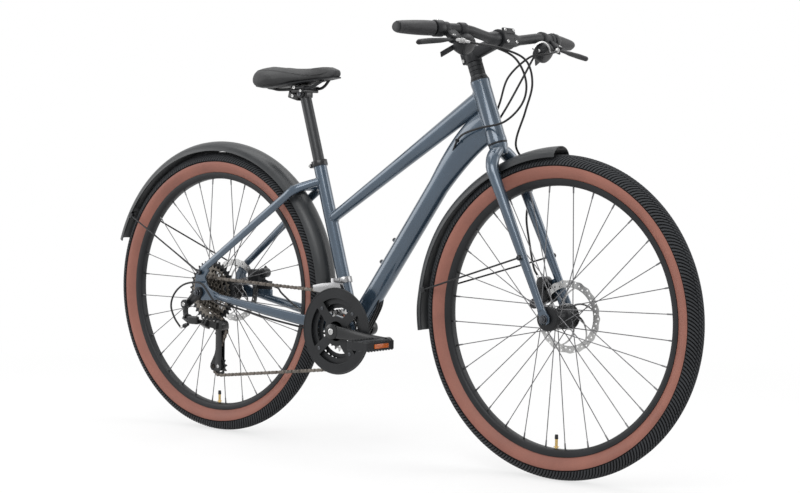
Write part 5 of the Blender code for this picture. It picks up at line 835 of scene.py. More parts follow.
def build_headset():
    for node, seat, out in (("headset_lower_cup", HEAD_LOW, -1), ("headset_upper_cup", HEAD_TOP, 1)):
        turn([(0.015, 0.0044), (0.02, 0.0044), (0.0212, 0.0034), (0.0214, 0.0018), (0.0216, 0.0003), (0.015, 0.0003)],
            seat, HEAD_AXIS * out, 64)
        finished(node, "black")
    base = HEAD_TOP + HEAD_AXIS * HEADSET_STACK
    for low, high, radius in ((0, 0.0092, 0.02), (0.0095, 0.0192, 0.0172), (0.0195, 0.0292, 0.0172),
            (0.0295, 0.0397, 0.0172)):
        top_radius = radius if radius < 0.019 else 0.0176
        turn([(0.0146, low), (radius - 0.0006, low), (radius, low + 0.0006), (top_radius, high - 0.0006),
            (top_radius - 0.0006, high), (0.0146, high)], base, HEAD_AXIS, 64)
    finished("headset_spacers", "black")


# Cockpit
def build_stem():
    half = STEM_CLAMP_HEIGHT / 2
    rod(STEM_MIDDLE - HEAD_AXIS * half, STEM_MIDDLE + HEAD_AXIS * half, 0.018, 64, edge=0.0018)
    path = [STEM_MIDDLE.lerp(BAR_CENTRE, k / 12) for k in range(12)]
    sizes = []
    for k in range(12):
        part = k / 11
        sizes.append((0.015 - 0.0022 * math.sin(part * math.pi) + 0.0006 * part, 0.0165 - 0.004 * part))
    sweep(path, sizes, 40, power=2.3)
    turn([(0.0163, -0.022), (0.0205, -0.022), (0.0215, -0.021), (0.0215, 0.021), (0.0205, 0.022), (0.0163, 0.022)],
        BAR_CENTRE, SIDE, 72)
    back = STEM_MIDDLE - HEAD_FORWARD * 0.02
    for side in (-1, 1):
        brick(back + SIDE * side * 0.0056, (0.012, 0.0085, 0.034), HEAD_FORWARD, SIDE, 0.002)
    cap = STEM_MIDDLE + HEAD_AXIS * (half - 0.0005)
    turn([(0.0001, 0), (0.0165, 0), (0.0165, 0.0026), (0.015, 0.004), (0.0062, 0.004), (0.0058, 0.0026),
        (0.0001, 0.0026)], cap, HEAD_AXIS, 48)
    finished("stem", "black", 40)
    turned_up = STEM_DIRECTION.cross(SIDE).normalized()
    for sign in (-1, 1):
        brick(BAR_CENTRE + STEM_DIRECTION * 0.0196 + turned_up * sign * 0.0125, (0.0048, 0.043, 0.013), STEM_DIRECTION,
            SIDE, 0.002, 3)
    for sign in (-1, 1):
        brick(BAR_CENTRE + STEM_DIRECTION * 0.0192 + SIDE * sign * 0.0172, (0.0044, 0.0088, 0.03), STEM_DIRECTION, SIDE,
            0.0018, 3)
    finished("stem_faceplate", "black")
    for u in (-0.016, 0.016):
        for v in (-0.0135, 0.0135):
            bolt(BAR_CENTRE + STEM_DIRECTION * 0.021 + SIDE * u + turned_up * v, STEM_DIRECTION, 0.0034, 0.003)
    for v in (-0.0095, 0.0095):
        bolt(back + HEAD_AXIS * v - SIDE * 0.01, -SIDE, 0.0038, 0.0034)
    bolt(cap + HEAD_AXIS * 0.002, HEAD_AXIS, 0.0048, 0.0026)
    piece("stem_bolts", "steel", "steering")


def bar_point(off, side):
    along = (off - BAR_SHOULDER.y) / BAR_DIRECTION.y
    return on_side(BAR_SHOULDER + BAR_DIRECTION * along, side)


def build_bar():
    inner = BAR_CENTRE + SIDE * 0.034
    rise = BAR_CENTRE + vec(0.0008, 0.056, 0.0012)
    points = [BAR_CENTRE, inner, rise, BAR_SHOULDER - vec(0.0008, 0.012, 0.0024), BAR_SHOULDER + BAR_DIRECTION * 0.012]
    left = smooth_path(points, 40)[1:] + [BAR_TIP - BAR_DIRECTION * 0.004]
    path = [on_side(p, -1) for p in reversed(left)] + [BAR_CENTRE.copy()] + left
    radii = []
    for point in path:
        part = min(max((abs(point.y) - 0.032) / 0.03, 0), 1)
        part = part * part * (3 - 2 * part)
        radii.append(BAR_CLAMP_RADIUS * (1 - part) + BAR_RADIUS * part)
    pipe(path, radii, 40)
    finished("handlebar", "black", 50)


LEVER_DROP = vec(0.024, 0, -0.022)
POD_DROP = vec(0.007, 0, -0.0315)
# Distance from the bar's end, shift to the rear, half depth and half height
GRIP_STATIONS = ((0.092, 0, 0.0158, 0.0158), (0.082, 0.001, 0.017, 0.016), (0.07, 0.002, 0.018, 0.016),
    (0.054, 0.004, 0.0204, 0.0156), (0.04, 0.005, 0.022, 0.015), (0.025, 0.0058, 0.0228, 0.0142),
    (0.014, 0.006, 0.0225, 0.0135), (0.006, 0.0054, 0.0202, 0.0126), (0.001, 0.0042, 0.0172, 0.0113),
    (0, 0.004, 0.016, 0.0104))


def build_grips():
    for side, tag in ((-1, "right"), (1, "left")):
        direction = on_side(BAR_DIRECTION, side)
        back = (vec(-1, 0, 0) + direction * direction.x).normalized()
        lift = back.cross(direction).normalized() * side
        tip = on_side(BAR_TIP, side)
        rings = [oval(tip - direction * inset + back * shift, back, lift, half_back, half_up, 48)
            for inset, shift, half_back, half_up in GRIP_STATIONS]
        skin(rings)
        finished("grip_" + tag, "grip", 60)
        rod(tip - direction * 0.1172, tip - direction * 0.096, 0.0178, 48, edge=0.0014)
        rod(tip - direction * 0.0012 + back * 0.002, tip + direction * 0.0022 + back * 0.002, 0.0118, 40, edge=0.0012)
        piece("grip_clamp_" + tag, "black", "steering")
        bolt(tip - direction * 0.1065 - lift * 0.017, -lift, 0.003, 0.0022)
        piece("grip_screw_" + tag, "steel", "steering")


def build_control(side, tag):
    direction = on_side(BAR_DIRECTION, side)
    clamp_at = bar_point(LEVER_OFFSET, side)
    pivot = clamp_at + LEVER_DROP
    axis = direction.cross(PULL).normalized()
    drop = (pivot - clamp_at).normalized()
    pod = bar_point(POD_OFFSET, side) + POD_DROP
    neck_top = bar_point(POD_OFFSET + 0.006, side)
    neck_axis = (pod - neck_top).normalized()
    barrel = (pivot - direction * 0.004, pivot - direction * 0.026 + POD_AXIS * 0.0085)
    brick(clamp_at.lerp(pivot, 0.54) - direction * 0.0085, (0.035, 0.028, 0.015), drop, direction, 0.005, 3)
    for sign in (-1, 1):
        rod(pivot + axis * sign * 0.0046, pivot + axis * sign * 0.0085, 0.0078, 28, edge=0.0008)
    rod(bar_point(LEVER_OFFSET - 0.0085, side), bar_point(LEVER_OFFSET + 0.0055, side), 0.015, 48, edge=0.002)
    rod(bar_point(POD_OFFSET - 0.006, side), bar_point(POD_OFFSET + 0.0115, side), 0.015, 48, edge=0.0018)
    rod(bar_point(POD_OFFSET + 0.011, side), bar_point(LEVER_OFFSET - 0.008, side), BAR_RADIUS + 0.0012, 40)
    stack(pod, POD_AXIS, ((-0.013, 0.0205), (-0.0122, 0.0232), (-0.01, 0.024), (0.002, 0.0236), (0.0085, 0.0222),
        (0.0116, 0.0205), (0.013, 0.017)), 48)
    brick(neck_top.lerp(pod, 0.5), (0.03, 0.023, 0.017), neck_axis, direction, 0.004, 3)
    stub = pod - direction * 0.02 + POD_UP * 0.002
    rod(stub, stub - direction * 0.0046, 0.0062, 24, 0.0052, edge=0.0008)
    finished("control_" + tag, "plastic", 42)
    run = (barrel[1] - barrel[0]).normalized()
    for k in range(6):
        at = barrel[1] - run * (0.003 + 0.0019 * k)
        rod(at, at + run * 0.0012, 0.0056, 20, edge=0.0003)
    rod(barrel[0], barrel[1], 0.004, 20, edge=0.0005)
    upper = axis * math.copysign(1, axis.z)
    bolt(pivot + upper * 0.0083, upper, 0.004, 0.0018)
    bolt(clamp_at + PULL * 0.015 - UP * 0.004, PULL, 0.0034, 0.003)
    piece("control_metal_" + tag, "steel", "steering")
    stack(pod + POD_AXIS * 0.0128, POD_AXIS, ((0, 0.0166), (0.0012, 0.016), (0.0018, 0.014), (0.0018, 0.006)), 40)
    piece("control_cap_" + tag, "gloss_black", "steering")
    build_brake_lever(tag, pivot, direction, axis)
    build_thumb_lever(tag, pod, direction)


def build_brake_lever(tag, pivot, direction, axis):
    points = [pivot + direction * 0.002, pivot + direction * 0.02 + PULL * 0.006,
        pivot + direction * 0.05 + PULL * 0.013, pivot + direction * 0.085 + PULL * 0.019,
        pivot + direction * 0.124 + PULL * 0.028]
    sizes = [(0.0034, 0.0045), (0.0036, 0.0046), (0.0055, 0.0036), (0.0062, 0.0036), (0.0058, 0.0042)]
    path, eased = smooth_sweep(points, sizes, 40)
    eased[-1] = tuple(part * 0.55 for part in eased[-1])
    eased[-2] = tuple(part * 0.85 for part in eased[-2])
    sweep(path, eased, 20, axis, 2.6)
    rod(pivot - axis * 0.004, pivot + axis * 0.004, 0.0062, 28, edge=0.0006)
    rod(pivot - axis * 0.0083, pivot + axis * 0.0083, 0.0025, 20)
    finished("brake_lever_" + tag, "black", 50)


def build_thumb_lever(tag, pod, direction):
    centre = pod - POD_AXIS * 0.0133 - POD_UP * 0.0092
    reach = (direction * 0.8 - POD_UP * 0.6).normalized()
    rod(centre - POD_AXIS * 0.0003, centre - POD_AXIS * 0.0043, 0.009, 32, edge=0.0008)
    brick(centre - POD_AXIS * 0.003 + reach * 0.025, (0.04, 0.015, 0.003), reach, POD_AXIS.cross(reach), 0.0013, 3)
    for k in range(5):
        brick(centre - POD_AXIS * 0.0044 + reach * (0.029 + 0.0028 * k), (0.001, 0.011, 0.0008), reach,
            POD_AXIS.cross(reach), 0.0003)
    finished("thumb_lever_" + tag, "plastic")


# Wheels
SPOKE_HOLE_RADIUS = 0.0225
SPOKES_PER_FLANGE = 16
FIRST_SPOKE = math.radians(5.2)
SPOKE_SWEEP = math.radians(67.5)
NUT_LENGTH = 0.011
FLANGES = {"front": (-0.033, 0.02), "rear": (-0.021, 0.033)}
VALVE_ANGLE = math.radians(270)
HUB_PROFILES = {"front": [(0.0056, -0.047), (0.0095, -0.047), (0.011, -0.0458), (0.0113, -0.0366), (0.0248, -0.0355),
    (0.0262, -0.0345), (0.0262, -0.0318), (0.0248, -0.0307), (0.018, -0.028), (0.015, -0.022), (0.0142, -0.008),
    (0.015, 0.01), (0.018, 0.015), (0.0248, 0.0177), (0.0262, 0.0186), (0.0262, 0.0214), (0.0248, 0.0223),
    (0.0216, 0.024), (0.0212, 0.037), (0.0172, 0.0373), (0.0172, 0.0405), (0.011, 0.0455), (0.0056, 0.047)],
    "rear": [(0.0056, -0.0235), (0.0248, -0.0235), (0.0262, -0.0226), (0.0262, -0.0196), (0.0248, -0.0186),
    (0.019, -0.016), (0.016, -0.01), (0.0154, 0.006), (0.016, 0.022), (0.019, 0.028), (0.0248, 0.0306),
    (0.0262, 0.0316), (0.0262, 0.0344), (0.0248, 0.0354), (0.0216, 0.0368), (0.0212, 0.0505), (0.0172, 0.0508),
    (0.0172, 0.054), (0.011, 0.0625), (0.0056, 0.0635)]}


TYRE_CROWN = [(0.3255, 0.0228), (0.3276, 0.0229), (0.331, 0.0222), (0.335, 0.0202), (0.3395, 0.0168), (0.3433, 0.0122),
    (0.3458, 0.0068), (0.3468, 0.0022), (0.347, 0)]
TREAD_RIBS = 262


def crown_point(share):
    """A point on the tread between its shoulder (0) and the middle (1): radius, offset and outward tilt."""
    lengths = [0, *accumulate(math.dist(a, b) for a, b in zip(TYRE_CROWN, TYRE_CROWN[1:]))]
    want = share * lengths[-1]
    for k in range(len(TYRE_CROWN) - 1):
        if want <= lengths[k + 1] or k == len(TYRE_CROWN) - 2:
            break
    part = (want - lengths[k]) / (lengths[k + 1] - lengths[k])
    (r0, y0), (r1, y1) = TYRE_CROWN[k], TYRE_CROWN[k + 1]
    return r0 + (r1 - r0) * part, y0 + (y1 - y0) * part, math.atan2(r1 - r0, y0 - y1)


def tread_block(points, faces, axle, side, start, stations, width, rise):
    """One rib of tread: stations give (share from shoulder to middle, sweep round the wheel)."""
    first = len(points)
    for share, sweep_by in stations:
        radius, offset, tilt = crown_point(share)
        for lift, edge in ((-0.0006, -0.5), (rise, -0.4), (rise, 0.4), (-0.0006, 0.5)):
            points.append(wheel_point(axle, radius + lift * math.cos(tilt), start + sweep_by + width * edge,
                side * (offset + lift * math.sin(tilt))))
    made = []
    for k in range(len(stations) - 1):
        low, high = first + 4 * k, first + 4 * k + 4
        made += [(low + n, low + n + 1, high + n + 1, high + n) for n in range(3)]
    last = first + 4 * (len(stations) - 1)
    made += [(first + 3, first + 2, first + 1, first), (last, last + 1, last + 2, last + 3)]
    faces.extend(made if side < 0 else [tuple(reversed(face)) for face in made])


def build_tyre(end):
    axle = AXLES[end]
    half = RIM_WIDTH / 2
    wall = [(0.2892, half - 0.004), (0.2975, half - 0.003), (0.3, half - 0.001), (0.305, 0.016), (0.311, 0.0205),
        (0.3175, 0.0229), (0.3225, 0.0233), (0.3262, 0.0224)]
    steps = 144
    for side in (-1, 1):
        turn([(r, y * side) for r, y in wall], axle, SIDE, steps, closed=False)
    piece(end + "_tyre_walls", "wall", end + "_wheel", (end + "_tyre",), 60)
    turn(TYRE_CROWN + [(r, -y) for r, y in reversed(TYRE_CROWN[:-1])], axle, SIDE, steps, closed=False)
    # The tread base under the ribs takes the darker groove rubber: painted shade between the ribs.
    piece(end + "_tread_base", "groove", end + "_wheel", angle=60)
    points, faces = [], []
    pitch = math.tau / TREAD_RIBS
    for k in range(TREAD_RIBS):
        for side in (-1, 1):
            start = pitch * (k + (0.5 if side > 0 else 0))
            tread_block(points, faces, axle, side, start, ((0.07, 0), (0.25, -0.01), (0.45, -0.026), (0.66, -0.05)),
                pitch * 0.68, 0.0026)
            tread_block(points, faces, axle, side, start - 0.004, ((0.7, -0.052), (0.82, -0.066)), pitch * 0.72, 0.0028)
            tread_block(points, faces, axle, side, start - 0.002, ((0.86, -0.07), (0.985, -0.084)), pitch * 0.74,
                0.0029)
    mesh = bpy.data.meshes.new(end + "_tread")
    mesh.from_pydata([tuple(point) for point in points], [], faces)
    dressed(end + "_tread", mesh, "tread", end + "_wheel", angle=30)


def build_rim(end):
    axle = AXLES[end]
    half = RIM_WIDTH / 2
    section = [(0.2985, half), (0.299, half - 0.001), (0.2985, half - 0.002), (0.2955, half - 0.0028),
        (0.2955, -half + 0.0028), (0.2985, -half + 0.002), (0.299, -half + 0.001), (0.2985, -half), (0.295, -half),
        (0.2905, -half + 0.0005), (0.287, -half + 0.0016), (0.2845, -half + 0.0034), (0.2832, -half + 0.006),
        (0.2828, 0), (0.2832, half - 0.006), (0.2845, half - 0.0034), (0.287, half - 0.0016), (0.2905, half - 0.0005),
        (0.295, half)]
    turn(section, axle, SIDE, 144)
    finished(end + "_rim", "black", 30)
    foot = wheel_point(axle, RIM_BED_RADIUS + 0.003, VALVE_ANGLE, 0)
    out = (foot - axle).normalized()
    rod(foot, foot - out * 0.025, 0.003, 24)
    for k in range(9):
        at = foot - out * (0.01 + 0.0016 * k)
        rod(at, at - out * 0.0009, 0.0033, 20, edge=0.0002)
    turn([(0.003, 0), (0.0056, 0), (0.006, 0.0006), (0.006, 0.0018), (0.003, 0.0018)], foot - out * 0.008, out, 24)
    piece(end + "_valve", "brass", end + "_wheel")
    rod(foot - out * 0.024, foot - out * 0.0338, 0.0041, 24, 0.0036, edge=0.001)
    piece(end + "_valve_cap", "plastic", end + "_wheel")


def spokes(end):
    """Each spoke's head, the start of its run, its end in the rim and which way it leans."""
    for flange, offset in enumerate(FLANGES[end]):
        for k in range(SPOKES_PER_FLANGE):
            lean = 1 if k % 2 == 0 else -1
            hole = math.tau * (k + 0.5 * flange) / SPOKES_PER_FLANGE + FIRST_SPOKE
            yield (wheel_point(AXLES[end], SPOKE_HOLE_RADIUS, hole, offset - lean * 0.0026),
                wheel_point(AXLES[end], SPOKE_HOLE_RADIUS, hole, offset + lean * 0.0026),
                wheel_point(AXLES[end], RIM_BED_RADIUS + 0.0005, hole + lean * SPOKE_SWEEP,
                    math.copysign(0.0025, offset) + lean * 0.0013), lean)


def build_hub(end):
    axle = AXLES[end]
    turn(HUB_PROFILES[end], axle, SIDE, 56)
    if end == "front":
        turn([(0.006, -0.047), (0.018, -0.047), (0.025, -0.0455), (0.0272, -0.0425), (0.0272, -0.0395),
            (0.006, -0.0395)], axle, SIDE, 56)
    finished(end + "_hub", "black", 40)
    for head, start, rim_end, lean in spokes(end):
        run = (rim_end - start).normalized()
        pipe([head, start - SIDE * lean * 0.0008, start + run * 0.0012, start + run * 0.004, rim_end - run * 0.01],
            0.0011, 8)
        rod(head, head - SIDE * lean * 0.0009, 0.0019, 12)
    piece(end + "_spokes", "spoke", end + "_wheel", angle=50)
    for _, start, rim_end, _ in spokes(end):
        run = (rim_end - start).normalized()
        rod(rim_end - run * 0.0145, rim_end + run * 0.001, 0.0017, 10, 0.002, edge=0.0003)
    piece(end + "_nipples", "spoke", end + "_wheel")


def build_rotor(end):
    axle = AXLES[end]
    origin = axle + SIDE * ROTOR_OFFSETS[end]
    holes = [ring_points(0.0195, 36)]
    reaches = [0.029 + 0.0345 * part / 7 for part in range(8)]
    for k in range(6):
        low, high = [[math.tau * (k + step) / 6 + 0.75 * (reach - 0.029) / 0.0345 - (step - 0.5) * 0.0052 / reach
            for reach in reaches] for step in (0, 1)]
        holes.append([(r * math.cos(a), r * math.sin(a)) for r, a in zip(reaches[1:-1], low[1:-1])]
            + arc_points(reaches[-1], low[-1], high[-1], 12)
            + [(r * math.cos(a), r * math.sin(a)) for r, a in zip(reaches[-2:0:-1], high[-2:0:-1])]
            + arc_points(reaches[0], high[0], low[0], 6))
    for k in range(42):
        angle = math.tau * k / 42
        radius = (0.0755, 0.0718, 0.0681)[k % 3]
        holes.append(ring_points(0.0021, 10, 0, (radius * math.cos(angle), radius * math.sin(angle))))
    outline = [((ROTOR_RADIUS - 0.0009 + 0.0009 * math.cos(21 * a)) * math.cos(a),
        (ROTOR_RADIUS - 0.0009 + 0.0009 * math.cos(21 * a)) * math.sin(a))
        for a in (math.tau * k / 252 for k in range(252))]
    add_mesh(sheet_metal(outline, holes, origin, SIDE, AHEAD, ROTOR_THICKNESS))
    finished(end + "_rotor", "rotor", 30)
    for k in range(6):
        angle = math.tau * k / 6 + 0.05
        bolt(wheel_point(origin, 0.0238, angle, 0.0008), SIDE, 0.0034, 0.0024)
    piece(end + "_rotor_bolts", "gloss_black", end + "_wheel")


def build_axle(end, inner, outer):
    """Axle with its cones and end nuts; inner and outer give the faces on the right and the left."""
    axle = AXLES[end]
    right_outer, left_outer = outer
    rod(axle + SIDE * (right_outer - NUT_LENGTH), axle + SIDE * (left_outer + NUT_LENGTH), 0.0048, 32, edge=0.0008)
    for side, inside, outside in ((-1, inner[0], right_outer), (1, inner[1], left_outer)):
        hex_nut(axle + SIDE * inside[0], axle + SIDE * inside[1], 0.0085)
        turn([(0.005, 0), (0.0093, 0), (0.0096, 0.0008), (0.0088, 0.0016), (0.005, 0.0016)],
            axle + SIDE * (outside + side * 0.0003), SIDE * side, 40)
        hex_nut(axle + SIDE * (outside + side * 0.0018), axle + SIDE * (outside + side * 0.0085), 0.0086)
    finished(end + "_axle", "gunmetal", 30)


def build_wheels():
    for end in ("front", "rear"):
        build_tyre(end)
        build_rim(end)
        build_hub(end)
        build_rotor(end)
    face = FRONT_OLD / 2 + FORK_TIP_THICKNESS
    build_axle("front", ((-0.0474, -0.0497), (0.0474, 0.0497)), (-face, face))
    face = REAR_OLD / 2 + DROPOUT_THICKNESS
    build_axle("rear", ((-0.0648, -0.0672), (0.0639, 0.0672)), (-face - 0.0053, face))


# Drivetrain
CAGE_PIVOT = REAR_AXLE + vec(0.072, 0, -0.078)
GUIDE_REACH = 0.0246
GUIDE_ANGLE = math.radians(197)
PULLEY_SPACING = 0.0955
TENSION_ANGLE = math.radians(265)


def pitch_radius(teeth):
    return CHAIN_PITCH / (2 * math.sin(math.pi / teeth))


def flat(point):
    return Vector((point.x, point.z))


def chain_circles(swing):
    guide = flat(CAGE_PIVOT) + Vector((math.cos(GUIDE_ANGLE + swing), math.sin(GUIDE_ANGLE + swing))) * GUIDE_REACH
    lower = guide + Vector((math.cos(TENSION_ANGLE + swing), math.sin(TENSION_ANGLE + swing))) * PULLEY_SPACING
    return [(flat(REAR_AXLE), pitch_radius(COG_TEETH[4]), -1, CHAIN_LINE),
        (flat(BB), pitch_radius(RING_TEETH[0]), -1, RING_OFFSETS[0]),
        (lower, pitch_radius(PULLEY_TEETH), -1, CHAIN_LINE), (guide, pitch_radius(PULLEY_TEETH), 1, CHAIN_LINE)]


def tangent(first, second):
    (c1, r1, s1, _), (c2, r2, s2, _) = first, second
    gap = c2 - c1
    heading = math.atan2(gap.y, gap.x) - math.asin((s2 * r2 - s1 * r1) / gap.length)
    right = Vector((math.sin(heading), -math.cos(heading)))
    return c1 + right * (s1 * r1), c2 + right * (s2 * r2)


def chain_pieces(swing):
    circles = chain_circles(swing)
    spans = [tangent(circles[k], circles[(k + 1) % 4]) for k in range(4)]
    pieces = []
    for k in range(4):
        leave, meet = spans[k]
        pieces.append(("line", leave, meet, circles[k][3], circles[(k + 1) % 4][3], (meet - leave).length))
        centre, radius, sense, offset = circles[(k + 1) % 4]
        away = spans[(k + 1) % 4][0]
        first = math.atan2(meet.y - centre.y, meet.x - centre.x)
        last = math.atan2(away.y - centre.y, away.x - centre.x)
        pieces.append(("arc", centre, radius, sense, first, offset, (last - first) * sense % math.tau * radius))
    return pieces


def taut_swing():
    low, high = math.radians(-40), math.radians(40)
    want = CHAIN_LINKS * CHAIN_PITCH
    rising = sum(p[-1] for p in chain_pieces(high)) > sum(p[-1] for p in chain_pieces(low))
    for _ in range(50):
        middle = (low + high) / 2
        if (sum(p[-1] for p in chain_pieces(middle)) > want) == rising:
            high = middle
        else:
            low = middle
    return (low + high) / 2


SWING = taut_swing()
CHAIN_LOOP = chain_pieces(SWING)
LOWER_CIRCLE, GUIDE_CIRCLE = chain_circles(SWING)[2:]
PULLEYS = {"guide_pulley": vec(GUIDE_CIRCLE[0].x, CHAIN_LINE, GUIDE_CIRCLE[0].y),
    "tension_pulley": vec(LOWER_CIRCLE[0].x, CHAIN_LINE, LOWER_CIRCLE[0].y)}


def chain_at(distance):
    rest = distance % sum(p[-1] for p in CHAIN_LOOP)
    for part in CHAIN_LOOP:
        if rest <= part[-1]:
            break
        rest -= part[-1]
    if part[0] == "line":
        _, start, end, y1, y2, length = part
        point = start.lerp(end, rest / length)
        return vec(point.x, y1 + (y2 - y1) * rest / length, point.y)
    _, centre, radius, sense, first, offset, _ = part
    angle = first + sense * rest / radius
    return vec(centre.x + radius * math.cos(angle), offset, centre.y + radius * math.sin(angle))


def roller_phase(index, centre):
    middle = sum(p[-1] for p in CHAIN_LOOP[:index]) + CHAIN_LOOP[index][-1] / 2
    point = chain_at(round(middle / CHAIN_PITCH) * CHAIN_PITCH)
    return math.atan2(point.z - centre.z, point.x - centre.x)


PLATE_END = 0.0042
PLATE_WAIST = 0.0026
PLATE_THICKNESS = 0.0009
CHAINRING_BOLT_CIRCLE = 0.0665


def link_plate(start, end, offset):
    """A figure-of-eight side plate between two pins."""
    forward = (end - start).normalized()
    upright = forward.cross(SIDE).normalized()
    across = upright.cross(forward).normalized()
    length = (end - start).length
    first = arc_points(PLATE_END, math.radians(70), math.radians(290), 9)
    last = arc_points(PLATE_END, math.radians(-110), math.radians(110), 9)
    outline = [*first, (length / 2, -PLATE_WAIST), *[(length + u, v) for u, v in last], (length / 2, PLATE_WAIST)]
    skin([[start + forward * (length / 2 + (u - length / 2) * shrink) + upright * v * shrink
        + across * (offset + shift * PLATE_THICKNESS) for u, v in outline]
        for shift, shrink in ((-0.5, 0.93), (-0.25, 1), (0.25, 1), (0.5, 0.93))])


def build_chain():
    """116 links: inner and outer pairs of plates in turn, rollers and pins."""
    pins = [chain_at(k * CHAIN_PITCH) for k in range(CHAIN_LINKS)]
    for k in range(CHAIN_LINKS):
        here, following = pins[k], pins[(k + 1) % CHAIN_LINKS]
        gap = 0.0017 if k % 2 == 0 else 0.0027
        for side in (-1, 1):
            link_plate(here, following, side * gap)
        rod(here - SIDE * 0.0033, here + SIDE * 0.0033, 0.0018, 12, edge=0.0003)
        rod(here - SIDE * 0.0012, here + SIDE * 0.0012, 0.0038, 16)
    finished("chain", "chain", 40)


def tooth_outline(teeth, phase):
    """Round seats for the rollers between rounded teeth."""
    pitch = pitch_radius(teeth)
    seat = 0.0041
    outline = []
    for k in range(teeth):
        gap = phase + math.tau * k / teeth
        for degrees in (-62, -38, -14, 14, 38, 62):
            angle = math.radians(degrees)
            radial = pitch - seat * math.cos(angle) + (0.0008 if abs(degrees) > 50 else 0)
            outline.append((radial * math.cos(gap) - seat * math.sin(angle) * math.sin(gap),
                radial * math.sin(gap) + seat * math.sin(angle) * math.cos(gap)))
        half = math.pi / teeth
        for part in (0.8, 1, 1.2):
            tip = pitch + (0.0026 if part == 1 else 0.0019)
            outline.append((tip * math.cos(gap + half * part), tip * math.sin(gap + half * part)))
    return outline


def sprocket(centre, offset, teeth, phase, holes=(), thickness=0.0018):
    add_mesh(sheet_metal(tooth_outline(teeth, phase), list(holes), vec(centre.x, offset, centre.z), -SIDE, AHEAD,
        thickness, 0.0002))


def slots(count, inner, outer, share, turn_by=0, points=6):
    """Windows between spider arms, as 2D outlines."""
    made = []
    for k in range(count):
        start = math.tau * k / count + turn_by
        half = math.pi / count * share
        made.append(arc_points(outer, start - half, start + half, points)
            + arc_points(inner, start + half * 0.86, start - half * 0.86, max(points // 2, 3)))
    return made


def build_cassette():
    for number, (offset, teeth) in enumerate(zip(COG_OFFSETS, COG_TEETH)):
        phase = roller_phase(7, REAR_AXLE) if number == 4 else 0.21 * number
        outer = pitch_radius(teeth) - 0.009
        holes = [ring_points(0.0168, 24)]
        if outer > 0.03:
            holes += slots(7 if number < 2 else 5, 0.0215, outer, 0.66, 0.3 * number)
        if number:
            sprocket(REAR_AXLE, offset, teeth, phase, holes)
    rod(REAR_AXLE - SIDE * 0.024, REAR_AXLE - SIDE * 0.063, 0.017, 40)
    finished("cassette", "cog", 30)
    sprocket(REAR_AXLE, COG_OFFSETS[0], COG_TEETH[0], 0, [ring_points(0.0168, 24)]
        + slots(7, 0.0215, 0.06, 0.66, 0.1, 8))
    turn([(0.006, -0.064), (0.0128, -0.064), (0.017, -0.0636), (0.0176, -0.0626), (0.0176, -0.0618), (0.006, -0.0618)],
        REAR_AXLE, SIDE, 40)
    for k in range(8):
        at = wheel_point(REAR_AXLE, 0.0148, math.tau * k / 8, -0.0637)
        rod(at, at - SIDE * 0.0006, 0.0017, 12)
    piece("cassette_black_parts", "black", "cassette", angle=30)


def crank_end(side):
    return BB + vec(math.cos(CRANK_ANGLE), 0, math.sin(CRANK_ANGLE)) * (CRANK_LENGTH * side * -1)


def build_chainset():
    for side in (-1, 1):
        turn([(0.01, 0.0343), (0.0185, 0.0343), (0.0203, 0.0343), (0.0203, 0.0358), (0.0194, 0.0365), (0.01, 0.0365)],
            BB, SIDE * side, 48)
        for k in range(16):
            angle = math.tau * k / 16
            brick(wheel_point(BB, 0.02, angle, side * 0.0351), (0.0014, 0.0012, 0.002),
                vec(math.cos(angle), 0, math.sin(angle)), SIDE, 0.0003)
    finished("bottom_bracket", "black")
    for number, inner in ((0, 0.064), (1, 0.054)):
        sprocket(BB, RING_OFFSETS[number], RING_TEETH[number], roller_phase(1, BB) if number == 0 else 0.1,
            [ring_points(inner, 60)], 0.002)
    piece("ring_teeth", "black", "crankset", ("chainrings",), 30)
    sprocket(BB, RING_OFFSETS[2], RING_TEETH[2], 0.2, [ring_points(0.04, 60)], 0.002)
    piece("small_ring", "steel", "crankset", angle=30)
    windows = []
    for k in range(4):
        start = CRANK_ANGLE + math.tau * k / 4
        windows.append(arc_points(0.0765, start + math.radians(-36), start + math.radians(36), 24)
            + arc_points(0.035, start + math.radians(26), start + math.radians(-26), 8))
    add_mesh(sheet_metal(ring_points(CHAINGUARD_RADIUS, 128), windows, BB + SIDE * CHAINGUARD_OFFSET, -SIDE, AHEAD,
        0.0024, 0.0007, 1))
    turn([(0.0975, -0.0012), (0.0985, -0.0019), (0.1003, -0.0019), (0.1013, -0.0008), (0.1013, 0.0012),
        (0.0975, 0.0012)], BB + SIDE * CHAINGUARD_OFFSET, SIDE, 128)
    rod(BB - SIDE * 0.0405, BB + SIDE * (CHAINGUARD_OFFSET - 0.0012), 0.023, 56)
    for k in range(4):
        start = CRANK_ANGLE + math.radians(45 + 90 * k)
        out = vec(math.cos(start), 0, math.sin(start))
        middle = BB + SIDE * (CHAINGUARD_OFFSET + 0.0046)
        sweep([middle + out * 0.02, middle + out * 0.042, middle + out * 0.064, middle + out * 0.072],
            [(0.0034, 0.012), (0.0034, 0.0085), (0.0034, 0.0075), (0.0034, 0.008)], 20, power=3)
        rod(BB + out * CHAINRING_BOLT_CIRCLE - SIDE * 0.044, BB + out * CHAINRING_BOLT_CIRCLE - SIDE * 0.064, 0.0062,
            24)
    piece("chainset_spider", "black", "crankset", angle=40)
    for k in range(4):
        start = CRANK_ANGLE + math.radians(45 + 90 * k)
        bolt(wheel_point(BB, CHAINRING_BOLT_CIRCLE, start, CHAINGUARD_OFFSET - 0.0012), -SIDE, 0.004, 0.0012)
    piece("chainring_bolts", "gunmetal", "crankset")


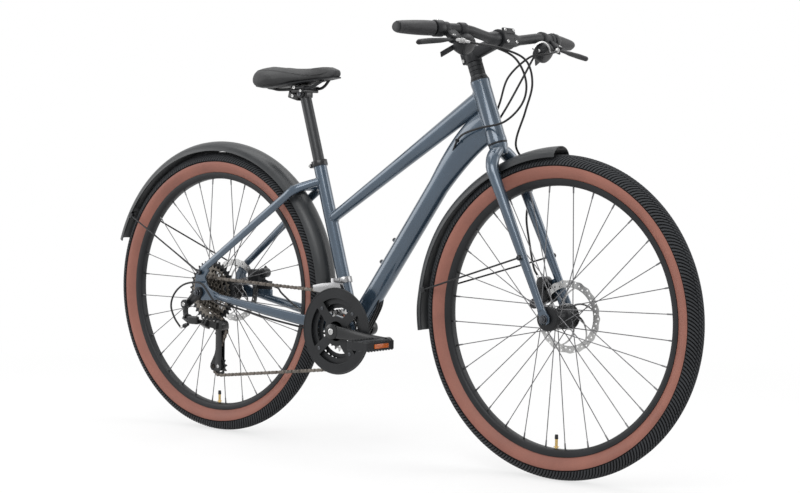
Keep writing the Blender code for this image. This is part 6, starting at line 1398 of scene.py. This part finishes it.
def build_crank(side, name, inner, outer, flare):
    tip = crank_end(side)
    along = (tip - BB).normalized()
    middle = (inner + outer) / 2
    points = [BB + SIDE * middle + along * 0.004, BB + SIDE * (middle + side * flare * 0.12) + along * 0.06,
        BB + SIDE * (middle + side * flare * 0.7) + along * 0.12, tip + SIDE * (middle + side * flare) - along * 0.004]
    path, sizes = smooth_sweep(points, [(0.0065, 0.015), (0.0062, 0.0128), (0.006, 0.0112), (0.006, 0.0118)], 32)
    sweep(path, sizes, 32, power=3)
    rod(BB + SIDE * inner, BB + SIDE * outer, 0.018, 56, edge=0.0018)
    eye = tip + SIDE * (middle + side * flare)
    turn([(0.0072, -0.007), (0.0126, -0.007), (0.0135, -0.006), (0.0135, 0.006), (0.0126, 0.007), (0.0072, 0.007)], eye,
        SIDE, 48)
    finished(name, "gloss_black", 40)
    face = BB + SIDE * outer
    turn([(0.0036, 0.0002), (0.0066, 0.0002), (0.0074, 0.001), (0.0074, 0.0018), (0.0066, 0.0024), (0.0042, 0.0024),
        (0.0036, 0.0016)], face, SIDE * side, 40)
    turn([(0.0001, 0), (0.0038, 0), (0.0038, 0.001), (0.0001, 0.001)], face, SIDE * side, 24)
    piece(name + "_bolt", "steel", "crankset")


def build_pedal(side, name, inner):
    tip = crank_end(side)
    centre = tip + SIDE * (side * 0.143)
    half_x, half_y = 0.031, 0.047
    outline = [(-half_x + 0.003, -half_y), (half_x - 0.003, -half_y), (half_x, -half_y + 0.003),
        (half_x, half_y - 0.003), (half_x - 0.003, half_y), (-half_x + 0.003, half_y), (-half_x, half_y - 0.003),
        (-half_x, -half_y + 0.003)]
    windows = [[(sign * u, v) for u, v in ((0.013, -0.04), (0.0262, -0.04), (0.0262, 0.04), (0.013, 0.04))]
        for sign in (-1, 1)]
    add_mesh(sheet_metal(outline, windows, centre, UP, AHEAD, 0.02, 0.0012))
    for sign in (-1, 1):
        for k in range(9):
            at = centre + vec(sign * (half_x - 0.0024), -0.04 + 0.01 * k, 0)
            brick(at, (0.0042, 0.003, 0.0232), edge=0.0008)
        for k in (-1, 1):
            brick(centre + vec(sign * 0.0196, k * 0.014, 0), (0.014, 0.004, 0.016), edge=0.001)
        for k in (-0.5, 0.5):
            brick(centre + vec(0, sign * (half_y - 0.002), 0) + AHEAD * k * 0.03, (0.003, 0.0042, 0.023), edge=0.0008)
    rod(centre - SIDE * side * (half_y - 0.001), centre + SIDE * side * (half_y - 0.001), 0.0115, 40)
    finished(name, "plastic", 38)
    start = tip + SIDE * inner
    rod(start, centre - SIDE * side * half_y, 0.0068, 28, edge=0.0005)
    brick(tip + SIDE * side * 0.0935, (0.013, 0.0045, 0.015), edge=0.0012)
    piece(name + "_axle", "steel", name)
    for sign in (-1, 1):
        brick(centre + vec(sign * (half_x + 0.0008), 0, 0), (0.0036, 0.048, 0.01), edge=0.001)
    piece(name + "_reflectors", "orange", name)


# Derailleurs and brakes
def at_front(x, y, z):
    return FRONT_AXLE + vec(x, y, z)


def at_rear(x, y, z):
    return REAR_AXLE + vec(x, y, z)


def at_post(x, y, z):
    return POST_TOP + vec(x, y, z)


def around(origin, *offsets):
    return [origin + Vector(offset) for offset in offsets]


CALIPER_REACH = 0.0704
HANGER_THICKNESS = 0.005
HANGER_FACE = -(REAR_OLD / 2 + DROPOUT_THICKNESS + 0.0003 + HANGER_THICKNESS)
# Inner plates' outline about the tension pulley
CAGE_OUTLINE = ((0.0062, 0.08), (0.0082, 0.048), (0.0098, 0.018), (0.0112, 0.004), (0.0106, -0.006), (0.006, -0.0108),
    (-0.002, -0.0122), (-0.014, -0.0126), (-0.0235, -0.0104), (-0.028, -0.004), (-0.0268, 0.005), (-0.02, 0.017),
    (-0.013, 0.03), (-0.0088, 0.046), (-0.0066, 0.08))
FORK_LEG_DIRECTION = fork_leg(1)[1]
FORK_LEG_BACK = FORK_LEG_DIRECTION.cross(SIDE).normalized()
CALIPER_FRONT = FRONT_AXLE + FORK_LEG_DIRECTION * CALIPER_REACH + FORK_LEG_BACK * 0.0459
CALIPER_REAR = at_rear(0.075, 0, 0.039)
BARREL_START = at_rear(-0.03, -0.083, -0.081)
BARREL_END = at_rear(-0.046, -0.083, -0.087)
BARREL_OUT = (BARREL_END - BARREL_START).normalized()
FD_HINGE = BB + vec(-0.034, -0.031, 0.062)
B_BOLT = at_rear(-0.0365, 0, -0.0305)


def build_pulleys():
    for (name, centre), index in zip(PULLEYS.items(), (5, 3)):
        hub = vec(centre.x, 0, centre.z)
        sprocket(hub, CHAIN_LINE, PULLEY_TEETH, roller_phase(index, centre),
            [ring_points(0.0055, 20)] + slots(5, 0.0085, 0.0145, 0.6), 0.0022)
        turn([(0.0031, -0.0046), (0.0062, -0.0046), (0.0066, -0.004), (0.0066, 0.004), (0.0062, 0.0046),
            (0.0031, 0.0046)], centre, SIDE, 32)
        finished(name, "plastic", 35)


def build_refined():
    """Plain solids whose shape is right, with their edges rounded."""
    for node, material, bevel in (("derailleur_hanger", "black", 0.0007), ("derailleur_body", "gloss_black", 0.0006),
            ("derailleur_outer_link", "gloss_black", 0.0005), ("derailleur_inner_link", "gloss_black", 0.0005),
            ("derailleur_knuckle", "gloss_black", 0.0007), ("derailleur_cage", "gloss_black", 0.0003),
            ("front_derailleur_body", "worn_steel", 0.0009), ("front_derailleur_cage", "worn_steel", 0.0005),
            ("front_brake_caliper", "black", 0.001), ("rear_brake_caliper", "black", 0.001),
            ("front_brake_arm", "black", 0.0007), ("rear_brake_arm", "black", 0.0007),
            ("seat_collar", "gloss_black", 0.0008)):
        refined(node, material, bevel)


def build_derailleur_trim():
    turn([(0.0001, 0), (0.0088, 0), (0.0092, 0.0006), (0.0088, 0.0016), (0.004, 0.0016), (0.0036, 0.0004),
        (0.0001, 0.0004)], B_BOLT + SIDE * (HANGER_FACE - 0.0122), -SIDE, 40)
    rod(BARREL_START + BARREL_OUT * 0.006, BARREL_END - BARREL_OUT * 0.0004, 0.005, 20, edge=0.0006)
    for k in range(4):
        at = BARREL_START + BARREL_OUT * (0.0072 + 0.0022 * k)
        rod(at, at + BARREL_OUT * 0.0013, 0.0054, 20, edge=0.0003)
    piece("derailleur_screws", "gloss_black", BODY_OF["derailleur_body"])
    for centre in PULLEYS.values():
        bolt(vec(centre.x, CHAIN_LINE - 0.0068, centre.z), -SIDE, 0.0042, 0.0016)
        bolt(vec(centre.x, CHAIN_LINE + 0.0068, centre.z), SIDE, 0.004, 0.001)
    piece("cage_bolts", "steel", BODY_OF["derailleur_cage"])
    for offset in (-0.006, 0.006):
        add_mesh(sheet_metal(CAGE_OUTLINE, [ring_points(0.0058, 28, 0, (-0.0165, -0.001)),
            ring_points(0.0032, 20, 0, (-0.009, 0.0185))], PULLEYS["tension_pulley"] + SIDE * offset, -SIDE, AHEAD,
            0.0012, 0.0002))
    piece("cage_plates", "gloss_black", BODY_OF["derailleur_cage"])
    brick(at_rear(0.004206, -0.0975, -0.0674), (0.033, 0.01, 0.02), edge=0.004, segments=5)
    piece("outer_link_cover", "gloss_black", BODY_OF["derailleur_outer_link"])
    bolt(B_BOLT + SIDE * (HANGER_FACE - 0.0125), -SIDE, 0.005, 0.0026)
    piece("derailleur_bolt", "steel", BODY_OF["derailleur_body"])


def build_brake_trim():
    pipe(smooth_path(around(HEAD_LOW, (0.037525, 0.0762, 0.209493), (0.037525, 0.0915, 0.221393),
        (0.037525, 0.1149, 0.227293), (0.037525, 0.135, 0.219693), (0.035525, 0.1474, 0.204793)), 28), 0.0023, 16)
    piece("bent_cable_tube", "steel", "steering")
    for end, centre, face in (("front", CALIPER_FRONT, 0.0555), ("rear", CALIPER_REAR, 0.066)):
        arm = end + "_brake_arm"
        bolt(centre + SIDE * (face + 0.0053), SIDE, 0.0052, 0.0022)
        piece(arm + "_bolt", "steel", BODY_OF[arm])
    for sign in (-1, 1):
        at = FRONT_AXLE + FORK_LEG_DIRECTION * (CALIPER_REACH + sign * 0.0185) + FORK_LEG_BACK * 0.0268 + SIDE * 0.0569
        bolt(at, SIDE, 0.0046, 0.003)
    piece("front_caliper_bolts", "steel", "steering")
    rod(at_front(-0.063494, 0.023, 0.0715), at_front(-0.063494, 0.052, 0.0715), 0.0125, 32, edge=0.002)
    rod(at_front(-0.082494, 0.0235, 0.024), at_front(-0.082494, 0.033, 0.024), 0.0115, 32, edge=0.003)
    piece("front_caliper_caps", "gloss_black", "steering")
    rod(at_rear(0.102506, 0.042, 0.049), at_rear(0.102506, 0.064, 0.049), 0.012, 32, edge=0.002)
    piece("rear_caliper_cap", "gloss_black", "frame")
    for x in (0.064, 0.105):
        bolt(at_rear(x, 0.0679, 0.0175), SIDE, 0.0046, 0.003)
    piece("rear_caliper_bolts", "steel", "frame")
    lug = SEAT_TOP - SEAT_AXIS * 0.0072 + vec(-0.023, 0, -0.006)
    bolt(lug - SIDE * 0.0082, -SIDE, 0.0036, 0.003)
    piece("collar_bolt", "steel", "frame")


# Mudguards
# Angle in degrees and the gap above the tyre
FRONT_GUARD_GAPS = ((90, 0.0182), (101, 0.0158), (113, 0.014), (123, 0.015), (133, 0.0169), (147, 0.0213),
    (161, 0.0244), (173, 0.026), (180, 0.0287), (188, 0.0283))


def guard_rings(axle, stations):
    """Channel sections with a small lip, one at each (angle, radius of the crown)."""
    rings = []
    for angle, crown in stations:
        ring = []
        for inset in (0, GUARD_WALL):
            row = []
            for phi in (math.radians(-90 + 180 * k / 24) for k in range(25)):
                drop = (GUARD_DEPTH - inset) * (1 - math.cos(phi)) + inset
                lip = 0.0006 if inset == 0 and abs(phi) > 1.4 else 0
                row.append(wheel_point(axle, crown - drop, angle,
                    (GUARD_HALF_WIDTH - inset) * math.sin(phi) + math.copysign(lip, phi)))
            ring += row if inset == 0 else list(reversed(row))
        rings.append(ring)
    return rings


def guard_piece(node, axle, stations):
    rings = guard_rings(axle, stations)
    made = [[work.verts.new(point) for point in ring] for ring in rings]
    count = len(rings[0])
    for low, high in zip(made, made[1:]):
        for k in range(count):
            work.faces.new((low[k], low[(k + 1) % count], high[(k + 1) % count], high[k]))
    half = count // 2
    for ring in (made[0], made[-1]):
        for k in range(half - 1):
            work.faces.new((ring[k], ring[k + 1], ring[count - 2 - k], ring[count - 1 - k]))
    bmesh.ops.recalc_face_normals(work, faces=work.faces)
    finished(node, "guard", 60)


def build_mudguards():
    start = math.radians(-2)
    guard_piece("rear_mudguard", REAR_AXLE, [(start + (REAR_GUARD_END - start) * k / 96, REAR_GUARD_RADIUS)
        for k in range(97)])
    knots = [vec(math.radians(degrees), TYRE_RADIUS + gap, 0) for degrees, gap in FRONT_GUARD_GAPS]
    guard_piece("front_mudguard", FRONT_AXLE, [(p.x, p.y) for p in smooth_path(knots, 72)])
    out = (BRIDGE - REAR_AXLE).normalized()
    rod(REAR_AXLE + out * (REAR_GUARD_RADIUS - 0.0006), BRIDGE - out * 0.0068, 0.005, 28, edge=0.0006)
    bolt(REAR_AXLE + out * (REAR_GUARD_RADIUS - GUARD_WALL), -out, 0.005, 0.0024)
    piece("rear_guard_pad", "plastic", "frame")
    wire_stay("rear", REAR_AXLE, at_rear(0.004, 0.0786, 0.05), math.radians(148.4), REAR_GUARD_RADIUS, "frame")
    wire_stay("front", FRONT_AXLE, at_front(-0.06, 0.0661, 0.1285), math.radians(173), TYRE_RADIUS + 0.026, "steering")


def wire_stay(end, axle, eye, meet_angle, crown, body):
    side_y = GUARD_HALF_WIDTH + 0.003
    half = [eye, wheel_point(axle, crown - GUARD_DEPTH - 0.005, meet_angle, side_y),
        wheel_point(axle, crown - GUARD_DEPTH - 0.004, meet_angle, side_y * 0.68),
        wheel_point(axle, crown - 0.013, meet_angle, side_y * 0.48)]
    path = half + [on_side(point, -1) for point in reversed(half)]
    dense = []
    for a, b in zip(path, path[1:]):
        dense += [a, a.lerp(b, 0.08), a.lerp(b, 0.92)]
    dense.append(path[-1])
    pipe(dense, 0.002, 16)
    for side in (-1, 1):
        turn([(0.0028, -0.0022), (0.0056, -0.0022), (0.006, -0.0016), (0.006, 0.0016), (0.0056, 0.0022),
            (0.0028, 0.0022)], on_side(eye, side), SIDE, 28)
    piece(end + "_stay_finished", "black", body, (end + "_mudguard_stay",), 50)
    for side in (-1, 1):
        bolt(on_side(eye, side) + SIDE * side * 0.002, SIDE * side, 0.0046, 0.0028)
    piece(end + "_stay_bolts", "gunmetal", body)
    for side in (-1, 1):
        at = on_side(half[1], side)
        brick(at - SIDE * side * 0.0006, (0.012, 0.006, 0.013), (on_side(half[0], side) - at), SIDE, 0.0016)
    piece(end + "_stay_clips", "plastic", body)


# Seat
RAIL_HALF_GAP = 0.022
RAIL_RADIUS = 0.0035
SADDLE_NOSE = 0.1077
SADDLE_LENGTH = 0.236
SADDLE_STATIONS = tuple((SADDLE_NOSE - SADDLE_LENGTH * part, top, low, half)
    for part, top, low, half in ((1, 0.0575, 0.04, 0.032), (0.982, 0.064, 0.03, 0.054), (0.924, 0.069, 0.0235, 0.073),
    (0.815, 0.069, 0.0215, 0.083), (0.67, 0.0655, 0.0245, 0.08), (0.525, 0.0625, 0.0305, 0.06),
    (0.38, 0.062, 0.0355, 0.039), (0.235, 0.065, 0.0385, 0.028), (0.109, 0.0675, 0.0405, 0.023),
    (0.036, 0.0665, 0.042, 0.019), (0, 0.0625, 0.047, 0.011)))
BASE_LOWS = (0.0341, 0.0271, 0.0236, 0.0262, 0.0318, 0.0371, 0.0411, 0.0441, 0.0461)
CUSHION_HALF = ((0, 0.1), (0.5, 0.05), (0.88, 0), (1, 0.24), (0.965, 0.55), (0.78, 0.84), (0.42, 0.98), (0, 0.95))
CUSHION_INSET = 0.0022
SADDLE_VOXEL = 0.0042
CLOTH_FRAMES = 20
CLOTH_CAP = 0.006


def rail_path(side):
    points = [(-0.0943, 0.03, 0.0219), (-0.0803, 0.0285, 0.0199), (-0.0603, RAIL_HALF_GAP, 0.0166),
        (0.0177, RAIL_HALF_GAP, 0.0186), (0.0427, 0.0185, 0.0241), (0.0657, 0.01, 0.0381)]
    return smooth_path([at_post(x, y * side, z) for x, y, z in points], 40)


def cushion_rings(inset):
    """Smoothed cross sections of the saddle, drawn in by an inset."""
    knots = [[vec(x, half * u, low + (top - low) * v) for u, v in CUSHION_HALF]
        for x, top, low, half in SADDLE_STATIONS]
    columns = [smooth_path([knot[k] for knot in knots], 34) for k in range(len(CUSHION_HALF))]
    rings = []
    for station in range(34):
        half = smooth_path([column[station] for column in columns], 17)
        centre = (half[0] + half[-1]) / 2
        drawn = []
        for point in half:
            away = point - centre
            away.x = 0
            length = max(away.length, 0.004)
            drawn.append(at_post(*(point - away * min(inset / length, 0.6))))
        rings.append(drawn + [on_side(p, -1) for p in reversed(drawn[1:-1])])
    return rings


def build_saddle():
    """Padded cover: a slightly small form, puffed by a short cloth simulation, then smoothed and sewn."""
    skin(cushion_rings(CUSHION_INSET))
    obj = bpy.data.objects.new("saddle_cushion", taken("saddle_cushion"))
    bpy.context.scene.collection.objects.link(obj)
    remesh = obj.modifiers.new("remesh", "REMESH")
    remesh.mode = "VOXEL"
    remesh.voxel_size = SADDLE_VOXEL
    baked(obj)
    puff(obj)
    ease = obj.modifiers.new("ease", "SMOOTH")
    ease.factor = 0.5
    ease.iterations = 5
    finer = obj.modifiers.new("finer", "SUBSURF")
    finer.levels = 1
    finer.render_levels = 1
    baked(obj)
    obj.data.materials.clear()
    obj.data.materials.append(MATERIALS["saddle"])
    obj.data.polygons.foreach_set("use_smooth", [True] * len(obj.data.polygons))
    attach(obj, "seat")
    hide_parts("saddle")
    sew(obj)


def puff(obj):
    """Blow the cover up a little, keeping each point within a short distance of where it was."""
    before = [v.co.copy() for v in obj.data.vertices]
    cloth = obj.modifiers.new("puff", "CLOTH")
    for name, value in (("quality", 4), ("mass", 0.25), ("tension_stiffness", 18), ("compression_stiffness", 18),
            ("bending_stiffness", 1.2), ("use_pressure", True), ("uniform_pressure_force", 4)):
        setattr(cloth.settings, name, value)
    cloth.settings.effector_weights.gravity = 0
    cloth.point_cache.frame_start = 1
    cloth.point_cache.frame_end = CLOTH_FRAMES
    for number in range(1, CLOTH_FRAMES + 1):
        bpy.context.scene.frame_set(number)
    baked(obj)
    for vertex, start in zip(obj.data.vertices, before):
        move = vertex.co - start
        if move.length > CLOTH_CAP:
            vertex.co = start + move * (CLOTH_CAP / move.length)
    bpy.context.scene.frame_set(1)


def sew(cushion):
    """Four seams along the top, two of them stitched, laid on the finished cover."""
    bpy.context.view_layer.update()
    tree = BVHTree.FromObject(cushion, bpy.context.evaluated_depsgraph_get())
    seams = []
    for side in (-1, 1):
        for share in (0.3, 0.72):
            seam = []
            for point in smooth_path([at_post(x, half * share * side, top)
                    for x, top, _, half in SADDLE_STATIONS[2:-2]], 70):
                hit = tree.ray_cast(point + UP * 0.03, -UP)[0]
                if hit is not None:
                    seam.append(hit - UP * 0.0002)
            pipe(smooth_path(seam, 90), 0.0007, 8)
            seams.append((side, share, seam))
    piece("saddle_seams", "saddle", "seat", angle=60)
    for side, share, seam in seams:
        if share > 0.5:
            fine = [point + SIDE * side * 0.0022 + UP * 0.0001 for point in smooth_path(seam, 150)]
            for k in range(4, 144, 3):
                pipe([fine[k], fine[k + 2]], 0.00035, 6)
    piece("saddle_stitches", "grip", "seat", angle=60)


def build_seat():
    rod(SEAT_TOP - SEAT_AXIS * 0.15, POST_TOP, SEATPOST_RADIUS, 56)
    finished("seatpost", "post", 45)
    head = at_post(-0.0023, 0, 0.0171)
    brick(head + UP * 0.004, (0.042, 0.058, 0.008), edge=0.003, segments=3)
    brick(head - UP * 0.004, (0.04, 0.056, 0.008), edge=0.003, segments=3)
    brick(head - vec(-0.001, 0, 0.0115), (0.03, 0.026, 0.018), edge=0.004, segments=3)
    rod(head - UP * 0.011 - SIDE * 0.018, head - UP * 0.011 + SIDE * 0.018, 0.01, 40, edge=0.001)
    brick(head + vec(-0.0265, 0, -0.015), (0.034, 0.027, 0.017), vec(1, 0, -0.28), edge=0.004, segments=4)
    piece("seatpost_head", "gloss_black", "seat", angle=45)
    for sign in (-1, 1):
        bolt(head + vec(-0.008, sign * 0.0288, 0.004), SIDE * sign, 0.0044, 0.003)
        bolt(head + vec(0.012, sign * 0.0278, -0.004), SIDE * sign, 0.0034, 0.0026)
    bolt(head + vec(-0.027, -0.0132, -0.015), -SIDE, 0.0042, 0.0028)
    piece("seat_clamp_nuts", "steel", "seat")
    bolt(head - UP * 0.011 - SIDE * 0.018, -SIDE, 0.005, 0.003)
    bolt(head - UP * 0.011 + SIDE * 0.018, SIDE, 0.005, 0.003)
    piece("seat_clamp_bolts", "gunmetal", "seat")
    for side in (-1, 1):
        pipe(rail_path(side), RAIL_RADIUS, 20)
    rings = []
    for (x, _, _, half), low in zip(SADDLE_STATIONS[1:-1], BASE_LOWS):
        wide = half * 0.8
        top = low - 0.0006
        rings.append([at_post(x, -wide, top), at_post(x, wide, top), at_post(x, wide * 0.97, top - 0.003),
            at_post(x, wide * 0.9, top - 0.0035), at_post(x, -wide * 0.9, top - 0.0035),
            at_post(x, -wide * 0.97, top - 0.003)])
    skin(rings)
    finished("saddle_rails", "black", 50)
    build_saddle()


# Cables
def control_stub(side):
    direction = on_side(BAR_DIRECTION, side)
    pivot = bar_point(LEVER_OFFSET, side) + LEVER_DROP
    start = pivot - direction * 0.004
    end = pivot - direction * 0.026 + POD_AXIS * 0.0085
    heading = (end - start).normalized()
    return end + heading * 0.0006, heading


def shift_stub(side):
    heading = -on_side(BAR_DIRECTION, side)
    start = bar_point(POD_OFFSET, side) + POD_DROP + heading * 0.0248 + POD_UP * 0.002
    return start, start + heading * 0.012


def caliper_stop(end):
    if end == "front":
        start = CALIPER_FRONT + FORK_LEG_DIRECTION * 0.016 + SIDE * 0.049
        return start, start + FORK_LEG_DIRECTION * 0.018
    return at_rear(0.092, 0.059, 0.03), at_rear(0.125, 0.059, 0.018)


def down_tube_point(part, side_shift, lift):
    return BB + DOWN_DIRECTION * (DOWN_REACH * part) + SIDE * side_shift + DOWN_NORMAL * lift


def inside_run(side_shift):
    return [down_tube_point(0.7082, side_shift, -0.002), down_tube_point(0.4829, side_shift, 0),
        down_tube_point(0.2897, side_shift, -0.004), down_tube_point(0.1899, side_shift, -0.017),
        down_tube_point(0.132, side_shift, -0.029)]


def at_head(x, y, z):
    return HEAD_LOW + vec(x, y, z)


RIGHT_PORT = at_head(-0.091, -0.027, 0.0047)
LEFT_PORT = at_head(-0.088, 0.027, 0.0065)
LOWER_LEFT_PORT = at_head(-0.108, 0.0275, -0.0215)


def front_brake_route():
    start, heading = control_stub(-1)
    stop_start, stop_end = caliper_stop("front")
    out = (stop_end - stop_start).normalized()
    return [start, start + heading * 0.012, start + heading * 0.026, *around(HEAD_LOW, (0.066, -0.084, 0.2005),
        (0.096, -0.036, 0.1775), (0.105, -0.022, 0.1275), (0.085, -0.018, 0.0675), (0.053, -0.006, -0.0025),
        (0.053, 0.038, -0.0475), (0.05, 0.0665, -0.0845)), *around(FRONT_AXLE, (-0.129, 0.0665, 0.246),
        (-0.13, 0.061, 0.206), (-0.117, 0.055, 0.156)), stop_end + out * 0.03 + vec(-0.003, 0.001, 0),
        stop_end + out * 0.01, stop_end + out * 0.0006]


def rear_shift_route():
    return [*shift_stub(-1), *around(HEAD_LOW, (0.043, -0.095, 0.2065), (0.083, -0.06, 0.1825), (0.094, -0.031, 0.1355),
        (0.086, -0.029, 0.0875), (0.043, -0.034, 0.0465), (-0.022, -0.037, 0.0325), (-0.067, -0.033, 0.0205)),
        RIGHT_PORT, at_head(-0.117, -0.014, -0.0295), *inside_run(-0.008),
        *around(BB, (0.021, -0.009, -0.027), (-0.008, -0.015, -0.03), (-0.06, -0.032, -0.013), (-0.12, -0.045, -0.002),
        (-0.22, -0.058, 0.014), (-0.33, -0.065, 0.034)), *around(REAR_AXLE, (0.09, -0.075, -0.028),
        (0.058, -0.0815, -0.016), (0.025, -0.087, 0.021), (-0.01, -0.086, 0.025), (-0.05, -0.085, 0.015),
        (-0.08, -0.084, -0.009), (-0.091, -0.0835, -0.039), (-0.078, -0.083, -0.069)), BARREL_END + BARREL_OUT * 0.011,
        BARREL_END + BARREL_OUT * 0.0003]


def rear_brake_route():
    start, heading = control_stub(1)
    stop_start, stop_end = caliper_stop("rear")
    out = (stop_end - stop_start).normalized()
    return [start, start + heading * 0.012, start + heading * 0.028, *around(HEAD_LOW, (0.045, 0.118, 0.1995),
        (0.018, 0.092, 0.1925), (-0.015, 0.058, 0.1475), (-0.024, 0.038, 0.0875), (-0.047, 0.036, 0.0375)), LEFT_PORT,
        down_tube_point(0.8128, 0.0135, 0.006), *inside_run(0.008), *around(BB, (0.021, 0.009, -0.027),
        (-0.008, 0.015, -0.03), (-0.06, 0.03, -0.012), (-0.108, 0.0325, -0.003), (-0.152, 0.0355, 0.015),
        (-0.208, 0.0405, 0.029)), at_rear(0.17, 0.047, -0.001), stop_end + out * 0.022, stop_end + out * 0.01,
        stop_end + out * 0.0006]


def front_shift_route():
    return [*shift_stub(1), *around(HEAD_LOW, (0.02, 0.1, 0.1875), (0.018, 0.07, 0.1495), (-0.006, 0.033, 0.0725),
        (-0.057, 0.0345, 0.0125)), LOWER_LEFT_PORT, down_tube_point(0.7806, 0.014, -0.007),
        down_tube_point(0.6921, 0.004, -0.012), *inside_run(0)[1:],
        *around(BB, (0.021, 0, -0.027), (-0.006, -0.002, -0.03), (-0.033, -0.006, -0.012), (-0.043, -0.01, 0.018),
        (-0.044, -0.026, 0.033)), *around(FD_HINGE, (0, -0.0075, -0.014), (0, -0.0075, -0.0024))]


def build_cables():
    for name, route, port in (("front_brake_cable", front_brake_route(), None),
            ("rear_brake_cable", rear_brake_route(), LEFT_PORT), ("rear_shift_cable", rear_shift_route(), RIGHT_PORT),
            ("front_shift_cable", front_shift_route(), LOWER_LEFT_PORT)):
        path = [route[0], *smooth_path(route[1:-1], 8 * len(route)), route[-1]]
        body = None if port else "steering"
        pipe(path, CABLE_RADIUS, 16)
        made = [piece(name + "_finished", "cable", body, (name,), 60)]
        for a, b in ((path[0], path[1]), (path[-1], path[-2])):
            run = (b - a).normalized()
            rod(a - run * 0.0002, a + run * 0.01, CABLE_RADIUS + 0.0009, 20, edge=0.0006)
        made.append(piece(name + "_ferrules", "steel", body))
        if port is None:
            continue
        for obj in made:
            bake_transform(obj)
        near = min(range(len(path)), key=lambda k: (path[k] - port).length)
        run = (path[near + 1] - path[near - 1]).normalized()
        turn([(CABLE_RADIUS + 0.0001, -0.002), (0.0044, -0.002), (0.0052, -0.0008), (0.0044, 0.0022),
            (CABLE_RADIUS + 0.0001, 0.0022)], path[near] - run * 0.001, run, 28)
        piece(name + "_grommet", "plastic", "frame")


# Floor, backdrop and lights
WHITE = (1, 1, 1, 1)


def mixed_with_white(tree, share, plain, output, white):
    """Feed an output from a plain shader and a white one, mixed by a share."""
    blend = add_node(tree, "MixShader")
    for source, socket in zip((share, plain, white), blend.inputs):
        tree.links.new(source, socket)
    tree.links.new(blend.outputs["Shader"], tree.nodes[output].inputs["Surface"])


def seen_directly(tree):
    """One for camera, mirror and see-through rays, else nothing."""
    rays = add_node(tree, "LightPath").outputs
    direct = arithmetic(tree, "MAXIMUM", rays["Is Camera Ray"], rays["Is Glossy Ray"])
    return arithmetic(tree, "MAXIMUM", direct, rays["Is Transmission Ray"])


def build_stage():
    """A pale floor that fades into a white room; lit surfaces see a dimmer room than the camera does."""
    mesh = bpy.data.meshes.new("floor")
    mesh.from_pydata([(-30, -30, 0), (30, -30, 0), (30, 30, 0), (-30, 30, 0)], [], [(0, 1, 2, 3)])
    floor = bpy.data.objects.new("floor", mesh)
    bpy.context.scene.collection.objects.link(floor)
    material, tree, shader = new_material("pale_floor", (0.86, 0.86, 0.86), 0, 0.62)
    round_fade = texture(tree, "TexGradient", (0.42, 0.42, 0.42))
    round_fade.gradient_type = "SPHERICAL"
    share = arithmetic(tree, "MULTIPLY", seen_directly(tree), remapped(tree, round_fade.outputs["Fac"], 0, 1, 1, 0.6))
    mixed_with_white(tree, share, shader.outputs["BSDF"], "Material Output",
        add_node(tree, "Emission", Color=WHITE).outputs["Emission"])
    mesh.materials.append(material)
    world = bpy.data.worlds.new("studio")
    bpy.context.scene.world = world
    world.use_nodes = True
    tree = world.node_tree
    plain = tree.nodes["Background"]
    plain.inputs["Color"].default_value = WHITE
    plain.inputs["Strength"].default_value = 0.55
    mixed_with_white(tree, seen_directly(tree), plain.outputs["Background"], "World Output",
        add_node(tree, "Background", Color=WHITE, Strength=1).outputs["Background"])


def area_light(name, at, aim, size, power):
    data = bpy.data.lights.new(name, "AREA")
    data.shape = "RECTANGLE"
    data.size, data.size_y = size
    data.energy = power
    light = bpy.data.objects.new(name, data)
    bpy.context.scene.collection.objects.link(light)
    at = Vector(at)
    light.matrix_world = Matrix.Translation(at) @ (at - Vector(aim)).to_track_quat("Z", "Y").to_matrix().to_4x4()


def build_lights():
    area_light("key", (1.2, -2.8, 2.6), (0, 0, 0.45), (2.6, 1.6), 58)
    area_light("overhead", (-0.3, 0.2, 3), (0, 0, 0.3), (3.2, 2.2), 52)
    area_light("fill", (-2.8, -1.6, 1.3), (0, 0, 0.5), (1.8, 1.8), 22)
    area_light("rim", (2.4, 2, 1.6), (0.2, 0, 0.6), (1.6, 1.6), 20)


build_frame()
build_fork()
build_headset()
build_stem()
build_bar()
build_grips()
build_control(-1, "right")
build_control(1, "left")
build_wheels()
build_chain()
build_cassette()
build_chainset()
build_crank(-1, "right_crank", -0.0685, -0.084, 0.008)
build_crank(1, "left_crank", 0.048, 0.066, 0.0265)
build_pedal(-1, "right_pedal", -0.079)
build_pedal(1, "left_pedal", 0.078)
build_pulleys()
build_refined()
build_derailleur_trim()
build_brake_trim()
build_mudguards()
build_seat()
build_cables()
build_stage()
build_lights()

bpy.context.scene.view_settings.view_transform = "Standard"
